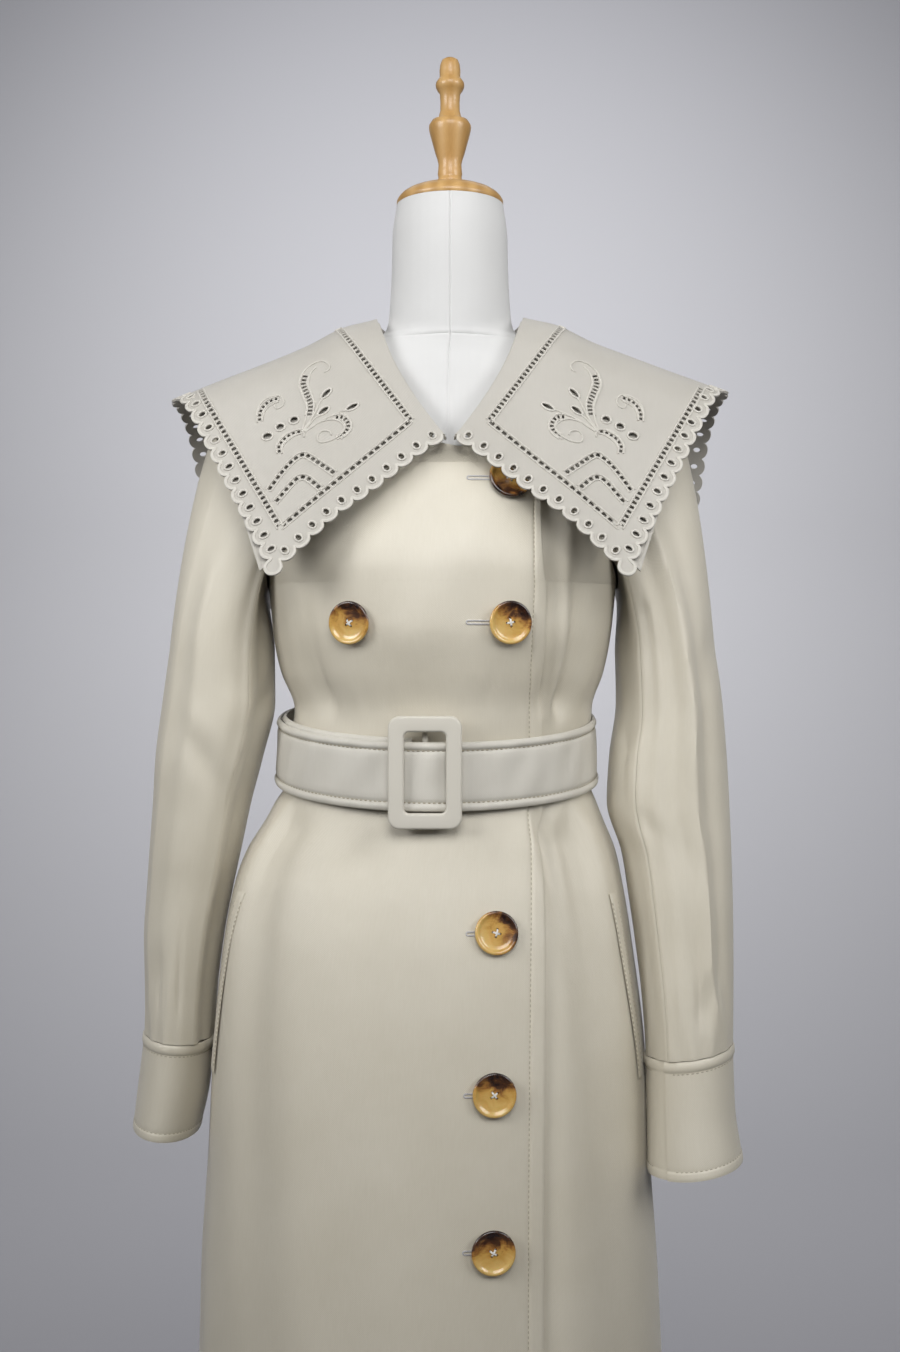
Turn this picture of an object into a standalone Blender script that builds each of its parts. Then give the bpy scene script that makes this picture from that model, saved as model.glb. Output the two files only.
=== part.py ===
"""Belted trench coat with a cutwork collar, standing on a limbless dress form.

Metres, +Z up. The origin is the centre of the stand's underside, on the floor. The coat faces -Y,
and +X is the viewer's right, which is the wearer's left. Angles round the body start at +X and run
anticlockwise seen from above, so 180 is the wearer's right side and 270 is the front.
"""
from collections import namedtuple
from math import acos, asin, cos, degrees, exp, pi, radians, sin, sqrt

import bmesh
import bpy
from mathutils import Vector
from mathutils.bvhtree import BVHTree
from mathutils.geometry import delaunay_2d_cdt

CLOTH = 0.0015            # wall of the coat's cloth
SEAM = 0.0003             # clearance between two sewn pieces
LAP_CLEARANCE = 0.0024    # clearance between the two fronts where they overlap
LEFT, RIGHT = 1, -1       # the wearer's left is at +X
STEP = 1e-4               # step for surface derivatives

# ---------------------------------------------------------------- body tables
BodyRow = namedtuple("BodyRow", "z half_width front back centre_x square")

COAT_ROWS = [
    BodyRow(0.280, 0.1990, 0.1600, 0.1620, -0.0145, 2.20),
    BodyRow(0.420, 0.1935, 0.1510, 0.1540, -0.0146, 2.20),
    BodyRow(0.547, 0.1886, 0.1430, 0.1460, -0.0148, 2.20),
    BodyRow(0.630, 0.1860, 0.1380, 0.1420, -0.0156, 2.20),
    BodyRow(0.711, 0.1810, 0.1330, 0.1380, -0.0160, 2.20),
    BodyRow(0.797, 0.1767, 0.1270, 0.1340, -0.0168, 2.20),
    BodyRow(0.888, 0.1660, 0.1170, 0.1260, -0.0182, 2.20),
    BodyRow(0.929, 0.1587, 0.1090, 0.1190, -0.0176, 2.20),
    BodyRow(0.957, 0.1510, 0.1020, 0.1120, -0.0156, 2.15),
    BodyRow(0.985, 0.1370, 0.0965, 0.1030, -0.0125, 2.10),
    BodyRow(0.998, 0.1310, 0.0940, 0.0990, -0.0115, 2.10),
    BodyRow(1.015, 0.1230, 0.0925, 0.0945, -0.0094, 2.10),
    BodyRow(1.043, 0.1225, 0.0915, 0.0920, -0.0090, 2.10),
    BodyRow(1.073, 0.1214, 0.0935, 0.0918, -0.0055, 2.10),
    BodyRow(1.103, 0.1310, 0.1005, 0.0950, -0.0062, 2.15),
    BodyRow(1.140, 0.1385, 0.1080, 0.0980, -0.0060, 2.20),
    BodyRow(1.180, 0.1430, 0.1090, 0.0980, -0.0060, 2.20),
    BodyRow(1.230, 0.1480, 0.0990, 0.0915, -0.0040, 2.10),
    BodyRow(1.280, 0.1560, 0.0830, 0.0800, -0.0020, 1.90),
    BodyRow(1.320, 0.1640, 0.0660, 0.0690, -0.0010, 1.75),
    BodyRow(1.344, 0.1600, 0.0590, 0.0600, -0.0010, 1.65),
    BodyRow(1.352, 0.1410, 0.0565, 0.0575, -0.0010, 1.62),
    BodyRow(1.360, 0.1215, 0.0545, 0.0550, -0.0010, 1.60),
    BodyRow(1.372, 0.0925, 0.0525, 0.0520, 0.0000, 1.62),
    BodyRow(1.379, 0.0745, 0.0515, 0.0500, 0.0000, 1.75),
]

FORM_ROWS = [
    BodyRow(0.800, 0.1300, 0.0900, 0.1000, -0.0150, 2.20),
    BodyRow(0.812, 0.1420, 0.0980, 0.1090, -0.0155, 2.20),
    BodyRow(0.870, 0.1480, 0.1010, 0.1120, -0.0165, 2.20),
    BodyRow(0.930, 0.1380, 0.0940, 0.1020, -0.0155, 2.20),
    BodyRow(0.985, 0.1180, 0.0850, 0.0890, -0.0115, 2.10),
    BodyRow(1.043, 0.1120, 0.0800, 0.0820, -0.0085, 2.10),
    BodyRow(1.080, 0.1130, 0.0850, 0.0840, -0.0060, 2.10),
    BodyRow(1.120, 0.1240, 0.0950, 0.0900, -0.0060, 2.15),
    BodyRow(1.160, 0.1320, 0.1000, 0.0920, -0.0060, 2.20),
    BodyRow(1.200, 0.1360, 0.0960, 0.0880, -0.0050, 2.15),
    BodyRow(1.240, 0.1410, 0.0860, 0.0830, -0.0035, 2.05),
    BodyRow(1.280, 0.1480, 0.0730, 0.0740, -0.0020, 1.90),
    BodyRow(1.315, 0.1550, 0.0610, 0.0640, -0.0010, 1.80),
    BodyRow(1.3410, 0.1575, 0.0550, 0.0560, -0.0010, 1.66),
    BodyRow(1.3490, 0.1400, 0.0530, 0.0540, -0.0010, 1.62),
    BodyRow(1.3570, 0.1180, 0.0500, 0.0510, -0.0010, 1.60),
    BodyRow(1.3690, 0.0830, 0.0475, 0.0485, 0.0000, 1.62),
    BodyRow(1.3800, 0.0535, 0.0465, 0.0460, 0.0000, 1.85),
    BodyRow(1.3920, 0.0500, 0.0465, 0.0455, 0.0000, 2.00),
    BodyRow(1.4330, 0.0476, 0.0470, 0.0460, 0.0000, 2.00),
    BodyRow(1.4600, 0.0470, 0.0465, 0.0470, 0.0000, 2.00),
    BodyRow(1.4850, 0.0436, 0.0436, 0.0436, 0.0000, 2.00),
]

# Soft folds of the coat: they are deepest at start_z and fade out at end_z.
Fold = namedtuple("Fold", "start_angle end_angle start_z end_z depth spread")
FOLD_RISE = 0.030                 # a fold reaches its depth this far from its start

FOLDS = [
    Fold(314, 318, 0.997, 0.600, -0.0080, 7.0),
    Fold(329, 331, 1.005, 0.520, 0.0060, 8.0),
    Fold(298, 301, 0.997, 0.700, 0.0030, 7.0),
    Fold(320, 313, 1.060, 1.215, -0.0050, 6.0),
    Fold(331, 326, 1.062, 1.180, 0.0030, 6.0),
    Fold(218, 224, 1.005, 0.520, -0.0055, 7.0),
    Fold(205, 208, 1.008, 0.600, 0.0040, 7.0),
    Fold(251, 249, 0.985, 0.900, -0.0030, 6.0),
    Fold(222, 216, 1.062, 1.190, -0.0040, 5.5),
    Fold(236, 238, 1.060, 1.150, 0.0015, 7.0),
    Fold(50, 46, 1.022, 0.480, -0.0070, 8.0),
    Fold(72, 70, 1.026, 0.600, 0.0050, 8.0),
    Fold(96, 94, 1.028, 0.430, -0.0060, 8.0),
    Fold(120, 124, 1.026, 0.620, 0.0050, 8.0),
    Fold(143, 147, 1.022, 0.500, -0.0070, 8.0),
    Fold(55, 48, 1.084, 1.210, -0.0040, 7.0),
    Fold(92, 90, 1.088, 1.170, -0.0035, 8.0),
    Fold(128, 134, 1.084, 1.220, -0.0040, 7.0),
]

LAP_CORNER_Z = 1.264              # the lap's edge ends here, and its top edge runs to the neck
LAP_TOP_LEVELS = (1.268, 1.272, 1.276)
UNDERLAP_TOP_Z = 1.285            # above this the under front rises to the coat's own surface
UNDERARM_Z = 1.172
SHOULDER_TIP_Z = 1.344
ARMHOLE_LEVELS = (-1.0, -0.90, -0.62, -0.25, 0.07, 0.25, 0.62, 0.90, 1.0)
ARMHOLE_ANGLE = radians(35.0)     # how far the armhole reaches to the front and back
UNDER_SLEEVE_LEVEL = -0.62        # level of the armhole where the sleeve's two seams start

# The inner edges of the fronts: x of the edge at each height.
EdgeRow = namedtuple("EdgeRow", "z x")

LAP_EDGE = [
    EdgeRow(0.280, 0.0690),
    EdgeRow(1.080, 0.0720),
    EdgeRow(1.225, 0.0770),
    EdgeRow(1.264, 0.0780),
    EdgeRow(1.2795, -0.0110),
    EdgeRow(1.379, -0.0665),
]
UNDERLAP_EDGE = [
    EdgeRow(0.280, -0.0600),
    EdgeRow(1.225, -0.0560),
    EdgeRow(1.264, -0.0520),
    EdgeRow(1.2795, 0.0160),
    EdgeRow(1.379, 0.0665),
]

# ---------------------------------------------------------------- sleeve tables
# outer and inner are distances from the middle of the coat.
SleeveRow = namedtuple("SleeveRow", "z outer inner centre_y half_depth")

SLEEVE_ROWS = {
    RIGHT: [
        SleeveRow(0.8080, 0.2502, 0.1950, 0.0100, 0.0555),
        SleeveRow(0.8340, 0.2502, 0.1934, 0.0100, 0.0560),
        SleeveRow(0.8880, 0.2509, 0.1866, 0.0080, 0.0555),
        SleeveRow(0.9290, 0.2481, 0.1785, 0.0060, 0.0550),
        SleeveRow(0.9570, 0.2460, 0.1722, 0.0040, 0.0555),
        SleeveRow(0.9980, 0.2427, 0.1632, 0.0020, 0.0560),
        SleeveRow(1.0350, 0.2403, 0.1533, 0.0000, 0.0570),
        SleeveRow(1.0800, 0.2345, 0.1435, 0.0000, 0.0580),
        SleeveRow(1.1200, 0.2288, 0.1440, 0.0000, 0.0590),
    ],
    LEFT: [
        SleeveRow(0.8080, 0.2231, 0.1552, -0.0440, 0.0475),
        SleeveRow(0.8340, 0.2243, 0.1540, -0.0400, 0.0480),
        SleeveRow(0.8880, 0.2262, 0.1485, -0.0300, 0.0480),
        SleeveRow(0.9240, 0.2268, 0.1438, -0.0240, 0.0490),
        SleeveRow(0.9570, 0.2268, 0.1390, -0.0180, 0.0500),
        SleeveRow(0.9980, 0.2262, 0.1275, -0.0120, 0.0520),
        SleeveRow(1.0350, 0.2248, 0.1300, -0.0070, 0.0550),
        SleeveRow(1.0800, 0.2218, 0.1361, -0.0020, 0.0580),
        SleeveRow(1.1200, 0.2165, 0.1355, 0.0000, 0.0590),
    ],
}
SLEEVE_JOIN_Z = 1.120             # above this the sleeve bends in to the armhole
SLEEVE_CAP_SPAN = 0.2             # the sleeve's parameter from the join to the armhole
SLEEVE_CAP = (0.30, 0.56, 0.80, 1.0)
SLEEVE_CENTRE_X = 0.2             # a place inside the sleeve that its gathers point away from

# Soft creases down each sleeve; angles as round the body.
SLEEVE_FOLDS = {
    RIGHT: [
        Fold(292, 300, 1.100, 0.830, 0.0022, 13.0),
        Fold(232, 238, 1.150, 0.900, -0.0035, 12.0),
        Fold(100, 110, 1.120, 0.860, -0.0030, 14.0),
    ],
    LEFT: [
        Fold(283, 288, 1.150, 0.830, 0.0040, 14.0),
        Fold(262, 262, 1.150, 0.880, -0.0030, 11.0),
        Fold(306, 304, 1.120, 0.860, -0.0035, 12.0),
        Fold(80, 70, 1.120, 0.860, -0.0030, 14.0),
    ],
}

CuffRow = namedtuple("CuffRow", "level outer inner centre_y half_depth")

CUFF_ROWS = {
    RIGHT: [
        CuffRow(0.0, 0.2605, 0.2075, 0.0140, 0.0540),
        CuffRow(0.45, 0.2560, 0.1995, 0.0120, 0.0545),
        CuffRow(1.0, 0.2502, 0.1950, 0.0100, 0.0545),
    ],
    LEFT: [
        CuffRow(0.0, 0.2284, 0.1548, -0.0600, 0.0450),
        CuffRow(0.45, 0.2236, 0.1552, -0.0520, 0.0455),
        CuffRow(1.0, 0.2231, 0.1552, -0.0440, 0.0465),
    ],
}
CuffEnd = namedtuple("CuffEnd", "bottom_z top_z tilt slit_angle")

CUFF_ENDS = {
    RIGHT: CuffEnd(0.7290, 0.8075, 0.0035, 52.0),
    LEFT: CuffEnd(0.7190, 0.8065, 0.0060, 128.0),
}
CUFF_BAND_LEVEL = 0.90            # the raised band fills the cuff above this level
CUFF_BAND_RAISE = 0.0012
CUFF_OVERLAP = radians(16.0)
CUFF_CLEARANCE = 0.0012           # clearance between the two layers at the slit
GATHERS = 14                      # soft gathers where the sleeve meets the cuff
GATHER_DEPTH = 0.0007

# ---------------------------------------------------------------- collar sizes
RIDGE_TOP = 1.4072                # height of the collar's ridge at the centre, if it had no neck hole
RIDGE_SLOPE = {RIGHT: 0.4127, LEFT: 0.3807}
RIDGE_SMOOTHING = 0.025
ROLL_RISE, ROLL_RISE_X, ROLL_RISE_SPREAD = 0.0040, 0.088, 0.020
CollarSide = namedtuple("CollarSide", "radius lean")

COLLAR_SIDES = {
    "front": CollarSide(0.058, radians(25.0)),
    "back": CollarSide(0.070, radians(14.0)),
}
CUTWORK_WALL = 0.0015
UNDER_COLLAR_WALL = 0.0012
COLLAR_AIR = 0.0022               # air between the two collars, away from the roll line

# Corners of the collar's edge on the wearer's right, in the view along the body: x and height.
CollarCorner = namedtuple("CollarCorner", "name face x z")

COLLAR_FRONT_EDGE = CollarCorner("front_edge", "front", 0.0058, 1.2838)
COLLAR_POINT = CollarCorner("point", "front", 0.1310, 1.1823)
COLLAR_SHOULDER_X = 0.2240
COLLAR_BACK_CORNER = CollarCorner("back_corner", "back", 0.2035, 1.1850)
NECK_SIDE_X = 0.0600              # half the neck opening at the shoulder ridge
NECK_BACK_REACH = 0.0624          # how far behind the ridge the neck opening goes
NECK_FRONT_X = 0.0040             # half the gap between the collar's fronts

SCALLOP_PITCH = 0.0141
SCALLOP_DEPTH = 0.0055
CORNER_LOBE_RADIUS = 0.0072
CORNER_TRIM = 0.0065              # the scallops start this far from a corner's lobe
EYELET_INSET = 0.0036             # from the scallops' valleys to the middle of an eyelet
EYELET_LENGTH, EYELET_WIDTH = 0.0060, 0.0048
EYELET_SIDES = 6

# Eyelets of the scroll work on one side of the collar, in the same view; lean is in degrees.
MotifEyelet = namedtuple("MotifEyelet", "x z length width lean")

MOTIF_EYELETS = [
    MotifEyelet(0.1190, 1.2990, 0.0064, 0.0060, 0.0),
    MotifEyelet(0.1300, 1.2930, 0.0060, 0.0056, 0.0),
    MotifEyelet(0.1385, 1.2850, 0.0064, 0.0060, 0.0),
    MotifEyelet(0.0955, 1.3200, 0.0088, 0.0046, 62.0),
    MotifEyelet(0.0940, 1.3060, 0.0088, 0.0046, 40.0),
    MotifEyelet(0.0740, 1.3090, 0.0088, 0.0046, 12.0),
]

# Plain corners of the under collar on the wearer's right, in the same view.
UNDER_FRONT_EDGE = CollarCorner("front_edge", "front", 0.0085, 1.2880)
UNDER_NOTCH = CollarCorner("notch", "front", 0.1345, 1.1865)
UNDER_POINT = CollarCorner("point", "front", 0.1425, 1.1795)
UNDER_SHOULDER_X = 0.2100
UNDER_BACK_CORNER = CollarCorner("back_corner", "back", 0.1890, 1.1990)

STAND_DROP = 0.0045               # height of the band inside the roll line
STAND_WALL = 0.0012
NECK_DIP = 0.0075                 # the back's neckline is this much lower at its middle

# ---------------------------------------------------------------- belt and buckle
BELT_RING_Z = 1.043               # the belt follows the waist at this height
BELT_WALL = 0.0022
BELT_HALF_HEIGHT = 0.0262
BELT_Z = 1.0410
BELT_DIP = 0.0175                 # the front hangs this much below the sides
BELT_FLARE = 0.0022               # the lower edge stands out more than the upper one
BELT_START_ANGLE = 261.5
BELT_TRAVEL = 482.0
BELT_STATIONS = 58
INNER_END_RISE = 0.0030           # the first turn peeks out above the second

# travel is the angle along the belt from its fixed end; air is between the coat and the belt.
BeltRow = namedtuple("BeltRow", "travel air")

BELT_ROWS = [
    BeltRow(0, 0.0020),
    BeltRow(90, 0.0022),
    BeltRow(180, 0.0038),
    BeltRow(270, 0.0028),
    BeltRow(325, 0.0038),
    BeltRow(345, 0.0068),
    BeltRow(356, 0.0084),
    BeltRow(368, 0.0084),
    BeltRow(384, 0.0070),
    BeltRow(400, 0.0064),
    BeltRow(440, 0.0066),
    BeltRow(482, 0.0078),
]

BUCKLE_X, BUCKLE_Z = -0.0189, 1.0271
BUCKLE_BACK_Y, BUCKLE_THICKNESS = -0.1041, 0.0052
BUCKLE_WIDTH, BUCKLE_HEIGHT, BUCKLE_RADIUS = 0.0559, 0.0854, 0.0090
WINDOW_WIDTH, WINDOW_HEIGHT, WINDOW_RADIUS = 0.0317, 0.0612, 0.0040
BUCKLE_EDGE = 0.0014
BAR_WIDTH, BAR_BACK_Y, BAR_FRONT_Y = 0.0050, -0.0964, -0.0984

# ---------------------------------------------------------------- pockets and buttons
PocketLine = namedtuple("PocketLine", "top_angle top_z bottom_angle bottom_z")

POCKET_LINES = {
    RIGHT: PocketLine(206.0, 0.930, 195.0, 0.785),
    LEFT: PocketLine(331.0, 0.930, 337.0, 0.785),
}
POCKET_WIDTH = 0.0150
POCKET_WALL = 0.0013
POCKET_STEPS = 9
START_AIR = 0.0050                # a seated piece starts this far off the coat

ButtonPlace = namedtuple("ButtonPlace", "name x z")

BUTTONS = [
    ButtonPlace("button_1", 0.0456, 1.2511),
    ButtonPlace("button_2", 0.0450, 1.1405),
    ButtonPlace("button_3", -0.0755, 1.1405),
    ButtonPlace("button_4", 0.0344, 0.9066),
    ButtonPlace("button_5", 0.0325, 0.7890),
    ButtonPlace("button_6", 0.0316, 0.6751),
]
BUTTON_AIR = 0.0005               # thread shank between the button and the cloth
BUTTON_SIDES = 16
ProfileRow = namedtuple("ProfileRow", "radius height")

BUTTON_PROFILE = [
    ProfileRow(0.0120, 0.0000),
    ProfileRow(0.0158, 0.0010),
    ProfileRow(0.0166, 0.0026),
    ProfileRow(0.0150, 0.0040),
    ProfileRow(0.0122, 0.0030),
]
BUTTON_CENTRE_HEIGHT = 0.0026

# ---------------------------------------------------------------- stand
BASE_PROFILE = [
    ProfileRow(0.1660, 0.0000),
    ProfileRow(0.1700, 0.0040),
    ProfileRow(0.1700, 0.0150),
    ProfileRow(0.1640, 0.0205),
    ProfileRow(0.0300, 0.0240),
]
POLE_PROFILE = [
    ProfileRow(0.0260, 0.0000),
    ProfileRow(0.0260, 0.0060),
    ProfileRow(0.0150, 0.0140),
    ProfileRow(0.0125, 0.0180),
    ProfileRow(0.0125, 0.7300),
    ProfileRow(0.0160, 0.7340),
    ProfileRow(0.0160, 0.7754),
]
CAP_PROFILE = [
    ProfileRow(0.0432, 0.0000),
    ProfileRow(0.0438, 0.0030),
    ProfileRow(0.0400, 0.0080),
    ProfileRow(0.0310, 0.0128),
    ProfileRow(0.0190, 0.0158),
    ProfileRow(0.0110, 0.0165),
]
FINIAL_PROFILE = [
    ProfileRow(0.0100, 0.0000),
    ProfileRow(0.0104, 0.0040),
    ProfileRow(0.0098, 0.0115),
    ProfileRow(0.0094, 0.0170),
    ProfileRow(0.0120, 0.0260),
    ProfileRow(0.0150, 0.0370),
    ProfileRow(0.0171, 0.0450),
    ProfileRow(0.0171, 0.0490),
    ProfileRow(0.0150, 0.0525),
    ProfileRow(0.0100, 0.0545),
    ProfileRow(0.0080, 0.0610),
    ProfileRow(0.0080, 0.0750),
    ProfileRow(0.0108, 0.0785),
    ProfileRow(0.0118, 0.0822),
    ProfileRow(0.0104, 0.0858),
    ProfileRow(0.0082, 0.0885),
    ProfileRow(0.0086, 0.0940),
    ProfileRow(0.0080, 0.1010),
    ProfileRow(0.0050, 0.1042),
]

# ---------------------------------------------------------------- materials
Finish = namedtuple("Finish", "colour roughness metallic")

FINISHES = {
    "coat_cloth": Finish((0.640, 0.585, 0.490), 0.62, 0.0),
    "collar_cloth": Finish((0.700, 0.665, 0.590), 0.70, 0.0),
    "buckle_cloth": Finish((0.690, 0.650, 0.570), 0.60, 0.0),
    "button_horn": Finish((0.560, 0.330, 0.110), 0.18, 0.0),
    "form_cover": Finish((0.790, 0.785, 0.770), 0.75, 0.0),
    "stand_wood": Finish((0.640, 0.400, 0.180), 0.40, 0.0),
    "stand_metal": Finish((0.620, 0.620, 0.610), 0.30, 1.0),
}


# ================================================================ helpers
def clear_scene():
    for item in list(bpy.data.objects):
        bpy.data.objects.remove(item, do_unlink=True)


def finish_material(name):
    material = bpy.data.materials.get(name)
    if material is None:
        look = FINISHES[name]
        material = bpy.data.materials.new(name)
        material.use_nodes = True
        shader = material.node_tree.nodes["Principled BSDF"]
        shader.inputs["Base Color"].default_value = (*look.colour, 1.0)
        shader.inputs["Roughness"].default_value = look.roughness
        shader.inputs["Metallic"].default_value = look.metallic
    return material


def add_object(name, mesh_builder, finish, smooth=True):
    """Turn a bmesh into a named object with its faces pointing out."""
    bmesh.ops.triangulate(mesh_builder, faces=mesh_builder.faces, quad_method="SHORT_EDGE")
    bmesh.ops.recalc_face_normals(mesh_builder, faces=mesh_builder.faces)
    if mesh_builder.calc_volume(signed=True) < 0.0:
        bmesh.ops.reverse_faces(mesh_builder, faces=mesh_builder.faces)
    mesh = bpy.data.meshes.new(name)
    mesh_builder.to_mesh(mesh)
    mesh_builder.free()
    mesh.materials.append(finish_material(finish))
    if smooth:
        mesh.shade_smooth()
        mesh.set_sharp_from_angle(angle=radians(40.0))
    item = bpy.data.objects.new(name, mesh)
    bpy.context.scene.collection.objects.link(item)
    return item


def smoothstep(value):
    value = min(max(value, 0.0), 1.0)
    return value * value * (3.0 - 2.0 * value)


def row_slope(rows, index, key, column):
    """Slope of a column at one row, limited so that the curve never overshoots."""
    if index in (0, len(rows) - 1):
        return 0.0 if len(rows) < 2 else edge_slope(rows, index, key, column)
    before = secant(rows, index - 1, key, column)
    after = secant(rows, index, key, column)
    if before * after <= 0.0:
        return 0.0
    return 2.0 * before * after / (before + after)


def secant(rows, index, key, column):
    low, high = rows[index], rows[index + 1]
    return (getattr(high, column) - getattr(low, column)) / (getattr(high, key) - getattr(low, key))


def edge_slope(rows, index, key, column):
    return secant(rows, 0 if index == 0 else len(rows) - 2, key, column)


def lookup(rows, key, value, column):
    """Smooth value of a table's column where its key column has the given value."""
    value = min(max(value, getattr(rows[0], key)), getattr(rows[-1], key))
    index = 0
    while index < len(rows) - 2 and value > getattr(rows[index + 1], key):
        index += 1
    low, high = rows[index], rows[index + 1]
    width = getattr(high, key) - getattr(low, key)
    part = (value - getattr(low, key)) / width
    slope_low = row_slope(rows, index, key, column) * width
    slope_high = row_slope(rows, index + 1, key, column) * width
    square, cube = part * part, part * part * part
    return ((2 * cube - 3 * square + 1) * getattr(low, column)
            + (cube - 2 * square + part) * slope_low
            + (3 * square - 2 * cube) * getattr(high, column)
            + (cube - square) * slope_high)


def linear_lookup(rows, key, value, column):
    value = min(max(value, getattr(rows[0], key)), getattr(rows[-1], key))
    for low, high in zip(rows, rows[1:]):
        if value <= getattr(high, key):
            part = (value - getattr(low, key)) / (getattr(high, key) - getattr(low, key))
            return getattr(low, column) + part * (getattr(high, column) - getattr(low, column))
    return getattr(rows[-1], column)


def signed_power(value, exponent):
    return abs(value) ** exponent * (1.0 if value >= 0.0 else -1.0)


def surface_normal(surface, u, v):
    """Outward direction of a surface whose u runs anticlockwise and whose v runs up."""
    along = surface(u + STEP, v) - surface(u - STEP, v)
    upward = surface(u, v + STEP) - surface(u, v - STEP)
    return along.cross(upward).normalized()


def off_surface(surface, u, v, distance):
    return surface(u, v) + surface_normal(surface, u, v) * distance


def wall_mesh(outer, inner, closed=False):
    """A wall between two grids of points; closed joins the last column to the first."""
    builder = bmesh.new()
    rows, columns = len(outer), len(outer[0])
    out_points = [[builder.verts.new(point) for point in row] for row in outer]
    in_points = [[builder.verts.new(point) for point in row] for row in inner]
    spans = columns if closed else columns - 1
    for row in range(rows - 1):
        for column in range(spans):
            after = (column + 1) % columns
            builder.faces.new((out_points[row][column], out_points[row][after],
                               out_points[row + 1][after], out_points[row + 1][column]))
            builder.faces.new((in_points[row][after], in_points[row][column],
                               in_points[row + 1][column], in_points[row + 1][after]))
    for column in range(spans):
        after = (column + 1) % columns
        builder.faces.new((in_points[0][column], in_points[0][after],
                           out_points[0][after], out_points[0][column]))
        builder.faces.new((out_points[-1][column], out_points[-1][after],
                           in_points[-1][after], in_points[-1][column]))
    if not closed:
        for row in range(rows - 1):
            builder.faces.new((out_points[row][0], out_points[row + 1][0],
                               in_points[row + 1][0], in_points[row][0]))
            builder.faces.new((in_points[row][-1], in_points[row + 1][-1],
                               out_points[row + 1][-1], out_points[row][-1]))
    return builder


def panel_wall(surface, places, outer, thickness, closed=False):
    """A cloth wall over rows of (u, v) places; outer gives the offset of its outer face."""
    outer_grid = [[off_surface(surface, u, v, outer(u, v)) for u, v in row] for row in places]
    inner_grid = [[off_surface(surface, u, v, outer(u, v) - thickness) for u, v in row] for row in places]
    return wall_mesh(outer_grid, inner_grid, closed)


def turned_mesh(profile, sides, top_height=None):
    """A turned solid: rings up the profile, closed with flat or raised centres."""
    builder = bmesh.new()
    rings = []
    for row in profile:
        ring = [builder.verts.new((row.radius * cos(2 * pi * side / sides),
                                   row.radius * sin(2 * pi * side / sides), row.height))
                for side in range(sides)]
        rings.append(ring)
    for low, high in zip(rings, rings[1:]):
        for side in range(sides):
            after = (side + 1) % sides
            builder.faces.new((low[side], low[after], high[after], high[side]))
    builder.faces.new(reversed(rings[0]))
    if top_height is None:
        builder.faces.new(rings[-1])
    else:
        centre = builder.verts.new((0.0, 0.0, top_height))
        for side in range(sides):
            builder.faces.new((rings[-1][side], rings[-1][(side + 1) % sides], centre))
    return builder


# ================================================================ body
def ring_point(rows, angle, z):
    """Point of a body table's outline at an angle and height."""
    half_width = lookup(rows, "z", z, "half_width")
    square = lookup(rows, "z", z, "square")
    depth = lookup(rows, "z", z, "front" if sin(angle) < 0.0 else "back")
    centre_x = lookup(rows, "z", z, "centre_x")
    return Vector((centre_x + half_width * signed_power(cos(angle), 2.0 / square),
                   depth * signed_power(sin(angle), 2.0 / square), z))


def fold_height(folds, angle, z):
    """How far the folds push the cloth out at an angle and height."""
    total = 0.0
    for fold in folds:
        part = (z - fold.start_z) / (fold.end_z - fold.start_z)
        if 0.0 < part < 1.0:
            fade = smoothstep(abs(z - fold.start_z) / FOLD_RISE) * (1.0 - smoothstep(part))
            middle = fold.start_angle + part * (fold.end_angle - fold.start_angle)
            apart = (degrees(angle) - middle + 180.0) % 360.0 - 180.0
            total += fold.depth * fade * exp(-(apart / fold.spread) ** 2)
    return total


def coat_surface(angle, z):
    point = ring_point(COAT_ROWS, angle, z)
    centre = Vector((lookup(COAT_ROWS, "z", z, "centre_x"), 0.0, z))
    return point + (point - centre).normalized() * fold_height(FOLDS, angle, z)


def form_surface(angle, z):
    return ring_point(FORM_ROWS, angle, z)


def armhole_z(level):
    middle = (UNDERARM_Z + SHOULDER_TIP_Z) / 2.0
    return middle + level * (SHOULDER_TIP_Z - UNDERARM_Z) / 2.0


def armhole_reach(z):
    """Angle from the side to the armhole's edge; nothing outside the armhole."""
    middle = (UNDERARM_Z + SHOULDER_TIP_Z) / 2.0
    level = (z - middle) / ((SHOULDER_TIP_Z - UNDERARM_Z) / 2.0)
    return ARMHOLE_ANGLE * sqrt(max(0.0, 1.0 - level * level))


def seam_angle(z, depth_column):
    """Small angle that leaves half a seam's clearance at the side of the body."""
    depth = lookup(COAT_ROWS, "z", z, depth_column)
    square = lookup(COAT_ROWS, "z", z, "square")
    return asin((SEAM / 2.0 / depth) ** (square / 2.0))


def side_limit(z, depth_column):
    """How far a panel's edge stays away from the side line."""
    return max(armhole_reach(z), seam_angle(z, depth_column))


def front_angle(x, z):
    """Angle at the front of the coat where it has a given x."""
    half_width = lookup(COAT_ROWS, "z", z, "half_width")
    square = lookup(COAT_ROWS, "z", z, "square")
    across = (x - lookup(COAT_ROWS, "z", z, "centre_x")) / half_width
    return 2.0 * pi - acos(signed_power(across, square / 2.0))


def body_levels(extra=()):
    skirt = [0.280, 0.430, 0.570, 0.700, 0.815, 0.895, 0.950, 0.992, 1.014, 1.043, 1.073, 1.120]
    armhole = [armhole_z(level) for level in ARMHOLE_LEVELS]
    shoulder = [1.352, 1.360, 1.372, 1.379]
    return sorted(skirt + armhole + shoulder + list(extra))


def spread_places(start, end, z, columns):
    """Evenly spaced places along one level, which dips at the middle of the back near the neck."""
    top_row, below = COAT_ROWS[-1].z, COAT_ROWS[-4].z
    dip = NECK_DIP * max(0.0, z - below) / (top_row - below)
    places = []
    for column in range(columns + 1):
        angle = start + (end - start) * column / columns
        places.append((angle, z - dip * max(0.0, sin(angle)) ** 2))
    return places


def lap_offset(_angle, _z):
    return 0.0


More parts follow.
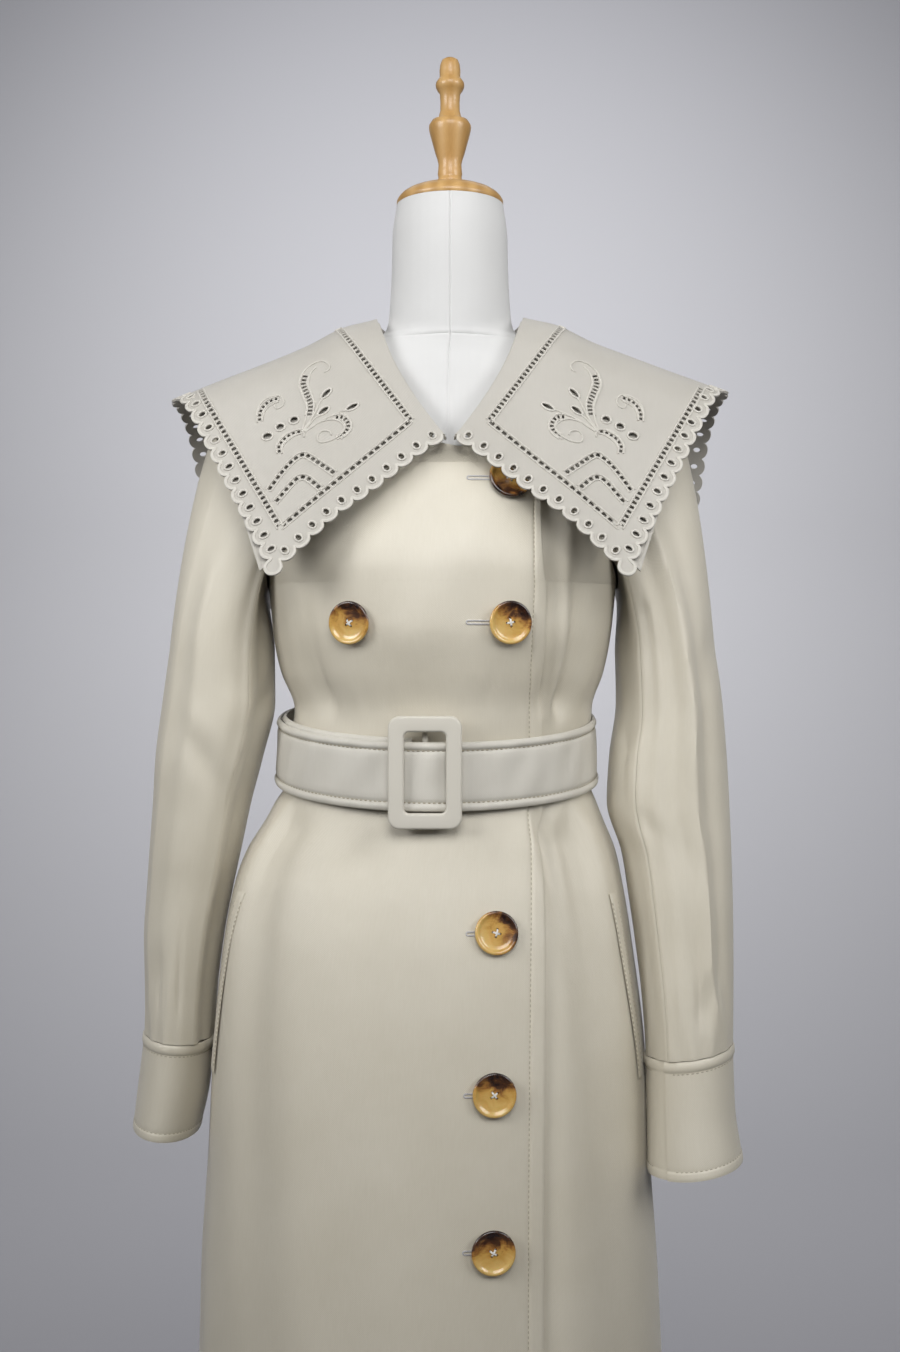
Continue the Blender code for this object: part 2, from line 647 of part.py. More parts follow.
def underlap_offset(angle, z):
    """The under front runs below the lap and eases out beside it."""
    beside = ring_point(COAT_ROWS, angle, z).x - linear_lookup(LAP_EDGE, "z", min(z, LAP_CORNER_Z), "x")
    above = z - UNDERLAP_TOP_Z
    return -(CLOTH + LAP_CLEARANCE) * (1.0 - smoothstep(beside / 0.030)) * (1.0 - smoothstep(above / 0.045))


def make_front_right():
    places = []
    for z in body_levels(LAP_TOP_LEVELS):
        start = pi + side_limit(z, "front")
        end = front_angle(linear_lookup(LAP_EDGE, "z", z, "x"), z)
        places.append(spread_places(start, end, z, 12))
    return add_object("front_right", panel_wall(coat_surface, places, lap_offset, CLOTH), "coat_cloth")


def make_front_left():
    places = []
    for z in body_levels(LAP_TOP_LEVELS):
        start = front_angle(linear_lookup(UNDERLAP_EDGE, "z", z, "x"), z)
        end = 2.0 * pi - side_limit(z, "front")
        places.append(spread_places(start, end, z, 10))
    return add_object("front_left", panel_wall(coat_surface, places, underlap_offset, CLOTH), "coat_cloth")


def make_back():
    places = []
    for z in body_levels():
        limit = side_limit(z, "back")
        places.append(spread_places(limit, pi - limit, z, 14))
    return add_object("back", panel_wall(coat_surface, places, lap_offset, CLOTH), "coat_cloth")


# ================================================================ sleeves and cuffs
def sleeve_ring(side, angle, z):
    rows = SLEEVE_ROWS[side]
    outer = lookup(rows, "z", z, "outer")
    inner = lookup(rows, "z", z, "inner")
    depth = lookup(rows, "z", z, "half_depth")
    depth += fold_height(SLEEVE_FOLDS[side], angle, z)
    half_width = (outer - inner) / 2.0 + 0.5 * fold_height(SLEEVE_FOLDS[side], angle, z)
    return Vector((side * (outer + inner) / 2.0 + half_width * cos(angle),
                   lookup(rows, "z", z, "centre_y") + depth * sin(angle), z))


def armhole_point(side, angle):
    """Point of the body's armhole that a sleeve angle is sewn to, moved out by the seam."""
    level = side * cos(angle)
    z = armhole_z(level)
    reach = ARMHOLE_ANGLE * abs(sin(angle)) * (1.0 if sin(angle) >= 0.0 else -1.0)
    body_angle = reach if side == LEFT else pi - reach
    point = ring_point(COAT_ROWS, body_angle, z)
    return point + Vector((side * 2.0 * SEAM, 0.0, SEAM * level))


def sleeve_surface(side):
    """Surface of a sleeve: up to the join it is v high, above it bends in to the armhole."""
    end = CUFF_ENDS[side]

    def surface(angle, v):
        level = side * cos(angle)
        tilt = end.tilt * level * (1.0 - smoothstep((v - end.top_z) / 0.060))
        if v <= SLEEVE_JOIN_Z:
            point = sleeve_ring(side, angle, v)
            gather = GATHER_DEPTH * sin(GATHERS * angle) * (1.0 - smoothstep((v - end.top_z) / 0.030))
            centre = Vector((side * SLEEVE_CENTRE_X, 0.0, point.z))
            return point + (point - centre).normalized() * gather + Vector((0.0, 0.0, tilt))
        part = (v - SLEEVE_JOIN_Z) / SLEEVE_CAP_SPAN
        height = (level + 1.0) / 2.0
        ring = sleeve_ring(side, angle, SLEEVE_JOIN_Z)
        hole = armhole_point(side, angle)
        rise = Vector((-side * 0.020 * height, 0.0, 0.06 + 0.14 * height))
        reach = Vector((-side * (0.015 + 0.105 * height), -0.02 * sin(angle), 0.020 + 0.025 * height))
        square, cube = part * part, part ** 3
        return (ring * (2 * cube - 3 * square + 1) + rise * (cube - 2 * square + part)
                + hole * (3 * square - 2 * cube) + reach * (cube - square))

    return surface


def sleeve_angles(side):
    """Angles round a sleeve whose levels match the armhole's rows, from the inner side round."""
    inner = pi if side == LEFT else 0.0
    turns = [acos(min(max(-level, -1.0), 1.0)) for level in ARMHOLE_LEVELS]
    first = [inner + turn for turn in turns]
    second = [inner + 2.0 * pi - turn for turn in reversed(turns)]
    return first + second[1:]


def sleeve_levels(side):
    bottom = CUFF_ENDS[side].top_z + 2.0 * SEAM
    straight = [bottom, 0.838, 0.888, 0.940, 0.992, 1.038, 1.080, SLEEVE_JOIN_Z]
    return straight + [SLEEVE_JOIN_Z + SLEEVE_CAP_SPAN * part for part in SLEEVE_CAP]


def make_sleeve(side, name):
    surface = sleeve_surface(side)
    angles = sleeve_angles(side)
    seam = SEAM / 2.0 / 0.05
    first = ARMHOLE_LEVELS.index(UNDER_SLEEVE_LEVEL)
    last = len(angles) - 1 - first
    top = angles[first:last + 1]
    top[0] += seam
    top[-1] -= seam
    under = [angle - 2.0 * pi for angle in angles[last:-1]] + angles[:first + 1]
    under[0] += seam
    under[-1] -= seam
    for part, columns in (("top", top), ("under", under)):
        places = [[(angle, level) for angle in columns] for level in sleeve_levels(side)]
        add_object(f"{name}_{part}", panel_wall(surface, places, lap_offset, CLOTH), "coat_cloth")


def cuff_surface(side):
    rows, end = CUFF_ROWS[side], CUFF_ENDS[side]

    def surface(angle, z):
        level = (z - end.bottom_z) / (end.top_z - end.bottom_z)
        outer = lookup(rows, "level", level, "outer")
        inner = lookup(rows, "level", level, "inner")
        return Vector((side * (outer + inner) / 2.0 + (outer - inner) / 2.0 * cos(angle),
                       lookup(rows, "level", level, "centre_y")
                       + lookup(rows, "level", level, "half_depth") * sin(angle),
                       z + end.tilt * side * cos(angle)))

    return surface


def make_cuff(side, name):
    """A cuff wraps once round the wrist, and its end laps over its tucked-in start at the slit."""
    end = CUFF_ENDS[side]
    start = radians(end.slit_angle)
    turn = 2.0 * pi + CUFF_OVERLAP
    columns = 15

    def offset(angle, z):
        level = (z - end.bottom_z) / (end.top_z - end.bottom_z)
        raised = CUFF_BAND_RAISE if level > CUFF_BAND_LEVEL else 0.0
        travel = (angle - start) / turn
        tuck = 1.0 - smoothstep((travel - 0.05) / 0.13)
        return raised * (1.0 - tuck) - (CLOTH + CUFF_CLEARANCE) * tuck

    height = end.top_z - end.bottom_z
    levels = [0.0, 0.45, CUFF_BAND_LEVEL - 0.005, CUFF_BAND_LEVEL + 0.005, 1.0]
    places = [spread_places(start, start + turn, end.bottom_z + level * height, columns) for level in levels]
    surface = cuff_surface(side)
    outer = [[off_surface(surface, u, v, offset(u, v)) for u, v in row] for row in places]
    inner = [[off_surface(surface, u, v, offset(u, end.bottom_z) - CLOTH) for u, v in row] for row in places]
    return add_object(name, wall_mesh(outer, inner), "coat_cloth")


# ================================================================ collar
def ridge_height(x):
    """Height of the line over the shoulders that the collar hangs from."""
    slope = RIDGE_SLOPE[RIGHT if x < 0.0 else LEFT]
    fall = slope * (sqrt(x * x + RIDGE_SMOOTHING ** 2) - RIDGE_SMOOTHING)
    roll = ROLL_RISE * exp(-((abs(x) - ROLL_RISE_X) / ROLL_RISE_SPREAD) ** 2)
    return RIDGE_TOP - fall + roll


def collar_section(length):
    """Reach from the ridge and drop below it, at a length along the cloth; the front is negative."""
    radius, lean = COLLAR_SIDES["front" if length < 0.0 else "back"]
    turn = min(abs(length) / radius, pi / 2.0 - lean)
    straight = max(0.0, abs(length) - radius * (pi / 2.0 - lean))
    reach = radius * sin(turn) + straight * sin(lean)
    drop = radius * (1.0 - cos(turn)) + straight * cos(lean)
    return (reach if length >= 0.0 else -reach), drop


def collar_surface(x, length):
    reach, drop = collar_section(length)
    return Vector((x, reach, ridge_height(x) - drop))


def collar_length(x, z, face):
    """Length along the cloth at which the collar is at a given x and height."""
    radius, lean = COLLAR_SIDES[face]
    drop = ridge_height(x) - z
    curve_drop = radius * (1.0 - sin(lean))
    if drop <= curve_drop:
        length = radius * acos(1.0 - drop / radius)
    else:
        length = radius * (pi / 2.0 - lean) + (drop - curve_drop) / cos(lean)
    return -length if face == "front" else length


def chart_point(corner, side):
    x = side * corner.x
    return Vector((x, collar_length(x, corner.z, corner.face)))


def chart_step(place, move):
    """Chart offset that moves a point of the collar by a small vector in space."""
    x, length = place
    along_x = (collar_surface(x + STEP, length) - collar_surface(x - STEP, length)) / (2 * STEP)
    along_s = (collar_surface(x, length + STEP) - collar_surface(x, length - STEP)) / (2 * STEP)
    xx, xs, ss = along_x.dot(along_x), along_x.dot(along_s), along_s.dot(along_s)
    right_x, right_s = along_x.dot(move), along_s.dot(move)
    scale = xx * ss - xs * xs
    return Vector(((right_x * ss - right_s * xs) / scale, (right_s * xx - right_x * xs) / scale))


def chart_direction(start, end, place):
    """Unit vector in space along a chart line, at one place on it."""
    move = (end - start).normalized() * STEP
    ahead = collar_surface(place.x + move.x, place.y + move.y)
    return (ahead - collar_surface(place.x, place.y)).normalized()


def neck_opening():
    """Chart points round the neck opening, from the right front edge round the back to the left."""
    front_length = collar_length(-NECK_FRONT_X, COLLAR_FRONT_EDGE.z, "front")
    right = []
    for step in range(7):
        part = step / 6.0
        x = -(NECK_FRONT_X + (NECK_SIDE_X - NECK_FRONT_X) * sin(part * pi / 2.0) ** 0.9)
        right.append(Vector((x, front_length * (1.0 - part))))
    back = [Vector((-NECK_SIDE_X * cos(turn), NECK_BACK_REACH * sin(turn)))
            for turn in (pi * step / 10.0 for step in range(1, 10))]
    left = [Vector((-point.x, point.y)) for point in reversed(right)]
    return right + back + left


def edge_line(start, end, trim_start, trim_end):
    """Base line of one scalloped edge, as chart points about one pitch apart."""
    whole = (collar_surface(*end) - collar_surface(*start)).length
    start, end = start.lerp(end, trim_start / whole), end.lerp(start, trim_end / whole)
    samples = [start.lerp(end, step / 60.0) for step in range(61)]
    spots = [collar_surface(*sample) for sample in samples]
    lengths = [0.0]
    for before, after in zip(spots, spots[1:]):
        lengths.append(lengths[-1] + (after - before).length)
    count = max(1, round(lengths[-1] / SCALLOP_PITCH))
    line = []
    for index in range(count + 1):
        target = lengths[-1] * index / count
        place = next(step for step in range(61) if lengths[step] >= target - 1e-9)
        line.append(samples[place])
    return line


def scallop_points(start, end):
    """Chart points of one scallop from valley to valley, without its last valley."""
    middle = (start + end) / 2.0
    along = chart_direction(start, end, middle)
    outward = along.cross(surface_normal(collar_surface, middle.x, middle.y))
    width = (collar_surface(*end) - collar_surface(*start)).length
    points = [start.copy()]
    for across, depth in ((-0.36, 0.72), (0.0, 1.0), (0.36, 0.72)):
        move = along * (across * width) + outward * (depth * SCALLOP_DEPTH)
        points.append(middle + chart_step(middle, move))
    return points


def lobe_points(corner, before, after):
    """Chart points of the larger round lobe at a corner of the edge."""
    arriving = chart_direction(before, corner, corner)
    leaving = chart_direction(corner, after, corner)
    normal = surface_normal(collar_surface, corner.x, corner.y)
    outward = (arriving.cross(normal) + leaving.cross(normal)).normalized()
    sideways = normal.cross(outward)
    points = []
    for turn in (-105.0, -63.0, -21.0, 21.0, 63.0, 105.0):
        move = (outward * (0.25 + cos(radians(turn))) + sideways * sin(radians(turn))) * CORNER_LOBE_RADIUS
        points.append(corner + chart_step(corner, move))
    return points


def collar_corners(side):
    """Base corners of the scalloped edge on one side, from the front edge to the back corner."""
    return [chart_point(COLLAR_FRONT_EDGE, side), chart_point(COLLAR_POINT, side),
            Vector((side * COLLAR_SHOULDER_X, 0.0)), chart_point(COLLAR_BACK_CORNER, side)]


def edge_corners():
    """All base corners of the scalloped edge, anticlockwise in the chart."""
    right = collar_corners(RIGHT)
    left = collar_corners(LEFT)
    return left + right[::-1]


def scalloped_edge():
    """Outline and eyelets of the scalloped edge, from the left front edge to the right one."""
    corners = edge_corners()
    lobed = {1, 3, 4, 6}          # the collar's points and back corners; the shoulders run on
    outline, eyelets = [], []
    for index, (start, end) in enumerate(zip(corners, corners[1:])):
        trim_start = CORNER_TRIM if index in lobed else 0.0
        trim_end = CORNER_TRIM if index + 1 in lobed else 0.0
        line = edge_line(start, end, trim_start, trim_end)
        for first, second in zip(line, line[1:]):
            outline.extend(scallop_points(first, second))
            eyelets.append(edge_eyelet(first, second))
        if index + 1 in lobed:
            outline.append(line[-1].copy())
            outline.extend(lobe_points(end, start, corners[index + 2]))
    outline.append(corners[-1].copy())
    return outline, eyelets


def edge_eyelet(start, end):
    middle = (start + end) / 2.0
    along = chart_direction(start, end, middle)
    inward = surface_normal(collar_surface, middle.x, middle.y).cross(along)
    centre = middle + chart_step(middle, inward * EYELET_INSET)
    return eyelet_points(centre, inward, along, EYELET_LENGTH, EYELET_WIDTH)


def eyelet_points(centre, long_way, short_way, length, width):
    points = []
    for side in range(EYELET_SIDES):
        turn = 2.0 * pi * side / EYELET_SIDES
        move = long_way * (cos(turn) * length / 2.0) + short_way * (sin(turn) * width / 2.0)
        points.append(centre + chart_step(centre, move))
    return points


def motif_eyelets(side):
    loops = []
    for row in MOTIF_EYELETS:
        x = side * row.x
        centre = Vector((x, collar_length(x, row.z, "front")))
        normal = surface_normal(collar_surface, *centre)
        upward = Vector((0.0, 0.0, 1.0))
        upward = (upward - normal * upward.dot(normal)).normalized()
        across = upward.cross(normal)
        lean = radians(row.lean) * side
        long_way = upward * cos(lean) + across * sin(lean)
        short_way = long_way.cross(normal)
        loops.append(eyelet_points(centre, long_way, short_way, row.length, row.width))
    return loops


def inside(point, loop):
    """Whether a chart point lies inside a closed loop."""
    hit = False
    for first, second in zip(loop, loop[1:] + loop[:1]):
        if (first.y > point.y) != (second.y > point.y):
            cross_x = first.x + (point.y - first.y) * (second.x - first.x) / (second.y - first.y)
            if point.x < cross_x:
                hit = not hit
    return hit


def clear_of(point, loop, distance):
    return all((point - other).length > distance for other in loop)


def filling_points(outline, loops, clearance):
    """Points inside the collar that let its facets follow the curve over the shoulders."""
    points = []
    for length in (-0.160, -0.100, -0.066, -0.044, -0.022, 0.0, 0.022, 0.044, 0.066, 0.090, 0.150):
        for step in range(-7, 8):
            point = Vector((step * 0.030, length))
            free = inside(point, outline) and clear_of(point, outline, clearance)
            if free and all(clear_of(point, loop, clearance) for loop in loops):
                points.append(point)
    return points


def sheet_mesh(outline, holes, fill, outer_offset, thickness):
    """A wall on the collar's surface inside an outline, with holes cut through."""
    coordinates, edges = [], []
    for loop in [outline] + holes:
        first = len(coordinates)
        coordinates.extend(loop)
        edges.extend((first + i, first + (i + 1) % len(loop)) for i in range(len(loop)))
    coordinates.extend(fill)
    flat, _, triangles, _, _, _ = delaunay_2d_cdt(coordinates, edges, [], 1, 1e-7)
    kept = [face for face in triangles if is_cloth(face, flat, outline, holes)]
    builder = bmesh.new()
    outer = [off_surface(collar_surface, p.x, p.y, outer_offset(p)) for p in flat]
    inner = [off_surface(collar_surface, p.x, p.y, outer_offset(p) - thickness) for p in flat]
    used = sorted({index for face in kept for index in face})
    out_points = {index: builder.verts.new(outer[index]) for index in used}
    in_points = {index: builder.verts.new(inner[index]) for index in used}
    sides = {}
    for face in kept:
        builder.faces.new([out_points[index] for index in face])
        builder.faces.new([in_points[index] for index in reversed(face)])
        for first, second in zip(face, face[1:] + face[:1]):
            sides[(first, second)] = True
    for first, second in sides:
        if (second, first) not in sides:
            builder.faces.new((out_points[second], out_points[first], in_points[first], in_points[second]))
    return builder


def is_cloth(face, flat, outline, holes):
    centre = sum((flat[index] for index in face), Vector((0.0, 0.0))) / len(face)
    return inside(centre, outline) and not any(inside(centre, hole) for hole in holes)


def roll_distance(place):
    """Rough distance from a chart point to the roll line round the neck."""
    if place.y < 0.0:
        front_length = collar_length(-NECK_FRONT_X, COLLAR_FRONT_EDGE.z, "front")
        part = min(1.0, max(0.0, 1.0 - place.y / front_length))
        return max(0.0, abs(place.x) - NECK_FRONT_X - (NECK_SIDE_X - NECK_FRONT_X) * sin(part * pi / 2.0) ** 0.9)
    around = sqrt((place.x / NECK_SIDE_X) ** 2 + (place.y / NECK_BACK_REACH) ** 2)
    return max(0.0, (around - 1.0) * NECK_SIDE_X)


def under_collar_offset(place):
    air = SEAM + (COLLAR_AIR - SEAM) * smoothstep(roll_distance(place) / 0.020)
    return -(CUTWORK_WALL + air)


def make_collar_cutwork():
    edge, eyelets = scalloped_edge()
    outline = edge + neck_opening()
    holes = eyelets + motif_eyelets(RIGHT) + motif_eyelets(LEFT)
    fill = filling_points(outline, holes, 0.0075)
    builder = sheet_mesh(outline, holes, fill, lambda place: 0.0, CUTWORK_WALL)
    return add_object("collar_cutwork", builder, "collar_cloth")


def under_edge(side):
    """Plain edge of the under collar on one side, from the front edge to the back corner."""
    corners = [chart_point(UNDER_FRONT_EDGE, side), chart_point(UNDER_NOTCH, side),
               chart_point(UNDER_POINT, side), Vector((side * UNDER_SHOULDER_X, 0.0)),
               chart_point(UNDER_BACK_CORNER, side)]
    line = []
    for start, end in zip(corners, corners[1:]):
        pieces = max(1, round((end - start).length / 0.026))
        line.extend(start.lerp(end, step / pieces) for step in range(pieces))
    return line + [corners[-1]]


def make_collar_under():
    left, right = under_edge(LEFT), under_edge(RIGHT)
    back = [left[-1].lerp(right[-1], step / 14.0) for step in range(1, 14)]
    level = collar_surface(*left[-1]).z
    back = [Vector((point.x, collar_length(point.x, level, "back"))) for point in back]
    outline = left + back + right[::-1] + neck_opening()
    fill = filling_points(outline, [], 0.009)
    builder = sheet_mesh(outline, [], fill, under_collar_offset, UNDER_COLLAR_WALL)
    return add_object("collar_under", builder, "collar_cloth")


def make_collar_stand():
    """A band that goes down inside the neck opening from just under the roll line."""
    opening = neck_opening()
    top = CUTWORK_WALL + SEAM + UNDER_COLLAR_WALL + SEAM
    outer, inner = [[], []], [[], []]
    for index, place in enumerate(opening):
        normal = surface_normal(collar_surface, *place)
        before = collar_surface(*opening[max(0, index - 1)])
        after = collar_surface(*opening[min(len(opening) - 1, index + 1)])
        facing = smoothstep((-place.y - 0.055) / 0.050)
        downward = (Vector((0.0, 0.0, -1.0)) * (1.0 - facing) - normal * facing).normalized()
        away = (after - before).normalized().cross(downward).normalized()
        start = collar_surface(*place) - normal * top
        for row, drop in enumerate((SEAM, SEAM + STAND_DROP)):
            outer[row].append(start + downward * drop)
            inner[row].append(start + downward * drop - away * STAND_WALL)
    return add_object("collar_stand", wall_mesh(outer, inner), "collar_cloth")


# ================================================================ belt and buckle
def belt_surface(travel, v):
    """Inner face of the belt: travel in radians from its fixed end, v from -1 to 1 up its height."""
    angle = radians(BELT_START_ANGLE) - travel
    air = lookup(BELT_ROWS, "travel", degrees(travel), "air") - BELT_FLARE * 0.5 * (v - 1.0)
    point = ring_point(COAT_ROWS, angle, BELT_RING_Z)
    ahead = ring_point(COAT_ROWS, angle + STEP, BELT_RING_Z)
    back = ring_point(COAT_ROWS, angle - STEP, BELT_RING_Z)
    outward = (ahead - back).cross(Vector((0.0, 0.0, 1.0))).normalized()
    first_turn = 1.0 - smoothstep((degrees(travel) - 60.0) / 60.0)
    height = BELT_Z + BELT_DIP * sin(angle) + INNER_END_RISE * first_turn
    return Vector((point.x, point.y, height + v * BELT_HALF_HEIGHT)) + outward * air


def make_belt():
    """The belt starts at the buckle's bar, goes once round, and its tail passes over the start."""
    travels = [radians(BELT_TRAVEL) * step / BELT_STATIONS for step in range(BELT_STATIONS + 1)]
    inner = [[belt_surface(travel, v) for travel in travels] for v in (-1.0, 1.0)]
    outer = [[off_belt(travel, v) for travel in travels] for v in (-1.0, 1.0)]
    return add_object("belt", wall_mesh(outer, inner), "coat_cloth")


def off_belt(travel, v):
    angle = radians(BELT_START_ANGLE) - travel
    ahead = ring_point(COAT_ROWS, angle + STEP, BELT_RING_Z)
    back = ring_point(COAT_ROWS, angle - STEP, BELT_RING_Z)
    outward = (ahead - back).cross(Vector((0.0, 0.0, 1.0))).normalized()
    return belt_surface(travel, v) + outward * BELT_WALL


def rounded_rectangle(width, height, radius, steps=4):
    corners = ((1, 1, 0), (-1, 1, 90), (-1, -1, 180), (1, -1, 270))
    points = []
    for x_sign, z_sign, start in corners:
        for step in range(steps + 1):
            turn = radians(start + 90.0 * step / steps)
            points.append((x_sign * (width / 2 - radius) + radius * cos(turn),
                           z_sign * (height / 2 - radius) + radius * sin(turn)))
    return points


def buckle_ring(width, height, radius, y):
    return [Vector((BUCKLE_X + x, y, BUCKLE_Z + z)) for x, z in rounded_rectangle(width, height, radius)]


def make_buckle():
    """A flat rounded frame with softened front edges, and a bar behind its window."""
    front_y = BUCKLE_BACK_Y - BUCKLE_THICKNESS
    edge = BUCKLE_EDGE
    sections = [
        buckle_ring(BUCKLE_WIDTH, BUCKLE_HEIGHT, BUCKLE_RADIUS, BUCKLE_BACK_Y),
        buckle_ring(BUCKLE_WIDTH, BUCKLE_HEIGHT, BUCKLE_RADIUS, front_y + edge),
        buckle_ring(BUCKLE_WIDTH - 2 * edge, BUCKLE_HEIGHT - 2 * edge, BUCKLE_RADIUS - edge, front_y),
        buckle_ring(WINDOW_WIDTH + 2 * edge, WINDOW_HEIGHT + 2 * edge, WINDOW_RADIUS + edge, front_y),
        buckle_ring(WINDOW_WIDTH, WINDOW_HEIGHT, WINDOW_RADIUS, front_y + edge),
        buckle_ring(WINDOW_WIDTH, WINDOW_HEIGHT, WINDOW_RADIUS, BUCKLE_BACK_Y),
    ]
    builder = bmesh.new()
    loops = [[builder.verts.new(point) for point in section] for section in sections]
    for low, high in zip(loops, loops[1:] + loops[:1]):
        for index in range(len(low)):
            after = (index + 1) % len(low)
            builder.faces.new((low[index], low[after], high[after], high[index]))
    buckle = add_object("buckle", builder, "buckle_cloth")
    for cutter_name, size, centre in bar_boxes():
        helper = box_object(cutter_name, size, centre)
        union = buckle.modifiers.new(cutter_name, "BOOLEAN")
        union.operation = "UNION"
        union.solver = "EXACT"
        union.object = helper
    return buckle


def bar_boxes():
    """The bar behind the window, and the two posts that join it to the frame."""
    post_height = 0.0070
    bar_height = WINDOW_HEIGHT + 2 * post_height
    bar_y = (BAR_BACK_Y + BAR_FRONT_Y) / 2.0
    bar = ("bar_shape", (BAR_WIDTH, abs(BAR_FRONT_Y - BAR_BACK_Y), bar_height), (BUCKLE_X, bar_y, BUCKLE_Z))
    post_front = BUCKLE_BACK_Y - 0.0010
    post_depth = BAR_BACK_Y - post_front - 0.0004
    boxes = [bar]
    for name, sign in (("upper_post", 1), ("lower_post", -1)):
        z = BUCKLE_Z + sign * (WINDOW_HEIGHT + post_height + 0.0020) / 2.0
        size = (BAR_WIDTH - 0.0008, post_depth, post_height - 0.0028)
        boxes.append((name, size, (BUCKLE_X, post_front + post_depth / 2.0, z)))
    return boxes


def box_object(name, size, centre):
    builder = bmesh.new()
    bmesh.ops.create_cube(builder, size=1.0)
    bmesh.ops.scale(builder, vec=size, verts=builder.verts)
    bmesh.ops.translate(builder, vec=centre, verts=builder.verts)
    helper = add_object(name, builder, "buckle_cloth", smooth=False)
    helper.hide_render = True
    helper.display_type = "WIRE"
    return helper


# ================================================================ pockets and buttons
def seat_on(builder, panel, inward, clearance):
    """Move a piece inward until only the clearance is left between it and the panel."""
    corners = [corner.co for corner in panel.data.vertices]
    panel_tree = BVHTree.FromPolygons(corners, [face.vertices for face in panel.data.polygons])
    piece_tree = BVHTree.FromBMesh(builder)
    gaps = [panel_tree.ray_cast(corner.co, inward)[3] for corner in builder.verts]
    gaps += [piece_tree.ray_cast(corner, -inward)[3] for corner in corners]
    drop = min(gap for gap in gaps if gap is not None) - clearance
    bmesh.ops.translate(builder, vec=inward * drop, verts=builder.verts)


def make_pocket_welt(side, name, panel_name):
    """A slanted welt that lies on the front near the side seam."""
    line = POCKET_LINES[side]
    places = []
    for step in range(POCKET_STEPS + 1):
        part = step / POCKET_STEPS
        angle = radians(line.bottom_angle + part * (line.top_angle - line.bottom_angle))
        z = line.bottom_z + part * (line.top_z - line.bottom_z)
        half = POCKET_WIDTH / 2.0 / lookup(COAT_ROWS, "z", z, "half_width")
        places.append([(angle - half, z), (angle, z), (angle + half, z)])
    builder = panel_wall(coat_surface, places, lambda angle, z: START_AIR + POCKET_WALL, POCKET_WALL)
    middle = places[len(places) // 2][1]
    seat_on(builder, bpy.data.objects[panel_name], -surface_normal(coat_surface, *middle), SEAM)
    return add_object(name, builder, "coat_cloth")


def make_button(place):
    angle = front_angle(place.x, place.z)
    spot = off_surface(coat_surface, angle, place.z, START_AIR)
    normal = surface_normal(coat_surface, angle, place.z)
    builder = turned_mesh(BUTTON_PROFILE, BUTTON_SIDES, BUTTON_CENTRE_HEIGHT)
    turn = normal.to_track_quat("Z", "Y").to_matrix().to_4x4()
    bmesh.ops.transform(builder, matrix=turn, verts=builder.verts)
    bmesh.ops.translate(builder, vec=spot, verts=builder.verts)
    seat_on(builder, bpy.data.objects["front_right"], -normal, BUTTON_AIR)
    return add_object(place.name, builder, "button_horn")


# ================================================================ form and stand
def make_dress_form():
    levels = [row.z for row in FORM_ROWS]
    columns = 24
    builder = bmesh.new()
    rings = [[builder.verts.new(form_surface(2 * pi * column / columns, z)) for column in range(columns)]
             for z in levels]
    for low, high in zip(rings, rings[1:]):
        for column in range(columns):
            after = (column + 1) % columns
            builder.faces.new((low[column], low[after], high[after], high[column]))
    builder.faces.new(reversed(rings[0]))
    builder.faces.new(rings[-1])
    return add_object("dress_form", builder, "form_cover")


def make_turned(name, profile, sides, base_z, finish):
    item = add_object(name, turned_mesh(profile, sides), finish)
    item.location.z = base_z
    return item


def make_stand():
    form_top = FORM_ROWS[-1].z
    base_top = BASE_PROFILE[-1].height
    cap_top = form_top + SEAM + CAP_PROFILE[-1].height
    make_turned("stand_base", BASE_PROFILE, 32, 0.0, "stand_wood")
    make_turned("stand_pole", POLE_PROFILE, 12, base_top + SEAM, "stand_metal")
    make_turned("neck_cap", CAP_PROFILE, 24, form_top + SEAM, "stand_wood")
    make_turned("finial", FINIAL_PROFILE, 16, cap_top + SEAM, "stand_wood")


def main():
    clear_scene()
    make_front_right()
    make_front_left()
    make_back()
    for side, word in ((RIGHT, "right"), (LEFT, "left")):
        make_sleeve(side, f"sleeve_{word}")
        make_cuff(side, f"cuff_{word}")
        make_pocket_welt(side, f"pocket_welt_{word}", f"front_{word}")
    make_collar_cutwork()
    make_collar_under()
    make_collar_stand()
    make_belt()
    make_buckle()
    for place in BUTTONS:
        make_button(place)
    make_dress_form()
    make_stand()


main()
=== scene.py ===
"""Looks of the belted trench coat with a cutwork collar, standing on a limbless dress form.

Metres, +Z up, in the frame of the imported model. The coat faces -Y, and +X is the wearer's left.
Every cloth panel is a fine shell on the form of its solid. Surfaces take two arrays of
coordinates and give an array of points, so a whole grid is worked out at once.
"""
from collections import namedtuple
from math import cos, pi, radians, sin

import bpy
import numpy as np
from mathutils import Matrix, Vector
from mathutils.geometry import delaunay_2d_cdt


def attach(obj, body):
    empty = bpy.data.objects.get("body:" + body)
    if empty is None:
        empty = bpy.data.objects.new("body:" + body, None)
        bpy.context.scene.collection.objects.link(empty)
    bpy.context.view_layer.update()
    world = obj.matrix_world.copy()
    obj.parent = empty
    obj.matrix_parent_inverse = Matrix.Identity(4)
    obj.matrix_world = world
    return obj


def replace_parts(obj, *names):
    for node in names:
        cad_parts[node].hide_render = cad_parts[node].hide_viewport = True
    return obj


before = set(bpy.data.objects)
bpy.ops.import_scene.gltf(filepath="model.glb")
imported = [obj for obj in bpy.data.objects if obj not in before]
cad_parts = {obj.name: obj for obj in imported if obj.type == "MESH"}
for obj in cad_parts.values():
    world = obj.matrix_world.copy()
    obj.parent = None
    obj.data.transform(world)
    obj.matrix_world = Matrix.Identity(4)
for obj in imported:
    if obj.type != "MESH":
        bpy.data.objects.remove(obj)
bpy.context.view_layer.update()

CLOTH = 0.0015            # wall of the coat's cloth
SEAM = 0.0003             # clearance between two sewn pieces
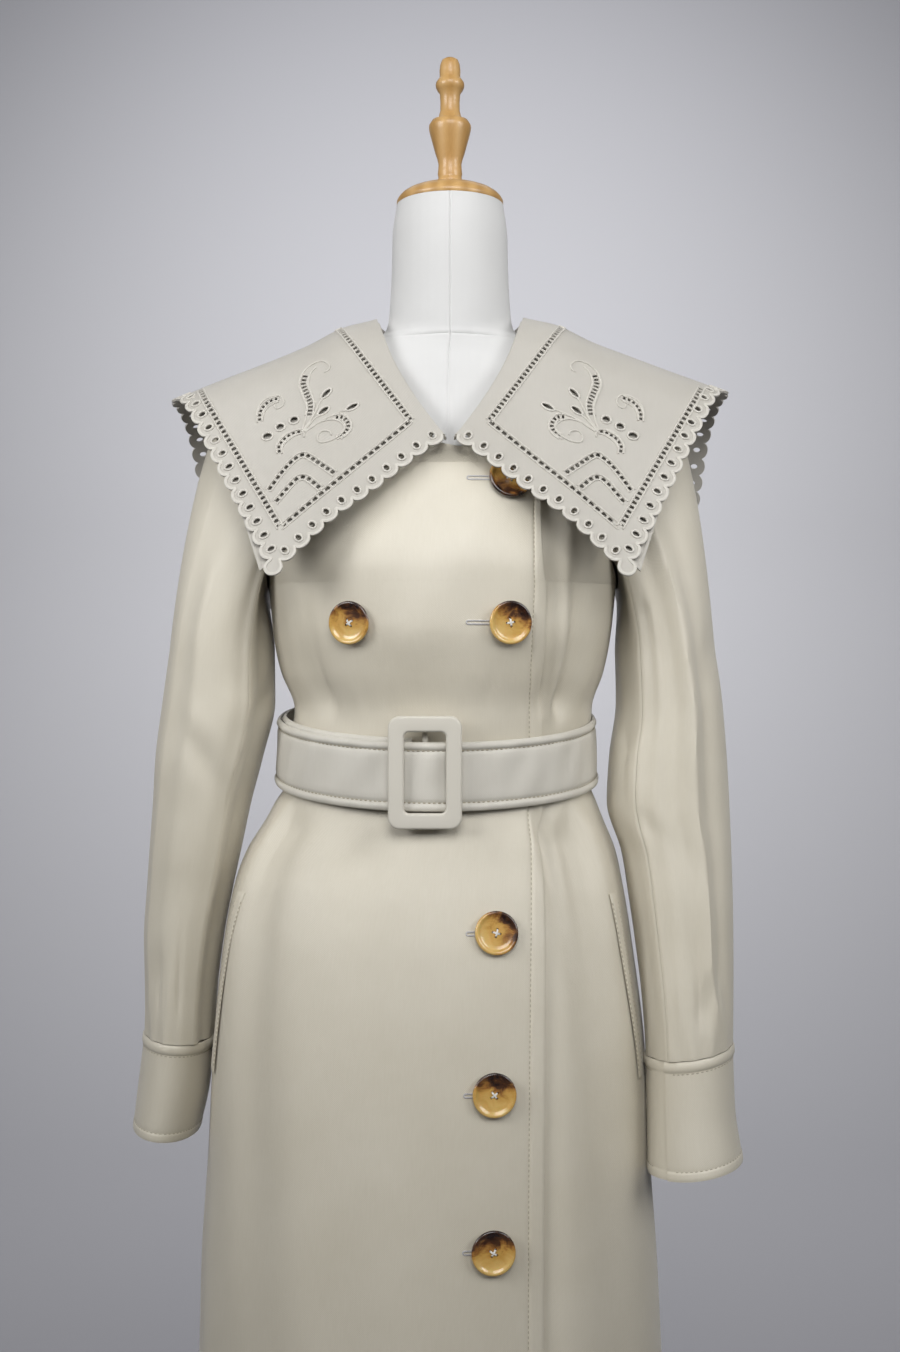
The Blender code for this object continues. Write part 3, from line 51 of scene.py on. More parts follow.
LEFT, RIGHT = 1, -1       # the wearer's left is at +X
STEP = 1e-4               # step for surface derivatives
SHARP_ANGLE = radians(50.0)  # faces that meet at more than this have a sharp edge
UP = np.array((0.0, 0.0, 1.0))


def table(row_type, *rows):
    """Rows of values under the named columns of a row type."""
    return [row_type(*row) for row in rows]


# ---------------------------------------------------------------- body tables
BodyRow = namedtuple("BodyRow", "z half_width front back centre_x square")

COAT_ROWS = table(BodyRow,
    (0.280, 0.1990, 0.1600, 0.1620, -0.0145, 2.20),
    (0.420, 0.1935, 0.1510, 0.1540, -0.0146, 2.20),
    (0.547, 0.1886, 0.1430, 0.1460, -0.0148, 2.20),
    (0.630, 0.1860, 0.1380, 0.1420, -0.0156, 2.20),
    (0.711, 0.1810, 0.1330, 0.1380, -0.0160, 2.20),
    (0.797, 0.1767, 0.1270, 0.1340, -0.0168, 2.20),
    (0.888, 0.1660, 0.1170, 0.1260, -0.0182, 2.20),
    (0.929, 0.1587, 0.1090, 0.1190, -0.0176, 2.20),
    (0.957, 0.1510, 0.1020, 0.1120, -0.0156, 2.15),
    (0.985, 0.1370, 0.0965, 0.1030, -0.0125, 2.10),
    (0.998, 0.1310, 0.0940, 0.0990, -0.0115, 2.10),
    (1.015, 0.1230, 0.0925, 0.0945, -0.0094, 2.10),
    (1.043, 0.1225, 0.0915, 0.0920, -0.0090, 2.10),
    (1.073, 0.1214, 0.0935, 0.0918, -0.0055, 2.10),
    (1.103, 0.1310, 0.1005, 0.0950, -0.0062, 2.15),
    (1.140, 0.1385, 0.1080, 0.0980, -0.0060, 2.20),
    (1.180, 0.1430, 0.1090, 0.0980, -0.0060, 2.20),
    (1.230, 0.1480, 0.0990, 0.0915, -0.0040, 2.10),
    (1.280, 0.1560, 0.0830, 0.0800, -0.0020, 1.90),
    (1.320, 0.1640, 0.0660, 0.0690, -0.0010, 1.75),
    (1.344, 0.1600, 0.0590, 0.0600, -0.0010, 1.65),
    (1.352, 0.1410, 0.0565, 0.0575, -0.0010, 1.62),
    (1.360, 0.1215, 0.0545, 0.0550, -0.0010, 1.60),
    (1.372, 0.0925, 0.0525, 0.0520, 0.0000, 1.62),
    (1.379, 0.0745, 0.0515, 0.0500, 0.0000, 1.75))

FORM_ROWS = table(BodyRow,
    (0.800, 0.1300, 0.0900, 0.1000, -0.0150, 2.20),
    (0.812, 0.1420, 0.0980, 0.1090, -0.0155, 2.20),
    (0.870, 0.1480, 0.1010, 0.1120, -0.0165, 2.20),
    (0.930, 0.1380, 0.0940, 0.1020, -0.0155, 2.20),
    (0.985, 0.1180, 0.0850, 0.0890, -0.0115, 2.10),
    (1.043, 0.1120, 0.0800, 0.0820, -0.0085, 2.10),
    (1.080, 0.1130, 0.0850, 0.0840, -0.0060, 2.10),
    (1.120, 0.1240, 0.0950, 0.0900, -0.0060, 2.15),
    (1.160, 0.1320, 0.1000, 0.0920, -0.0060, 2.20),
    (1.200, 0.1360, 0.0960, 0.0880, -0.0050, 2.15),
    (1.240, 0.1410, 0.0860, 0.0830, -0.0035, 2.05),
    (1.280, 0.1480, 0.0730, 0.0740, -0.0020, 1.90),
    (1.315, 0.1550, 0.0610, 0.0640, -0.0010, 1.80),
    (1.3410, 0.1575, 0.0550, 0.0560, -0.0010, 1.66),
    (1.3490, 0.1400, 0.0530, 0.0540, -0.0010, 1.62),
    (1.3570, 0.1180, 0.0500, 0.0510, -0.0010, 1.60),
    (1.3690, 0.0830, 0.0475, 0.0485, 0.0000, 1.62),
    (1.3800, 0.0535, 0.0465, 0.0460, 0.0000, 1.85),
    (1.3920, 0.0500, 0.0465, 0.0455, 0.0000, 2.00),
    (1.4330, 0.0476, 0.0470, 0.0460, 0.0000, 2.00),
    (1.4600, 0.0470, 0.0465, 0.0470, 0.0000, 2.00),
    (1.4850, 0.0436, 0.0436, 0.0436, 0.0000, 2.00))

# Soft folds: they are deepest at start_z and fade out at end_z. Angles and spreads are in degrees.
Fold = namedtuple("Fold", "start_angle end_angle start_z end_z depth spread")
FOLD_RISE = 0.030                 # a fold reaches its depth this far from its start

FOLDS = table(Fold,
    (314, 318, 0.997, 0.600, -0.0080, 7.0), (329, 331, 1.005, 0.520, 0.0060, 8.0),
    (298, 301, 0.997, 0.700, 0.0030, 7.0), (320, 313, 1.060, 1.215, -0.0050, 6.0),
    (331, 326, 1.062, 1.180, 0.0030, 6.0), (218, 224, 1.005, 0.520, -0.0055, 7.0),
    (205, 208, 1.008, 0.600, 0.0040, 7.0), (251, 249, 0.985, 0.900, -0.0030, 6.0),
    (222, 216, 1.062, 1.190, -0.0040, 5.5), (236, 238, 1.060, 1.150, 0.0015, 7.0),
    (50, 46, 1.022, 0.480, -0.0070, 8.0), (72, 70, 1.026, 0.600, 0.0050, 8.0),
    (96, 94, 1.028, 0.430, -0.0060, 8.0), (120, 124, 1.026, 0.620, 0.0050, 8.0),
    (143, 147, 1.022, 0.500, -0.0070, 8.0), (55, 48, 1.084, 1.210, -0.0040, 7.0),
    (92, 90, 1.088, 1.170, -0.0035, 8.0), (128, 134, 1.084, 1.220, -0.0040, 7.0))

# Finer creases that only the cloth shells have.
CREASES = table(Fold,
    (226, 222, 1.060, 1.200, -0.0030, 2.8), (243, 243, 1.060, 1.110, -0.0010, 2.0),
    (255, 257, 1.060, 1.105, 0.0008, 2.4), (284, 287, 1.061, 1.120, -0.0009, 2.2),
    (308, 304, 1.058, 1.250, -0.0048, 2.8), (313, 308, 1.058, 1.270, 0.0046, 3.0),
    (319, 314, 1.058, 1.260, -0.0048, 3.2), (241, 243, 1.008, 0.950, -0.0014, 2.4),
    (262, 261, 1.006, 0.930, -0.0024, 3.0), (286, 288, 1.006, 0.940, 0.0010, 2.4),
    (305, 309, 1.012, 0.840, -0.0046, 2.8), (311, 317, 1.012, 0.760, 0.0034, 3.4),
    (321, 325, 1.012, 0.780, -0.0036, 3.0), (212, 214, 1.014, 0.840, -0.0034, 3.0),
    (62, 60, 1.030, 0.900, -0.0016, 2.8), (84, 82, 1.032, 0.920, 0.0016, 3.0),
    (108, 110, 1.032, 0.900, -0.0018, 2.8), (133, 137, 1.030, 0.930, 0.0016, 2.8),
    (70, 66, 1.082, 1.160, -0.0014, 2.6), (110, 114, 1.082, 1.170, -0.0014, 2.6))

LAP_CORNER_Z = 1.264              # the lap's edge ends here, and its top edge runs to the neck
UNDERLAP_TOP_Z = 1.285            # above this the under front rises to the coat's own surface
UNDERLAP_DEPTH = 0.0035           # how far the under front lies inside the coat's surface
SEAM_GROOVE = 0.0009              # how far a panel's edge is drawn in at its side seam
UNDERARM_Z = 1.172
SHOULDER_TIP_Z = 1.344
ARMHOLE_MIDDLE_Z = (UNDERARM_Z + SHOULDER_TIP_Z) / 2.0
ARMHOLE_HALF_HEIGHT = (SHOULDER_TIP_Z - UNDERARM_Z) / 2.0
ARMHOLE_ANGLE = radians(35.0)     # how far the armhole reaches to the front and back
UNDER_SLEEVE_TURN = radians(51.68)  # from the sleeve's inner line to its two seams
NECK_DIP = 0.0075                 # the back's neckline is this much lower at its middle

# The inner edges of the fronts: x of the edge at each height.
EdgeRow = namedtuple("EdgeRow", "z x")

LAP_EDGE = table(EdgeRow,
    (0.280, 0.0690), (1.080, 0.0720), (1.225, 0.0770), (1.264, 0.0780), (1.2795, -0.0110), (1.379, -0.0665))
UNDERLAP_EDGE = table(EdgeRow,
    (0.280, -0.0600), (1.225, -0.0560), (1.264, -0.0520), (1.2795, 0.0160), (1.379, 0.0665))

# ---------------------------------------------------------------- sleeve tables
# outer and inner are distances from the middle of the coat.
SleeveRow = namedtuple("SleeveRow", "z outer inner centre_y half_depth")

SLEEVE_ROWS = {
    RIGHT: table(SleeveRow,
        (0.8080, 0.2502, 0.1950, 0.0100, 0.0555),
        (0.8340, 0.2502, 0.1934, 0.0100, 0.0560),
        (0.8880, 0.2509, 0.1866, 0.0080, 0.0555),
        (0.9290, 0.2481, 0.1785, 0.0060, 0.0550),
        (0.9570, 0.2460, 0.1722, 0.0040, 0.0555),
        (0.9980, 0.2427, 0.1632, 0.0020, 0.0560),
        (1.0350, 0.2403, 0.1533, 0.0000, 0.0570),
        (1.0800, 0.2345, 0.1435, 0.0000, 0.0580),
        (1.1200, 0.2288, 0.1440, 0.0000, 0.0590)),
    LEFT: table(SleeveRow,
        (0.8080, 0.2231, 0.1552, -0.0440, 0.0475),
        (0.8340, 0.2243, 0.1540, -0.0400, 0.0480),
        (0.8880, 0.2262, 0.1485, -0.0300, 0.0480),
        (0.9240, 0.2268, 0.1438, -0.0240, 0.0490),
        (0.9570, 0.2268, 0.1390, -0.0180, 0.0500),
        (0.9980, 0.2262, 0.1275, -0.0120, 0.0520),
        (1.0350, 0.2248, 0.1300, -0.0070, 0.0550),
        (1.0800, 0.2218, 0.1361, -0.0020, 0.0580),
        (1.1200, 0.2165, 0.1355, 0.0000, 0.0590)),
}
SLEEVE_JOIN_Z = 1.120             # above this the sleeve bends in to the armhole
SLEEVE_CAP_SPAN = 0.2             # the sleeve's parameter from the join to the armhole
SLEEVE_CENTRE_X = 0.2             # a place inside the sleeve that its gathers point away from

# Soft creases down each sleeve; angles as round the body.
SLEEVE_FOLDS = {
    RIGHT: table(Fold,
        (292, 300, 1.100, 0.830, 0.0022, 13.0), (232, 238, 1.150, 0.900, -0.0035, 12.0),
        (100, 110, 1.120, 0.860, -0.0030, 14.0)),
    LEFT: table(Fold,
        (283, 288, 1.150, 0.830, 0.0040, 14.0), (262, 262, 1.150, 0.880, -0.0030, 11.0),
        (306, 304, 1.120, 0.860, -0.0035, 12.0), (80, 70, 1.120, 0.860, -0.0030, 14.0)),
}

CuffRow = namedtuple("CuffRow", "level outer inner centre_y half_depth")

CUFF_ROWS = {
    RIGHT: table(CuffRow,
        (0.0, 0.2605, 0.2075, 0.0140, 0.0540),
        (0.45, 0.2560, 0.1995, 0.0120, 0.0545),
        (1.0, 0.2502, 0.1950, 0.0100, 0.0545)),
    LEFT: table(CuffRow,
        (0.0, 0.2284, 0.1548, -0.0600, 0.0450),
        (0.45, 0.2236, 0.1552, -0.0520, 0.0455),
        (1.0, 0.2231, 0.1552, -0.0440, 0.0465)),
}
# The cuff's outer layer ends at slit_angle and goes round from there in the direction of turn.
CuffEnd = namedtuple("CuffEnd", "bottom_z top_z tilt slit_angle turn")

CUFF_ENDS = {
    RIGHT: CuffEnd(0.7290, 0.8075, 0.0035, 68.0, -1),
    LEFT: CuffEnd(0.7190, 0.8065, 0.0060, 226.0, 1),
}
CUFF_BAND = 0.0085                # height of the raised band at the cuff's top
CUFF_BAND_RAISE = 0.0014
CUFF_HEM = 0.0070                 # from the cuff's lower edge to its stitching
CUFF_OVERLAP = radians(16.0)
GATHERS = 14                      # soft gathers where the sleeve meets the cuff
GATHER_DEPTH = 0.0007
GATHER_FADE = 0.030               # the gathers end this far above the cuff
TILT_FADE = 0.060                 # the tilt of the cuff's top edge ends this far above it

# ---------------------------------------------------------------- collar sizes
RIDGE_TOP = 1.4072                # height of the collar's ridge at the centre, if it had no neck hole
RIDGE_SLOPE = {RIGHT: 0.4127, LEFT: 0.3807}
RIDGE_SMOOTHING = 0.025
ROLL_RISE, ROLL_RISE_X, ROLL_RISE_SPREAD = 0.0040, 0.088, 0.020
CollarSide = namedtuple("CollarSide", "radius lean")

COLLAR_SIDES = {
    "front": CollarSide(0.058, radians(25.0)),
    "back": CollarSide(0.070, radians(14.0)),
}
CUTWORK_WALL = 0.0012
UNDER_COLLAR_WALL = 0.0012
COLLAR_AIR = 0.0022               # air between the two collars, away from the roll line

# Corners of the collar's edge on the wearer's right, in the view along the body: x and height.
CollarCorner = namedtuple("CollarCorner", "name face x z")

COLLAR_FRONT_EDGE = CollarCorner("front_edge", "front", 0.0058, 1.2838)
COLLAR_POINT = CollarCorner("point", "front", 0.1310, 1.1823)
COLLAR_SHOULDER_X = 0.2240
COLLAR_BACK_CORNER = CollarCorner("back_corner", "back", 0.2035, 1.1850)
NECK_SIDE_X = 0.0600              # half the neck opening at the shoulder ridge
NECK_BACK_REACH = 0.0624          # how far behind the ridge the neck opening goes
NECK_FRONT_X = 0.0040             # half the gap between the collar's fronts

SCALLOP_PITCH = 0.0141
SCALLOP_DEPTH = 0.0055
CORNER_LOBE_RADIUS = 0.0072
CORNER_TRIM = 0.0065              # the scallops start this far from a corner's lobe
EYELET_INSET = 0.0036             # from the scallops' valleys to the middle of an eyelet
EYELET_LENGTH, EYELET_WIDTH = 0.0060, 0.0044

# Eyelets of the scroll work on one side of the collar, in the same view; lean is in degrees.
MotifEyelet = namedtuple("MotifEyelet", "x z length width lean")

MOTIF_EYELETS = table(MotifEyelet,
    (0.1210, 1.2985, 0.0060, 0.0066, 0.0),
    (0.1318, 1.2930, 0.0060, 0.0066, 0.0),
    (0.1415, 1.2856, 0.0060, 0.0076, 0.0),
    (0.0965, 1.3200, 0.0098, 0.0042, -38.0),
    (0.0980, 1.3054, 0.0098, 0.0046, -48.0),
    (0.0757, 1.3081, 0.0104, 0.0040, -58.0))

# Ladders of small slots: lines in the same view. width is across the slots.
Ladder = namedtuple("Ladder", "name face points pitch slot width")

LADDERS = table(Ladder,
    ("neck", "front", ((0.0905, 1.3820), (0.0850, 1.3729), (0.0299, 1.2954)), 0.0044, 0.0027, 0.0036),
    ("lower", "front", ((0.0299, 1.2954), (0.1275, 1.2112)), 0.0063, 0.0044, 0.0033),
    ("side", "front", ((0.1275, 1.2112), (0.2005, 1.3292)), 0.0049, 0.0030, 0.0037),
    ("stem", "front", ((0.1095, 1.3015), (0.1084, 1.3110), (0.1118, 1.3200), (0.1150, 1.3290),
        (0.1135, 1.3370)), 0.0034, 0.0020, 0.0044),
    ("scroll", "front", ((0.1487, 1.2985), (0.1486, 1.3060), (0.1455, 1.3120), (0.1410, 1.3155),
        (0.1345, 1.3178)), 0.0038, 0.0024, 0.0026),
    ("crescent", "front", ((0.1310, 1.2710), (0.1317, 1.2772), (0.1272, 1.2836), (0.1205, 1.2876),
        (0.1150, 1.2886)), 0.0040, 0.0026, 0.0025),
    ("spiral", "front", ((0.0890, 1.2996), (0.0825, 1.2992), (0.0783, 1.2940), (0.0795, 1.2880),
        (0.0850, 1.2830)), 0.0034, 0.0020, 0.0034),
    ("outer_arch", "front", ((0.1383, 1.2408), (0.1276, 1.2563), (0.1185, 1.2660), (0.1108, 1.2689),
        (0.0989, 1.2614), (0.0871, 1.2531)), 0.0052, 0.0036, 0.0032),
    ("inner_arch", "front", ((0.1325, 1.2311), (0.1212, 1.2449), (0.1145, 1.2506), (0.1078, 1.2497),
        (0.0978, 1.2415)), 0.0052, 0.0036, 0.0032))

# Fine corded lines of the scroll work, in the same view.
CordLine = namedtuple("CordLine", "name points")

SCROLL_LINES = table(CordLine,
    ("stem_outer", ((0.1142, 1.2900), (0.1120, 1.2990), (0.1112, 1.3075), (0.1150, 1.3182), (0.1186, 1.3279),
        (0.1167, 1.3373), (0.1096, 1.3451), (0.1008, 1.3481), (0.0950, 1.3445), (0.0953, 1.3402),
        (0.0985, 1.3385))),
    ("stem_inner", ((0.1138, 1.2889), (0.1072, 1.2990), (0.1058, 1.3110), (0.1086, 1.3215), (0.1112, 1.3300),
        (0.1092, 1.3385), (0.1050, 1.3430))),
    ("scroll_outer", ((0.1505, 1.2975), (0.1514, 1.3062), (0.1482, 1.3142), (0.1415, 1.3188),
        (0.1344, 1.3200), (0.1302, 1.3154), (0.1317, 1.3102), (0.1358, 1.3088), (0.1376, 1.3116))),
    ("scroll_inner", ((0.1464, 1.2985), (0.1460, 1.3045), (0.1432, 1.3096), (0.1392, 1.3128),
        (0.1345, 1.3146))),
    ("crescent_outer", ((0.1330, 1.2706), (0.1341, 1.2777), (0.1292, 1.2856), (0.1219, 1.2896),
        (0.1146, 1.2900))),
    ("crescent_inner", ((0.1290, 1.2704), (0.1292, 1.2761), (0.1248, 1.2816), (0.1192, 1.2855),
        (0.1142, 1.2868))),
    ("spiral_line", ((0.1120, 1.2890), (0.1017, 1.2955), (0.0916, 1.2978), (0.0845, 1.2958),
        (0.0808, 1.2904), (0.0845, 1.2846), (0.0924, 1.2798), (0.0999, 1.2791), (0.1018, 1.2835),
        (0.0985, 1.2883), (0.0926, 1.2877), (0.0911, 1.2846))),
    ("spiral_outer", ((0.0916, 1.3005), (0.0885, 1.3018), (0.0820, 1.3016), (0.0764, 1.2950),
        (0.0775, 1.2876), (0.0860, 1.2812))),
    ("stalk_high", ((0.1138, 1.2889), (0.1063, 1.3006), (0.1016, 1.3115), (0.0992, 1.3155))),
    ("stalk_middle", ((0.1128, 1.2886), (0.1061, 1.2975), (0.1012, 1.3020))),
    ("stalk_low", ((0.1116, 1.2882), (0.0988, 1.2972), (0.0874, 1.3030), (0.0800, 1.3058))),
    ("tail", ((0.1146, 1.2896), (0.1123, 1.2867), (0.1126, 1.2836))))

# Plain corners of the under collar on the wearer's right, in the same view.
UNDER_FRONT_EDGE = CollarCorner("front_edge", "front", 0.0085, 1.2880)
UNDER_NOTCH = CollarCorner("notch", "front", 0.1345, 1.1865)
UNDER_POINT = CollarCorner("point", "front", 0.1425, 1.1795)
UNDER_SHOULDER_X = 0.2100
UNDER_BACK_CORNER = CollarCorner("back_corner", "back", 0.1890, 1.1990)

STAND_DROP = 0.0045               # height of the band inside the roll line
STAND_WALL = 0.0012

# ---------------------------------------------------------------- belt and buckle
BELT_RING_Z = 1.043               # the belt follows the waist at this height
BELT_WALL = 0.0022
BELT_HALF_HEIGHT = 0.0262
BELT_BAND = 0.0066                # from the belt's edge to its stitching
BELT_Z = 1.0410
BELT_DIP = 0.0175                 # the front hangs this much below the sides
BELT_FLARE = 0.0022               # the lower edge stands out more than the upper one
BELT_START_ANGLE = 261.5
BELT_TRAVEL = 482.0
INNER_END_RISE = 0.0030           # the first turn peeks out above the second
INNER_END_FADE = 60.0             # degrees of travel before and while that rise fades

# travel is the angle along the belt from its fixed end; air is between the coat and the belt.
BeltRow = namedtuple("BeltRow", "travel air")

BELT_ROWS = table(BeltRow,
    (0, 0.0020), (90, 0.0022), (180, 0.0038), (270, 0.0028), (325, 0.0038), (345, 0.0068), (356, 0.0084),
    (368, 0.0084), (384, 0.0070), (400, 0.0064), (440, 0.0066), (482, 0.0078))

BUCKLE_X, BUCKLE_Z = -0.0189, 1.0271
BUCKLE_BACK_Y, BUCKLE_THICKNESS = -0.1041, 0.0052
BUCKLE_WIDTH, BUCKLE_HEIGHT, BUCKLE_RADIUS = 0.0559, 0.0854, 0.0090
WINDOW_WIDTH, WINDOW_HEIGHT, WINDOW_RADIUS = 0.0317, 0.0612, 0.0040
BUCKLE_ROUNDING = 0.0020
CORNER_STEPS = 10                 # steps round a corner of the frame
BAR_Y, BAR_REACH = -0.0974, 0.0376  # the bar the belt is sewn round, and half its height
POST_Y, POST_REACH = -0.0970, 0.0350  # its two short posts to the frame

# ---------------------------------------------------------------- pockets and buttons
PocketLine = namedtuple("PocketLine", "top_angle top_z bottom_angle bottom_z")

POCKET_LINES = {
    RIGHT: PocketLine(206.0, 0.930, 195.0, 0.785),
    LEFT: PocketLine(331.0, 0.930, 337.0, 0.785),
}
POCKET_WIDTH = 0.0150

# turn is the button's turn about its own axis, in degrees; hole_reach is how far its buttonhole reaches.
ButtonPlace = namedtuple("ButtonPlace", "name x z turn hole_reach")

BUTTONS = table(ButtonPlace,
    ("button_1", 0.0456, 1.2511, 150.0, 0.0325),
    ("button_2", 0.0450, 1.1405, -35.0, 0.0325),
    ("button_3", -0.0755, 1.1405, -12.0, 0.0),
    ("button_4", 0.0344, 0.9066, -60.0, 0.0222),
    ("button_5", 0.0325, 0.7890, -8.0, 0.0222),
    ("button_6", 0.0316, 0.6751, 14.0, 0.0222))
BUTTON_AIR = 0.0008               # thread shank between the button and the cloth
BUTTON_HOLE_SPACING = 0.0021      # from the button's centre to each hole, along x and along y
BUTTON_HOLE_RADIUS = 0.00095
BUTTON_HOLE_FLOOR = 0.0002        # height of a hole's closed back
BUTTON_RADIUS = 0.0166            # at the widest, for the pattern on its face
BUTTON_SIDES, BUTTON_HOLE_SIDES = 56, 12
THREAD_WIDTH, THREAD_HEIGHT, THREAD_SHIFT = 0.00030, 0.00028, 0.00042
BUTTONHOLE_HALF = 0.0013          # half the width of a corded loop
BUTTONHOLE_CORD_WIDTH, BUTTONHOLE_CORD_HEIGHT = 0.00065, 0.00050
ProfileRow = namedtuple("ProfileRow", "radius height")

BUTTON_PROFILE = table(ProfileRow,
    (0.0112, 0.0000), (0.0145, 0.0004), (0.0160, 0.0014), (0.0166, 0.0026), (0.0164, 0.0035),
    (0.0157, 0.0041), (0.0148, 0.0042), (0.0138, 0.0038), (0.0128, 0.0031), (0.0118, 0.0027),
    (0.0090, 0.0025), (0.0060, 0.0024))

# ---------------------------------------------------------------- stand
CAP_PROFILE = table(ProfileRow,
    (0.0432, 0.0000), (0.0437, 0.0014), (0.0436, 0.0032), (0.0422, 0.0056), (0.0400, 0.0080),
    (0.0362, 0.0106), (0.0310, 0.0128), (0.0250, 0.0146), (0.0190, 0.0158), (0.0110, 0.0165))
FINIAL_PROFILE = table(ProfileRow,
    (0.0100, 0.0000), (0.0106, 0.0018), (0.0104, 0.0040), (0.0096, 0.0056), (0.0096, 0.0070),
    (0.0101, 0.0092), (0.0098, 0.0115), (0.0094, 0.0170), (0.0104, 0.0215), (0.0120, 0.0260),
    (0.0150, 0.0370), (0.0164, 0.0420), (0.0171, 0.0452), (0.0173, 0.0470), (0.0171, 0.0490),
    (0.0150, 0.0525), (0.0112, 0.0540), (0.0096, 0.0552), (0.0080, 0.0610), (0.0079, 0.0680),
    (0.0084, 0.0750), (0.0104, 0.0778), (0.0115, 0.0800), (0.0118, 0.0822), (0.0114, 0.0842),
    (0.0100, 0.0862), (0.0084, 0.0885), (0.0086, 0.0940), (0.0080, 0.0990), (0.0066, 0.1026),
    (0.0040, 0.1042))
BASE_PROFILE = table(ProfileRow,
    (0.1660, 0.0000), (0.1692, 0.0016), (0.1700, 0.0045), (0.1700, 0.0140), (0.1690, 0.0172),
    (0.1664, 0.0194), (0.1620, 0.0206), (0.0300, 0.0240))
POLE_PROFILE = table(ProfileRow,
    (0.0258, 0.0000), (0.0260, 0.0010), (0.0260, 0.0056), (0.0245, 0.0072), (0.0170, 0.0120),
    (0.0125, 0.0180), (0.0125, 0.7300), (0.0160, 0.7340), (0.0160, 0.7750))


# ================================================================ tables and surfaces
def lookup(rows, key, value, column):
    """Smooth values of a table's column where its key column has the given values."""
    keys = np.array([getattr(row, key) for row in rows], float)
    data = np.array([getattr(row, column) for row in rows], float)
    secants = np.diff(data) / np.diff(keys)
    slopes = np.empty_like(data)
    slopes[0], slopes[-1] = secants[0], secants[-1]
    before, after = secants[:-1], secants[1:]
    product = before * after
    total = np.where(product > 0.0, before + after, 1.0)
    slopes[1:-1] = np.where(product > 0.0, 2.0 * product / total, 0.0)
    value = np.clip(value, keys[0], keys[-1])
    index = np.clip(np.searchsorted(keys, value) - 1, 0, len(keys) - 2)
    width = keys[index + 1] - keys[index]
    part = (value - keys[index]) / width
    square, cube = part ** 2, part ** 3
    return ((2 * cube - 3 * square + 1) * data[index] + (cube - 2 * square + part) * slopes[index] * width
            + (3 * square - 2 * cube) * data[index + 1] + (cube - square) * slopes[index + 1] * width)


def linear_lookup(rows, key, value, column):
    """Values of a table's column on straight lines between its rows."""
    keys = [getattr(row, key) for row in rows]
    return np.interp(value, keys, [getattr(row, column) for row in rows])


def smoothstep(value):
    """A soft step from nothing at 0 to one at 1."""
    value = np.clip(value, 0.0, 1.0)
    return value * value * (3.0 - 2.0 * value)


def fade_out(value, start, length):
    """One up to a start, and softly down to nothing over a length."""
    return 1.0 - smoothstep((value - start) / length)


def bump(distance, spread):
    """A soft ridge of height one and a given half width."""
    return np.exp(-(distance / spread) ** 2)


def signed_power(value, exponent):
    """A power of a value's size, with the value's sign."""
    return np.abs(value) ** exponent * np.sign(value)


def points_of(x, y, z):
    """Points from arrays of their coordinates."""
    return np.stack(np.broadcast_arrays(x, y, z), axis=-1)


def unit(vectors):
    """Vectors brought to a length of one."""
    return vectors / np.maximum(np.linalg.norm(vectors, axis=-1, keepdims=True), 1e-12)


def turns(count, offset=0.0):
    """Evenly spaced angles once round, from a part of one step."""
    return 2.0 * pi * (np.arange(count) + offset) / count


def running_lengths(path):
    """Length along a path at each of its points."""
    return np.concatenate([[0.0], np.cumsum(np.linalg.norm(np.diff(path, axis=0), axis=-1))])


def sample_line(values, lengths, targets):
    """Values along a line at given lengths."""
    return np.stack([np.interp(targets, lengths, column) for column in values.T], axis=-1)


def normals_of(surface, u, v):
    """Outward directions of a surface whose u runs anticlockwise and whose v runs up."""
    along = surface(u + STEP, v) - surface(u - STEP, v)
    upward = surface(u, v + STEP) - surface(u, v - STEP)
    return unit(np.cross(along, upward))


def ring_point(rows, angle, z):
    """Points of a body table's outline at angles and heights."""
    columns = (lookup(rows, "z", z, column) for column in BodyRow._fields[1:])
    half_width, front, back, centre_x, square = columns
    depth = np.where(np.sin(angle) < 0.0, front, back)
    return points_of(centre_x + half_width * signed_power(np.cos(angle), 2.0 / square),
                     depth * signed_power(np.sin(angle), 2.0 / square), z)


def angle_apart(angle, middle):
    """Degrees from a middle angle, between -180 and 180."""
    return (np.degrees(angle) - middle + 180.0) % 360.0 - 180.0


def fold_height(folds, angle, z):
    """How far the folds push the cloth out at angles and heights."""
    total = np.zeros(np.broadcast(angle, z).shape)
    for fold in folds:
        part = (z - fold.start_z) / (fold.end_z - fold.start_z)
        fade = smoothstep(np.abs(z - fold.start_z) / FOLD_RISE) * (1.0 - smoothstep(part))
        apart = angle_apart(angle, fold.start_angle + part * (fold.end_angle - fold.start_angle))
        total += np.where((part > 0.0) & (part < 1.0), fold.depth * fade * bump(apart, fold.spread), 0.0)
    return total


def coat_surface(angle, z):
    """The coat's outer face with its folds, at angles and heights."""
    point = ring_point(COAT_ROWS, angle, z)
    centre = points_of(lookup(COAT_ROWS, "z", z, "centre_x"), 0.0, z)
    height = fold_height(FOLDS, angle, z) + fold_height(CREASES, angle, z)
    return point + unit(point - centre) * height[..., None]


def form_surface(angle, z):
    """The padded form's face at angles and heights."""
    return ring_point(FORM_ROWS, angle, z)


def armhole_z(level):
    """Heights at levels of the armhole, from -1 at the underarm to 1 at the shoulder's tip."""
    return ARMHOLE_MIDDLE_Z + level * ARMHOLE_HALF_HEIGHT


def armhole_reach(z):
    """Angle from the side to the armhole's edge; nothing outside the armhole."""
    level = (z - ARMHOLE_MIDDLE_Z) / ARMHOLE_HALF_HEIGHT
    return ARMHOLE_ANGLE * np.sqrt(np.maximum(0.0, 1.0 - level * level))


def side_limit(z):
    """How far a panel's edge stays away from the side line."""
    depth = lookup(COAT_ROWS, "z", z, "front")
    square = lookup(COAT_ROWS, "z", z, "square")
    return np.maximum(armhole_reach(z), np.arcsin((SEAM / 2.0 / depth) ** (square / 2.0)))


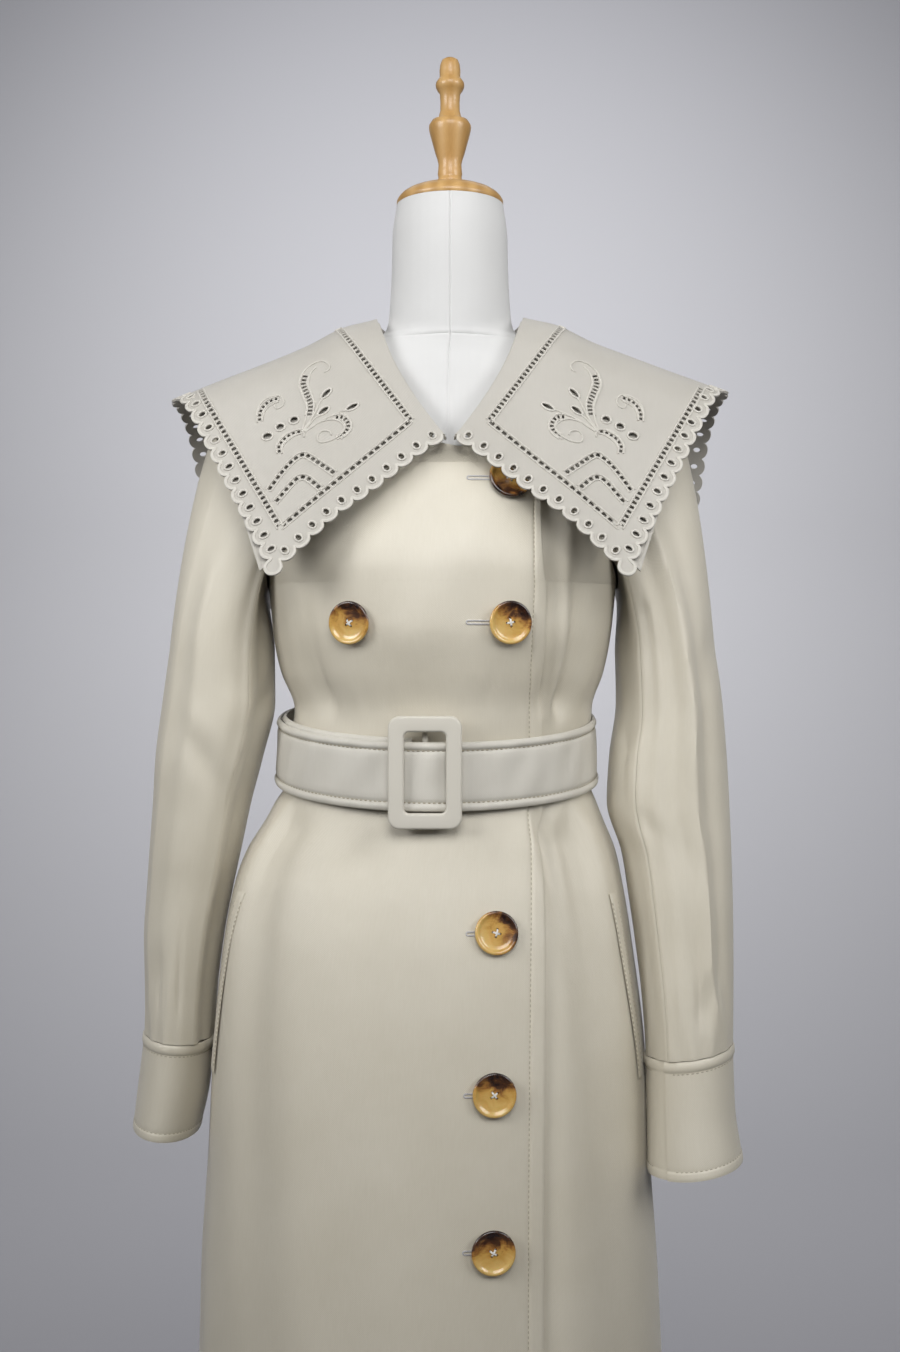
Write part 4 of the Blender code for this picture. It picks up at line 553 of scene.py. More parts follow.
def front_angle(x, z):
    """Angle at the front of the coat where it has a given x."""
    half_width = lookup(COAT_ROWS, "z", z, "half_width")
    square = lookup(COAT_ROWS, "z", z, "square")
    across = (x - lookup(COAT_ROWS, "z", z, "centre_x")) / half_width
    return 2.0 * pi - np.arccos(np.clip(signed_power(across, square / 2.0), -1.0, 1.0))


def sleeve_ring(side, angle, z):
    """Outline of a sleeve at angles and heights, below its join."""
    rows = SLEEVE_ROWS[side]
    outer, inner = lookup(rows, "z", z, "outer"), lookup(rows, "z", z, "inner")
    fold = fold_height(SLEEVE_FOLDS[side], angle, z)
    depth = lookup(rows, "z", z, "half_depth") + fold
    half_width = (outer - inner) / 2.0 + 0.5 * fold
    return points_of(side * (outer + inner) / 2.0 + half_width * np.cos(angle),
                     lookup(rows, "z", z, "centre_y") + depth * np.sin(angle), z)


def armhole_point(side, angle):
    """Points of the body's armhole that sleeve angles are sewn to, moved out by the seam."""
    level = side * np.cos(angle)
    reach = ARMHOLE_ANGLE * np.sin(angle)
    body_angle = reach if side == LEFT else pi - reach
    point = ring_point(COAT_ROWS, body_angle, armhole_z(level))
    return point + points_of(side * 2.0 * SEAM, 0.0, SEAM * level)


def sleeve_surface(side):
    """Surface of a sleeve: up to the join it is v high, above it bends in to the armhole."""
    end = CUFF_ENDS[side]

    def surface(angle, v):
        """Points at angles and at values of v."""
        level = side * np.cos(angle)
        low = np.minimum(v, SLEEVE_JOIN_Z)
        tilt = end.tilt * level * fade_out(low, end.top_z, TILT_FADE)
        straight = sleeve_ring(side, angle, low)
        gather = GATHER_DEPTH * np.sin(GATHERS * angle) * fade_out(low, end.top_z, GATHER_FADE)
        centre = points_of(side * SLEEVE_CENTRE_X, 0.0, low)
        straight = straight + unit(straight - centre) * gather[..., None] + points_of(0.0, 0.0, tilt)
        part = np.maximum(v - SLEEVE_JOIN_Z, 0.0) / SLEEVE_CAP_SPAN
        height = (level + 1.0) / 2.0
        ring = sleeve_ring(side, angle, SLEEVE_JOIN_Z + 0.0 * low)
        hole = armhole_point(side, angle)
        # directions in which the cap leaves the ring and reaches the armhole
        leaving = points_of(-side * 0.020 * height, 0.0, 0.06 + 0.14 * height)
        arriving = points_of(-side * (0.015 + 0.105 * height), -0.02 * np.sin(angle), 0.020 + 0.025 * height)
        square, cube = part ** 2, part ** 3
        cap = (ring * (2 * cube - 3 * square + 1)[..., None] + leaving * (cube - 2 * square + part)[..., None]
               + hole * (3 * square - 2 * cube)[..., None] + arriving * (cube - square)[..., None])
        return np.where((v <= SLEEVE_JOIN_Z)[..., None], straight, cap)

    return surface


def cuff_surface(side):
    """Surface of a cuff, at angles and heights."""
    rows, end = CUFF_ROWS[side], CUFF_ENDS[side]

    def surface(angle, z):
        """Points at angles and heights."""
        level = (z - end.bottom_z) / (end.top_z - end.bottom_z)
        columns = (lookup(rows, "level", level, column) for column in CuffRow._fields[1:])
        outer, inner, centre_y, depth = columns
        return points_of(side * (outer + inner) / 2.0 + (outer - inner) / 2.0 * np.cos(angle),
                         centre_y + depth * np.sin(angle), z + end.tilt * side * np.cos(angle))

    return surface


def ridge_height(x):
    """Height of the line over the shoulders that the collar hangs from."""
    slope = np.where(x < 0.0, RIDGE_SLOPE[RIGHT], RIDGE_SLOPE[LEFT])
    fall = slope * (np.sqrt(x * x + RIDGE_SMOOTHING ** 2) - RIDGE_SMOOTHING)
    return RIDGE_TOP - fall + ROLL_RISE * bump(np.abs(x) - ROLL_RISE_X, ROLL_RISE_SPREAD)


def collar_surface(x, length):
    """The collar's cloth: x across the body and length along the cloth from the ridge, front negative."""
    radius = np.where(length < 0.0, COLLAR_SIDES["front"].radius, COLLAR_SIDES["back"].radius)
    lean = np.where(length < 0.0, COLLAR_SIDES["front"].lean, COLLAR_SIDES["back"].lean)
    turn = np.minimum(np.abs(length) / radius, pi / 2.0 - lean)
    straight = np.maximum(0.0, np.abs(length) - radius * (pi / 2.0 - lean))
    reach = radius * np.sin(turn) + straight * np.sin(lean)
    drop = radius * (1.0 - np.cos(turn)) + straight * np.cos(lean)
    return points_of(x, np.where(length < 0.0, -reach, reach), ridge_height(x) - drop)


def belt_surface(travel, v):
    """Inner face of the belt: travel in radians from its fixed end, v from -1 to 1 up its height."""
    angle = radians(BELT_START_ANGLE) - travel
    air = lookup(BELT_ROWS, "travel", np.degrees(travel), "air") - BELT_FLARE * 0.5 * (v - 1.0)
    point = ring_point(COAT_ROWS, angle, BELT_RING_Z + 0.0 * angle)
    first_turn = fade_out(np.degrees(travel), INNER_END_FADE, INNER_END_FADE)
    height = BELT_Z + BELT_DIP * np.sin(angle) + INNER_END_RISE * first_turn
    level = points_of(point[..., 0], point[..., 1], height + v * BELT_HALF_HEIGHT)
    return level + belt_outward(travel) * air[..., None]


def belt_outward(travel):
    """Level directions straight out of the belt."""
    angle = radians(BELT_START_ANGLE) - travel
    ring_z = BELT_RING_Z + 0.0 * angle
    along = ring_point(COAT_ROWS, angle + STEP, ring_z) - ring_point(COAT_ROWS, angle - STEP, ring_z)
    return unit(np.cross(along, UP))


# ================================================================ meshes
def add_mesh(name, vertices, faces, material, uv=None):
    """A named piece that rides on the frame's only body."""
    mesh = bpy.data.meshes.new(name)
    mesh.from_pydata(np.asarray(vertices).tolist(), [], [tuple(face) for face in faces])
    mesh.materials.append(material)
    if uv is not None:
        layer = mesh.uv_layers.new(name="cloth")
        corners = np.empty(len(mesh.loops), int)
        mesh.loops.foreach_get("vertex_index", corners)
        layer.data.foreach_set("uv", np.asarray(uv)[corners].ravel())
    mesh.shade_smooth()
    mesh.set_sharp_from_angle(angle=SHARP_ANGLE)
    piece = bpy.data.objects.new(name, mesh)
    bpy.context.scene.collection.objects.link(piece)
    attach(piece, "root")
    return piece


def grid_faces(rows, columns, closed=False, start=0, flip=False):
    """Quads of a grid of rows and columns whose first vertex has the index start."""
    index = start + np.arange(rows * columns).reshape(rows, columns)
    if closed:
        index = np.concatenate([index, index[:, :1]], axis=1)
    quads = np.stack([index[:-1, :-1], index[:-1, 1:], index[1:, 1:], index[1:, :-1]], axis=-1).reshape(-1, 4)
    return quads[:, ::-1] if flip else quads


def border_faces(rows, columns, offset):
    """Quads that join the edge of a grid to the edge of its second side, offset vertices on."""
    index = np.arange(rows * columns).reshape(rows, columns)
    loop = np.concatenate([index[0], index[1:, -1], index[-1][::-1][1:], index[::-1][1:, 0]])
    first, second = loop[:-1], loop[1:]
    return np.stack([second, first, first + offset, second + offset], axis=-1)


def end_faces(rows, columns):
    """The flat faces at both ends of a closed grid."""
    return [tuple(range(columns))[::-1], tuple((rows - 1) * columns + index for index in range(columns))]


def cloth_shell(name, points, normals, thickness, material):
    """A thin cloth wall whose outer face goes through a grid of points."""
    rows, columns = points.shape[:2]
    count = rows * columns
    inner = points - normals * np.broadcast_to(thickness, points.shape[:2])[..., None]
    vertices = np.concatenate([points.reshape(-1, 3), inner.reshape(-1, 3)])
    faces = np.concatenate([grid_faces(rows, columns), grid_faces(rows, columns, start=count, flip=True),
                            border_faces(rows, columns, count)])
    uv = cloth_lengths(points)
    return add_mesh(name, vertices, faces, material, np.concatenate([uv, uv]))


def cloth_lengths(points):
    """Lengths along the rows and columns of a grid, in metres, so that a weave keeps its size."""
    across = np.linalg.norm(np.diff(points, axis=1), axis=-1).mean(axis=0)
    upward = np.linalg.norm(np.diff(points, axis=0), axis=-1).mean(axis=1)
    u = np.concatenate([[0.0], np.cumsum(across)])
    v = np.concatenate([[0.0], np.cumsum(upward)])
    return np.stack(np.meshgrid(u, v), axis=-1).reshape(-1, 2)


def lifted(surface, u, v, lift):
    """Points and outward directions of a surface, lifted along its own normals."""
    normals = normals_of(surface, u, v)
    points = surface(u, v) + normals * np.broadcast_to(lift, u.shape)[..., None]
    return points, normals


def relief_normals(points, normals):
    """Outward directions of a grid of points that has relief of its own."""
    along = np.gradient(points, axis=1)
    upward = np.gradient(points, axis=0)
    own = unit(np.cross(along, upward))
    return own * np.sign(np.sum(own * normals, axis=-1, keepdims=True))


def cord_mesh(path, normals, half_width, height, closed=False, sides=6):
    """Vertices and faces of a raised cord along a path, with an elliptic section."""
    count = len(path)
    ahead = np.roll(path, -1, axis=0) - np.roll(path, 1, axis=0)
    if not closed:
        ahead[0], ahead[-1] = path[1] - path[0], path[-1] - path[-2]
    side = unit(np.cross(unit(ahead), normals))
    turn = turns(sides) + pi / sides
    rings = (path[:, None] + side[:, None] * (half_width * np.cos(turn))[None, :, None]
             + normals[:, None] * (height * np.sin(turn))[None, :, None])
    index = np.arange(count * sides).reshape(count, sides)
    after = np.roll(index, -1, axis=0) if closed else index[1:]
    before = index if closed else index[:-1]
    quads = np.stack([before, np.roll(before, -1, axis=1), np.roll(after, -1, axis=1), after], axis=-1)
    faces = [tuple(quad) for quad in quads.reshape(-1, 4)]
    if not closed:
        faces += [tuple(index[0][::-1]), tuple(index[-1])]
    return rings.reshape(-1, 3), faces


def join_meshes(parts):
    """One list of vertices and one of faces from several meshes."""
    vertices, faces, start = [], [], 0
    for part_vertices, part_faces in parts:
        vertices.append(np.asarray(part_vertices))
        faces.extend(tuple(int(index) + start for index in face) for face in part_faces)
        start += len(part_vertices)
    return np.concatenate(vertices), faces


STITCH_LENGTH = 0.0023
STITCH_PITCH = 0.0038
STITCH_RADIUS = 0.00052
# Sections of one stitch: place along it, as a part of its length, and size as a part of its radius.
STITCH_SECTIONS = ((-0.5, 0.25), (-0.3, 1.0), (0.3, 1.0), (0.5, 0.25))


def stitch_meshes(path, normals):
    """Small raised stitches along a path on the cloth."""
    lengths = running_lengths(path)
    count = max(2, int(round(lengths[-1] / STITCH_PITCH)) + 1)
    targets = np.linspace(0.0, lengths[-1], count)
    points, ups = sample_line(path, lengths, targets), sample_line(normals, lengths, targets)
    quads = grid_faces(len(STITCH_SECTIONS), 4, closed=True).tolist()
    stitches = []
    for first, second, up in zip(points[:-1], points[1:], unit(ups)[:-1]):
        along = (second - first) / max(np.linalg.norm(second - first), 1e-9)
        side = np.cross(along, up)
        ways = [side * cos(turn) + up * sin(turn) for turn in (0.0, pi / 2, pi, 3 * pi / 2)]
        rings = [first + along * STITCH_LENGTH * (0.5 + part) + STITCH_RADIUS * size * way
                 for part, size in STITCH_SECTIONS for way in ways]
        stitches.append((np.array(rings), quads + end_faces(len(STITCH_SECTIONS), 4)))
    return stitches


def add_joined(name, parts, material):
    """One piece from several meshes."""
    vertices, faces = join_meshes(parts)
    return add_mesh(name, vertices, faces, material)


def add_stitches(name, rows, material):
    """One piece with the stitches of several paths, each given with its normals."""
    return add_joined(name, [stitch for row in rows for stitch in stitch_meshes(*row)], material)


def turned_shell(profile, sides):
    """Vertices and faces of a turned solid about the Z axis."""
    radius, height = np.array(profile).T[:, :, None]
    rings = points_of(radius * np.cos(turns(sides)), radius * np.sin(turns(sides)), height)
    faces = [tuple(quad) for quad in grid_faces(len(profile), sides, closed=True)]
    return rings.reshape(-1, 3), faces + end_faces(len(profile), sides)


# ================================================================ materials
class Nodes:
    """Short calls that build one material's nodes."""

    def __init__(self, name):
        """Starts a material that has one shader."""
        self.material = bpy.data.materials.new(name)
        self.material.use_nodes = True
        self.tree = self.material.node_tree
        self.shader = self.tree.nodes["Principled BSDF"]

    def add(self, kind, **settings):
        """A new node with some of its settings."""
        node = self.tree.nodes.new(kind)
        for key, value in settings.items():
            setattr(node, key, value)
        return node

    def link(self, output, target):
        """Links one node's output to another's input."""
        self.tree.links.new(output, target)

    def coordinates(self, output="Object", scale=(1.0, 1.0, 1.0)):
        """Object or cloth coordinates in metres, scaled."""
        source = self.add("ShaderNodeTexCoord")
        mapping = self.add("ShaderNodeMapping")
        mapping.inputs["Scale"].default_value = scale
        self.link(source.outputs[output], mapping.inputs["Vector"])
        return mapping.outputs["Vector"]

    def noise(self, vector, scale, detail=3.0, roughness=0.5, distortion=0.0):
        """Cloudy shade from 0 to 1."""
        node = self.add("ShaderNodeTexNoise")
        node.inputs["Scale"].default_value = scale
        node.inputs["Detail"].default_value = detail
        node.inputs["Roughness"].default_value = roughness
        node.inputs["Distortion"].default_value = distortion
        self.link(vector, node.inputs["Vector"])
        return node.outputs["Fac"]

    def wave(self, vector, scale, direction, distortion=0.0):
        """Even bands from 0 to 1."""
        node = self.add("ShaderNodeTexWave", bands_direction=direction)
        node.inputs["Scale"].default_value = scale
        node.inputs["Distortion"].default_value = distortion
        self.link(vector, node.inputs["Vector"])
        return node.outputs["Fac"]

    def colour(self, factor, stops):
        """Colours the surface by a factor, from stops of a position and a colour."""
        node = self.add("ShaderNodeValToRGB")
        points = node.color_ramp.elements
        while len(points) < len(stops):
            points.new(1.0)
        for point, (position, colour) in zip(points, stops):
            point.position = position
            point.color = (*colour, 1.0)
        self.link(factor, node.inputs["Fac"])
        self.link(node.outputs["Color"], self.shader.inputs["Base Color"])

    def math(self, operation, first, second):
        """Result of an operation on two outputs or numbers."""
        node = self.add("ShaderNodeMath", operation=operation)
        for socket, value in zip(node.inputs, (first, second)):
            if isinstance(value, (int, float)):
                socket.default_value = value
            else:
                self.link(value, socket)
        return node.outputs["Value"]

    def mix(self, *weighted):
        """Sum of factors that are each given with a weight."""
        (factor, weight), *rest = weighted
        part = self.math("MULTIPLY", factor, weight)
        return self.math("ADD", part, self.mix(*rest)) if rest else part

    def roughness(self, factor, low, high):
        """Spreads the surface's roughness from low to high by a factor."""
        node = self.add("ShaderNodeMapRange")
        node.inputs["To Min"].default_value = low
        node.inputs["To Max"].default_value = high
        self.link(factor, node.inputs["Value"])
        self.link(node.outputs["Result"], self.shader.inputs["Roughness"])

    def bump(self, *heights):
        """Bumps from pairs of a height and its depth in metres, one on top of the other."""
        normal = None
        for height, depth in heights:
            node = self.add("ShaderNodeBump")
            node.inputs["Distance"].default_value = depth
            self.link(height, node.inputs["Height"])
            if normal is not None:
                self.link(normal, node.inputs["Normal"])
            normal = node.outputs["Normal"]
        self.link(normal, self.shader.inputs["Normal"])

    def finish(self, **values):
        """Sets the shader's other values and gives the material."""
        for key, value in values.items():
            self.shader.inputs[key.replace("_", " ")].default_value = value
        return self.material


WEAVE_PERIOD = 0.00042
WAVE_UNIT = 0.31416               # a wave texture of scale one repeats at this length
WEFT_SHARE = 0.62                 # spacing of the weft's bands against the warp's
STRAND_PERIOD, RIB_PERIOD, LOOP_PERIOD = 0.0006, 0.0009, 0.0007
SWEEP_RADIUS, SWEEP_BACK = 1.60, 3.90   # the paper turns up from the floor behind the coat
PAINTED_LIGHT_CENTRE = (0.05, SWEEP_BACK, 1.45)   # middle of the painted pool of light on the paper, where it is palest
PAINTED_FALLOFF_REACH = (5.6, 5.0, 2.5)             # how far from there the painted falloff of light reaches its darkest, in each direction

# Colours at parts of a factor's way from 0 to 1.
HORN_COLOURS = ((0.48, (0.66, 0.44, 0.145)), (0.70, (0.54, 0.31, 0.075)), (0.79, (0.30, 0.135, 0.035)),
                (0.86, (0.085, 0.036, 0.016)), (0.97, (0.022, 0.010, 0.008)))
KNIT_COLOURS = ((0.2, (0.62, 0.618, 0.610)), (0.8, (0.68, 0.678, 0.668)))
WOOD_COLOURS = ((0.2, (0.430, 0.240, 0.075)), (0.8, (0.585, 0.360, 0.140)))
METAL_COLOURS = ((0.2, (0.50, 0.50, 0.50)), (0.8, (0.62, 0.62, 0.61)))
# Painted falloff of light on the paper: pale at the painted pool of light, darker away from it.
PAINTED_FALLOFF_COLOURS = ((0.15, (0.63, 0.625, 0.645)), (1.0, (0.215, 0.213, 0.230)))


def cloth_material(look):
    """Woven cotton with a soft sheen: threads, slight shade differences and handling waves."""
    nodes = Nodes(look.name)
    threads = nodes.coordinates("UV")
    place = nodes.coordinates()
    warp = nodes.wave(threads, WAVE_UNIT / WEAVE_PERIOD, "X", 0.4)
    weft = nodes.wave(threads, WAVE_UNIT / WEAVE_PERIOD * WEFT_SHARE, "DIAGONAL", 0.4)
    slub = nodes.noise(nodes.coordinates("UV", (900.0, 60.0, 1.0)), 1.0, detail=2.0)
    shade = nodes.noise(place, 9.0, roughness=0.55)
    tone = nodes.mix((shade, 0.62), (slub, 0.22), (weft, 0.16))
    nodes.colour(tone, ((0.25, look.dark), (0.75, look.light)))
    nodes.roughness(nodes.noise(place, 30.0, detail=2.0), look.roughness - 0.05, look.roughness + 0.05)
    waves = nodes.noise(nodes.coordinates("Object", (1.0, 1.0, 0.35)), 17.0, detail=2.0, roughness=0.45)
    nodes.bump((waves, 0.0016), (nodes.math("ADD", warp, weft), look.weave_depth))
    return nodes.finish(Sheen_Weight=look.sheen, Sheen_Roughness=0.38, Sheen_Tint=(1.0, 0.98, 0.94, 1.0),
                        IOR=1.70, Specular_IOR_Level=look.gloss, Coat_Weight=0.5 * look.gloss,
                        Coat_Roughness=0.46)


def thread_material(name, dark, light):
    """Cotton thread: fine twisted strands."""
    nodes = Nodes(name)
    place = nodes.coordinates()
    strands = nodes.wave(place, WAVE_UNIT / STRAND_PERIOD, "DIAGONAL", 1.0)
    nodes.colour(nodes.mix((strands, 0.5), (nodes.noise(place, 400.0), 0.5)), ((0.2, dark), (0.8, light)))
    nodes.bump((strands, 0.00006))
    return nodes.finish(Roughness=0.62, Sheen_Weight=0.25, Sheen_Roughness=0.4)


def horn_material():
    """Polished amber horn with dark brown clouds towards one side of the rim."""
    nodes = Nodes("button_horn_look")
    split = nodes.add("ShaderNodeSeparateXYZ")
    nodes.link(nodes.coordinates("UV"), split.inputs["Vector"])
    clouds = nodes.noise(nodes.coordinates(), 85.0, roughness=0.55, distortion=0.8)
    wisps = nodes.noise(nodes.coordinates("Object", (1.0, 1.0, 2.6)), 170.0, roughness=0.6, distortion=1.0)
    nodes.colour(nodes.mix((split.outputs["Y"], 0.62), (clouds, 0.62), (wisps, 0.16)), HORN_COLOURS)
    nodes.bump((wisps, 0.00003))
    return nodes.finish(Roughness=0.24, Coat_Weight=0.6, Coat_Roughness=0.07, Specular_IOR_Level=0.5,
                        Subsurface_Weight=0.15, Subsurface_Scale=0.002)


def knit_material():
    """White jersey cover of the form: fine ribs and a matt face."""
    nodes = Nodes("form_cover_look")
    place = nodes.coordinates()
    ribs = nodes.wave(nodes.coordinates("Object", (1.0, 0.6, 0.0)), WAVE_UNIT / RIB_PERIOD, "X", 0.6)
    loops = nodes.wave(place, WAVE_UNIT / LOOP_PERIOD, "Z", 0.8)
    nodes.colour(nodes.mix((nodes.noise(place, 14.0), 0.7), (ribs, 0.3)), KNIT_COLOURS)
    nodes.bump((nodes.noise(place, 26.0, detail=2.0), 0.0008), (nodes.math("ADD", ribs, loops), 0.00005))
    return nodes.finish(Roughness=0.82, Sheen_Weight=0.2, Sheen_Roughness=0.5)


def wood_material():
    """Lacquered pale wood with its grain up the turning."""
    nodes = Nodes("stand_wood_look")
    place = nodes.coordinates("Object", (1.0, 1.0, 0.10))
    fibres = nodes.noise(nodes.coordinates("Object", (1.0, 1.0, 0.05)), 900.0, roughness=0.6)
    rings = nodes.wave(place, 26.0, "X", 5.0)
    clouds = nodes.noise(place, 40.0, detail=4.0)
    nodes.colour(nodes.mix((rings, 0.45), (fibres, 0.35), (clouds, 0.20)), WOOD_COLOURS)
    nodes.roughness(fibres, 0.36, 0.48)
    nodes.bump((fibres, 0.00005))
    return nodes.finish(Coat_Weight=0.35, Coat_Roughness=0.18, Specular_IOR_Level=0.5)


def metal_material():
    """Brushed steel pole with fine marks along it."""
    nodes = Nodes("stand_metal_look")
    marks = nodes.noise(nodes.coordinates("Object", (1.0, 1.0, 0.02)), 1400.0)
    nodes.colour(marks, METAL_COLOURS)
    nodes.roughness(marks, 0.26, 0.38)
    nodes.bump((marks, 0.00002))
    return nodes.finish(Metallic=1.0)


def backdrop_material():
    """Seamless paper with painted light: palest in a painted pool of light behind the middle of the coat, and
    darker away from it as painted falloff.
    """
    nodes = Nodes("paper_painted_light_look")
    # painted light: the paper's colour fades with distance from the painted pool of light
    vector = nodes.add("ShaderNodeTexCoord").outputs["Object"]
    for operation, value in (("SUBTRACT", PAINTED_LIGHT_CENTRE), ("DIVIDE", PAINTED_FALLOFF_REACH)):
        node = nodes.add("ShaderNodeVectorMath", operation=operation)
        node.inputs[1].default_value = value
        nodes.link(vector, node.inputs[0])
        vector = node.outputs["Vector"]
    length = nodes.add("ShaderNodeVectorMath", operation="LENGTH")
    nodes.link(vector, length.inputs[0])
    nodes.colour(length.outputs["Value"], PAINTED_FALLOFF_COLOURS)
    return nodes.finish(Roughness=0.95, Specular_IOR_Level=0.1)


ClothLook = namedtuple("ClothLook", "name dark light roughness gloss sheen weave_depth")

CLOTH_LOOKS = [
    ClothLook("coat_cloth_look", (0.600, 0.550, 0.435), (0.705, 0.658, 0.548), 0.48, 0.62, 0.28, 0.00007),
    ClothLook("collar_cloth_look", (0.462, 0.438, 0.388), (0.535, 0.511, 0.462), 0.56, 0.42, 0.20, 0.00007),
    ClothLook("belt_cloth_look", (0.560, 0.530, 0.460), (0.655, 0.630, 0.565), 0.54, 0.45, 0.22, 0.00007),
    ClothLook("buckle_cloth_look", (0.580, 0.550, 0.475), (0.640, 0.610, 0.540), 0.58, 0.35, 0.15, 0.00004),
]
COAT_CLOTH, COLLAR_CLOTH, BELT_CLOTH, BUCKLE_CLOTH = [cloth_material(look) for look in CLOTH_LOOKS]
COAT_THREAD = thread_material("coat_thread", (0.340, 0.300, 0.215), (0.480, 0.435, 0.340))
BELT_THREAD = thread_material("belt_thread", (0.330, 0.290, 0.205), (0.450, 0.405, 0.310))
COLLAR_THREAD = thread_material("collar_thread", (0.530, 0.505, 0.450), (0.640, 0.615, 0.560))
HOLE_THREAD = thread_material("buttonhole_thread", (0.340, 0.330, 0.330), (0.600, 0.590, 0.590))
WHITE_THREAD = thread_material("button_thread", (0.640, 0.620, 0.570), (0.860, 0.850, 0.810))
HORN = horn_material()
FORM_COVER = knit_material()
STAND_WOOD = wood_material()
STAND_METAL = metal_material()


# ================================================================ body of the coat
SLEEVE_COLUMNS = 96
EDGE_STEPS = (0.0, 0.0006, 0.0014, 0.0030, 0.0055, 0.0082, 0.0100, 0.0110, 0.0120, 0.0130, 0.0142, 0.0165,
              0.0200, 0.0250)
EDGE_STITCH = 0.0120              # from a folded edge to its stitching
LAP_STITCH = EDGE_STEPS.index(EDGE_STITCH)   # column of the stitching beside the lap's edge
PANEL_COLUMNS = 78
HEM_STEPS = (0.2800, 0.2806, 0.2820, 0.2850, 0.2890)
HEM_STITCH_HEIGHT = 0.0300
SKIRT_START_Z, ROW_PITCH = 0.2940, 0.0046
SHOULDER_STEPS = (1.346, 1.348, 1.352, 1.356, 1.360, 1.366, 1.372, 1.379)
NECK_START_Z = 1.352              # the dip of the back's neckline starts here
ARC_SAMPLES = 260                 # places along an outline at which its length is measured
EDGE_PUFF, EDGE_GROOVE = 0.0005, 0.0008
HEM_PUFF, HEM_GROOVE = 0.0007, 0.0005
ARMHOLE_PIVOT = radians(64.0)     # beyond this angle from the side the columns run straight up
SIDE_START = 1e-5                 # angle of a panel's first column, before it is moved to the seam


def body_levels():
    """Heights of the rows of the body's panels; beside the armhole they match the sleeve's columns."""
    armhole = armhole_z(np.cos(turns(SLEEVE_COLUMNS)[:SLEEVE_COLUMNS // 2 + 1]))[::-1]
    skirt = np.arange(SKIRT_START_Z, UNDERARM_Z - 0.003, ROW_PITCH)
    return np.concatenate([HEM_STEPS, skirt, armhole, SHOULDER_STEPS])


def arc_angles(start, end, z):
    """Angles of a panel's columns, evenly spread up to fixed distances from its end, and those distances."""
    angle = start[:, None] + (end - start)[:, None] * np.linspace(0.0, 1.0, ARC_SAMPLES)
    line = ring_point(COAT_ROWS, angle, np.broadcast_to(z[:, None], angle.shape))
    length = np.stack([running_lengths(row) for row in line])
    total = length[:, -1:]
    edge = np.repeat(np.array(EDGE_STEPS)[None], len(z), axis=0)
    even = np.linspace(0.0, 1.0, PANEL_COLUMNS)[None, 1:]
    distance = np.concatenate([edge, EDGE_STEPS[-1] + (total - EDGE_STEPS[-1]) * even], axis=1)[:, ::-1]
    rows = [np.interp(*row) for row in zip(total - distance, length, angle)]
    return np.array(rows), distance


def neck_dip(angle, z):
    """Heights of one level, lowered at the middle of the back's neckline."""
    dip = NECK_DIP * np.clip((z - NECK_START_Z) / (COAT_ROWS[-1].z - NECK_START_Z), 0.0, 1.0)
    return z - dip * np.maximum(0.0, np.sin(angle)) ** 2


def stitched_edge(distance):
    """Relief of a folded and stitched edge, by distance from the edge."""
    rise = EDGE_PUFF * smoothstep(distance / 0.0020) * fade_out(distance, EDGE_STITCH - 0.003, 0.004)
    rounding = EDGE_PUFF * fade_out(distance, 0.0, 0.0016)
    return rise - rounding - EDGE_GROOVE * bump(distance - EDGE_STITCH, 0.0011)


def hem_relief(z):
    """Relief of the turned and stitched hem, by height."""
    height = z - COAT_ROWS[0].z
    fold = HEM_PUFF * smoothstep(height / 0.002) * fade_out(height, HEM_STITCH_HEIGHT - 0.004, 0.005)
    return fold - HEM_GROOVE * bump(height - HEM_STITCH_HEIGHT, 0.0014)


# Each wave has a height, its radians for each radian round the coat and for each metre up, and a shift.
DrapeWave = namedtuple("DrapeWave", "height round up shift")

SKIRT_WAVES = table(DrapeWave, (0.0012, 5.0, 7.0, 0.8), (0.0009, 11.0, -4.0, 2.1), (0.0005, 17.0, 9.0, 0.0))
CHEST_WAVES = table(DrapeWave, (0.0007, 9.0, 31.0, 1.0), (0.0005, 15.0, -43.0, 0.0))
SKIRT_WAVES_TOP, SKIRT_WAVES_GROWTH = 1.02, 0.30    # height where they begin, and drop to their full height
CHEST_WAVES_LOW, CHEST_WAVES_HIGH = 1.08, 1.20      # they grow from the first height and end past the second
CHEST_WAVES_GROWTH, CHEST_WAVES_FADE = 0.05, 0.08


def wave_sum(waves, angle, z):
    """Height of several waves that run round the coat."""
    return sum(wave.height * np.sin(wave.round * angle + wave.up * z + wave.shift) for wave in waves)


def drape(angle, z):
    """Long uneven swells of hanging cloth on the skirt and the chest."""
    skirt = smoothstep((SKIRT_WAVES_TOP - z) / SKIRT_WAVES_GROWTH)
    chest = smoothstep((z - CHEST_WAVES_LOW) / CHEST_WAVES_GROWTH)
    chest = chest * (1.0 - smoothstep((z - CHEST_WAVES_HIGH) / CHEST_WAVES_FADE))
    return skirt * wave_sum(SKIRT_WAVES, angle, z) + chest * wave_sum(CHEST_WAVES, angle, z)


def open_armhole(angle, z):
    """Angles of a panel's columns, moved round the armhole near the side line."""
    side = np.round(angle / pi) * pi
    away = np.abs(angle - side)
    limit = side_limit(z)
    moved = limit + away * (1.0 - limit / ARMHOLE_PIVOT)
    return side + np.sign(angle - side) * np.where(away < ARMHOLE_PIVOT, moved, away)


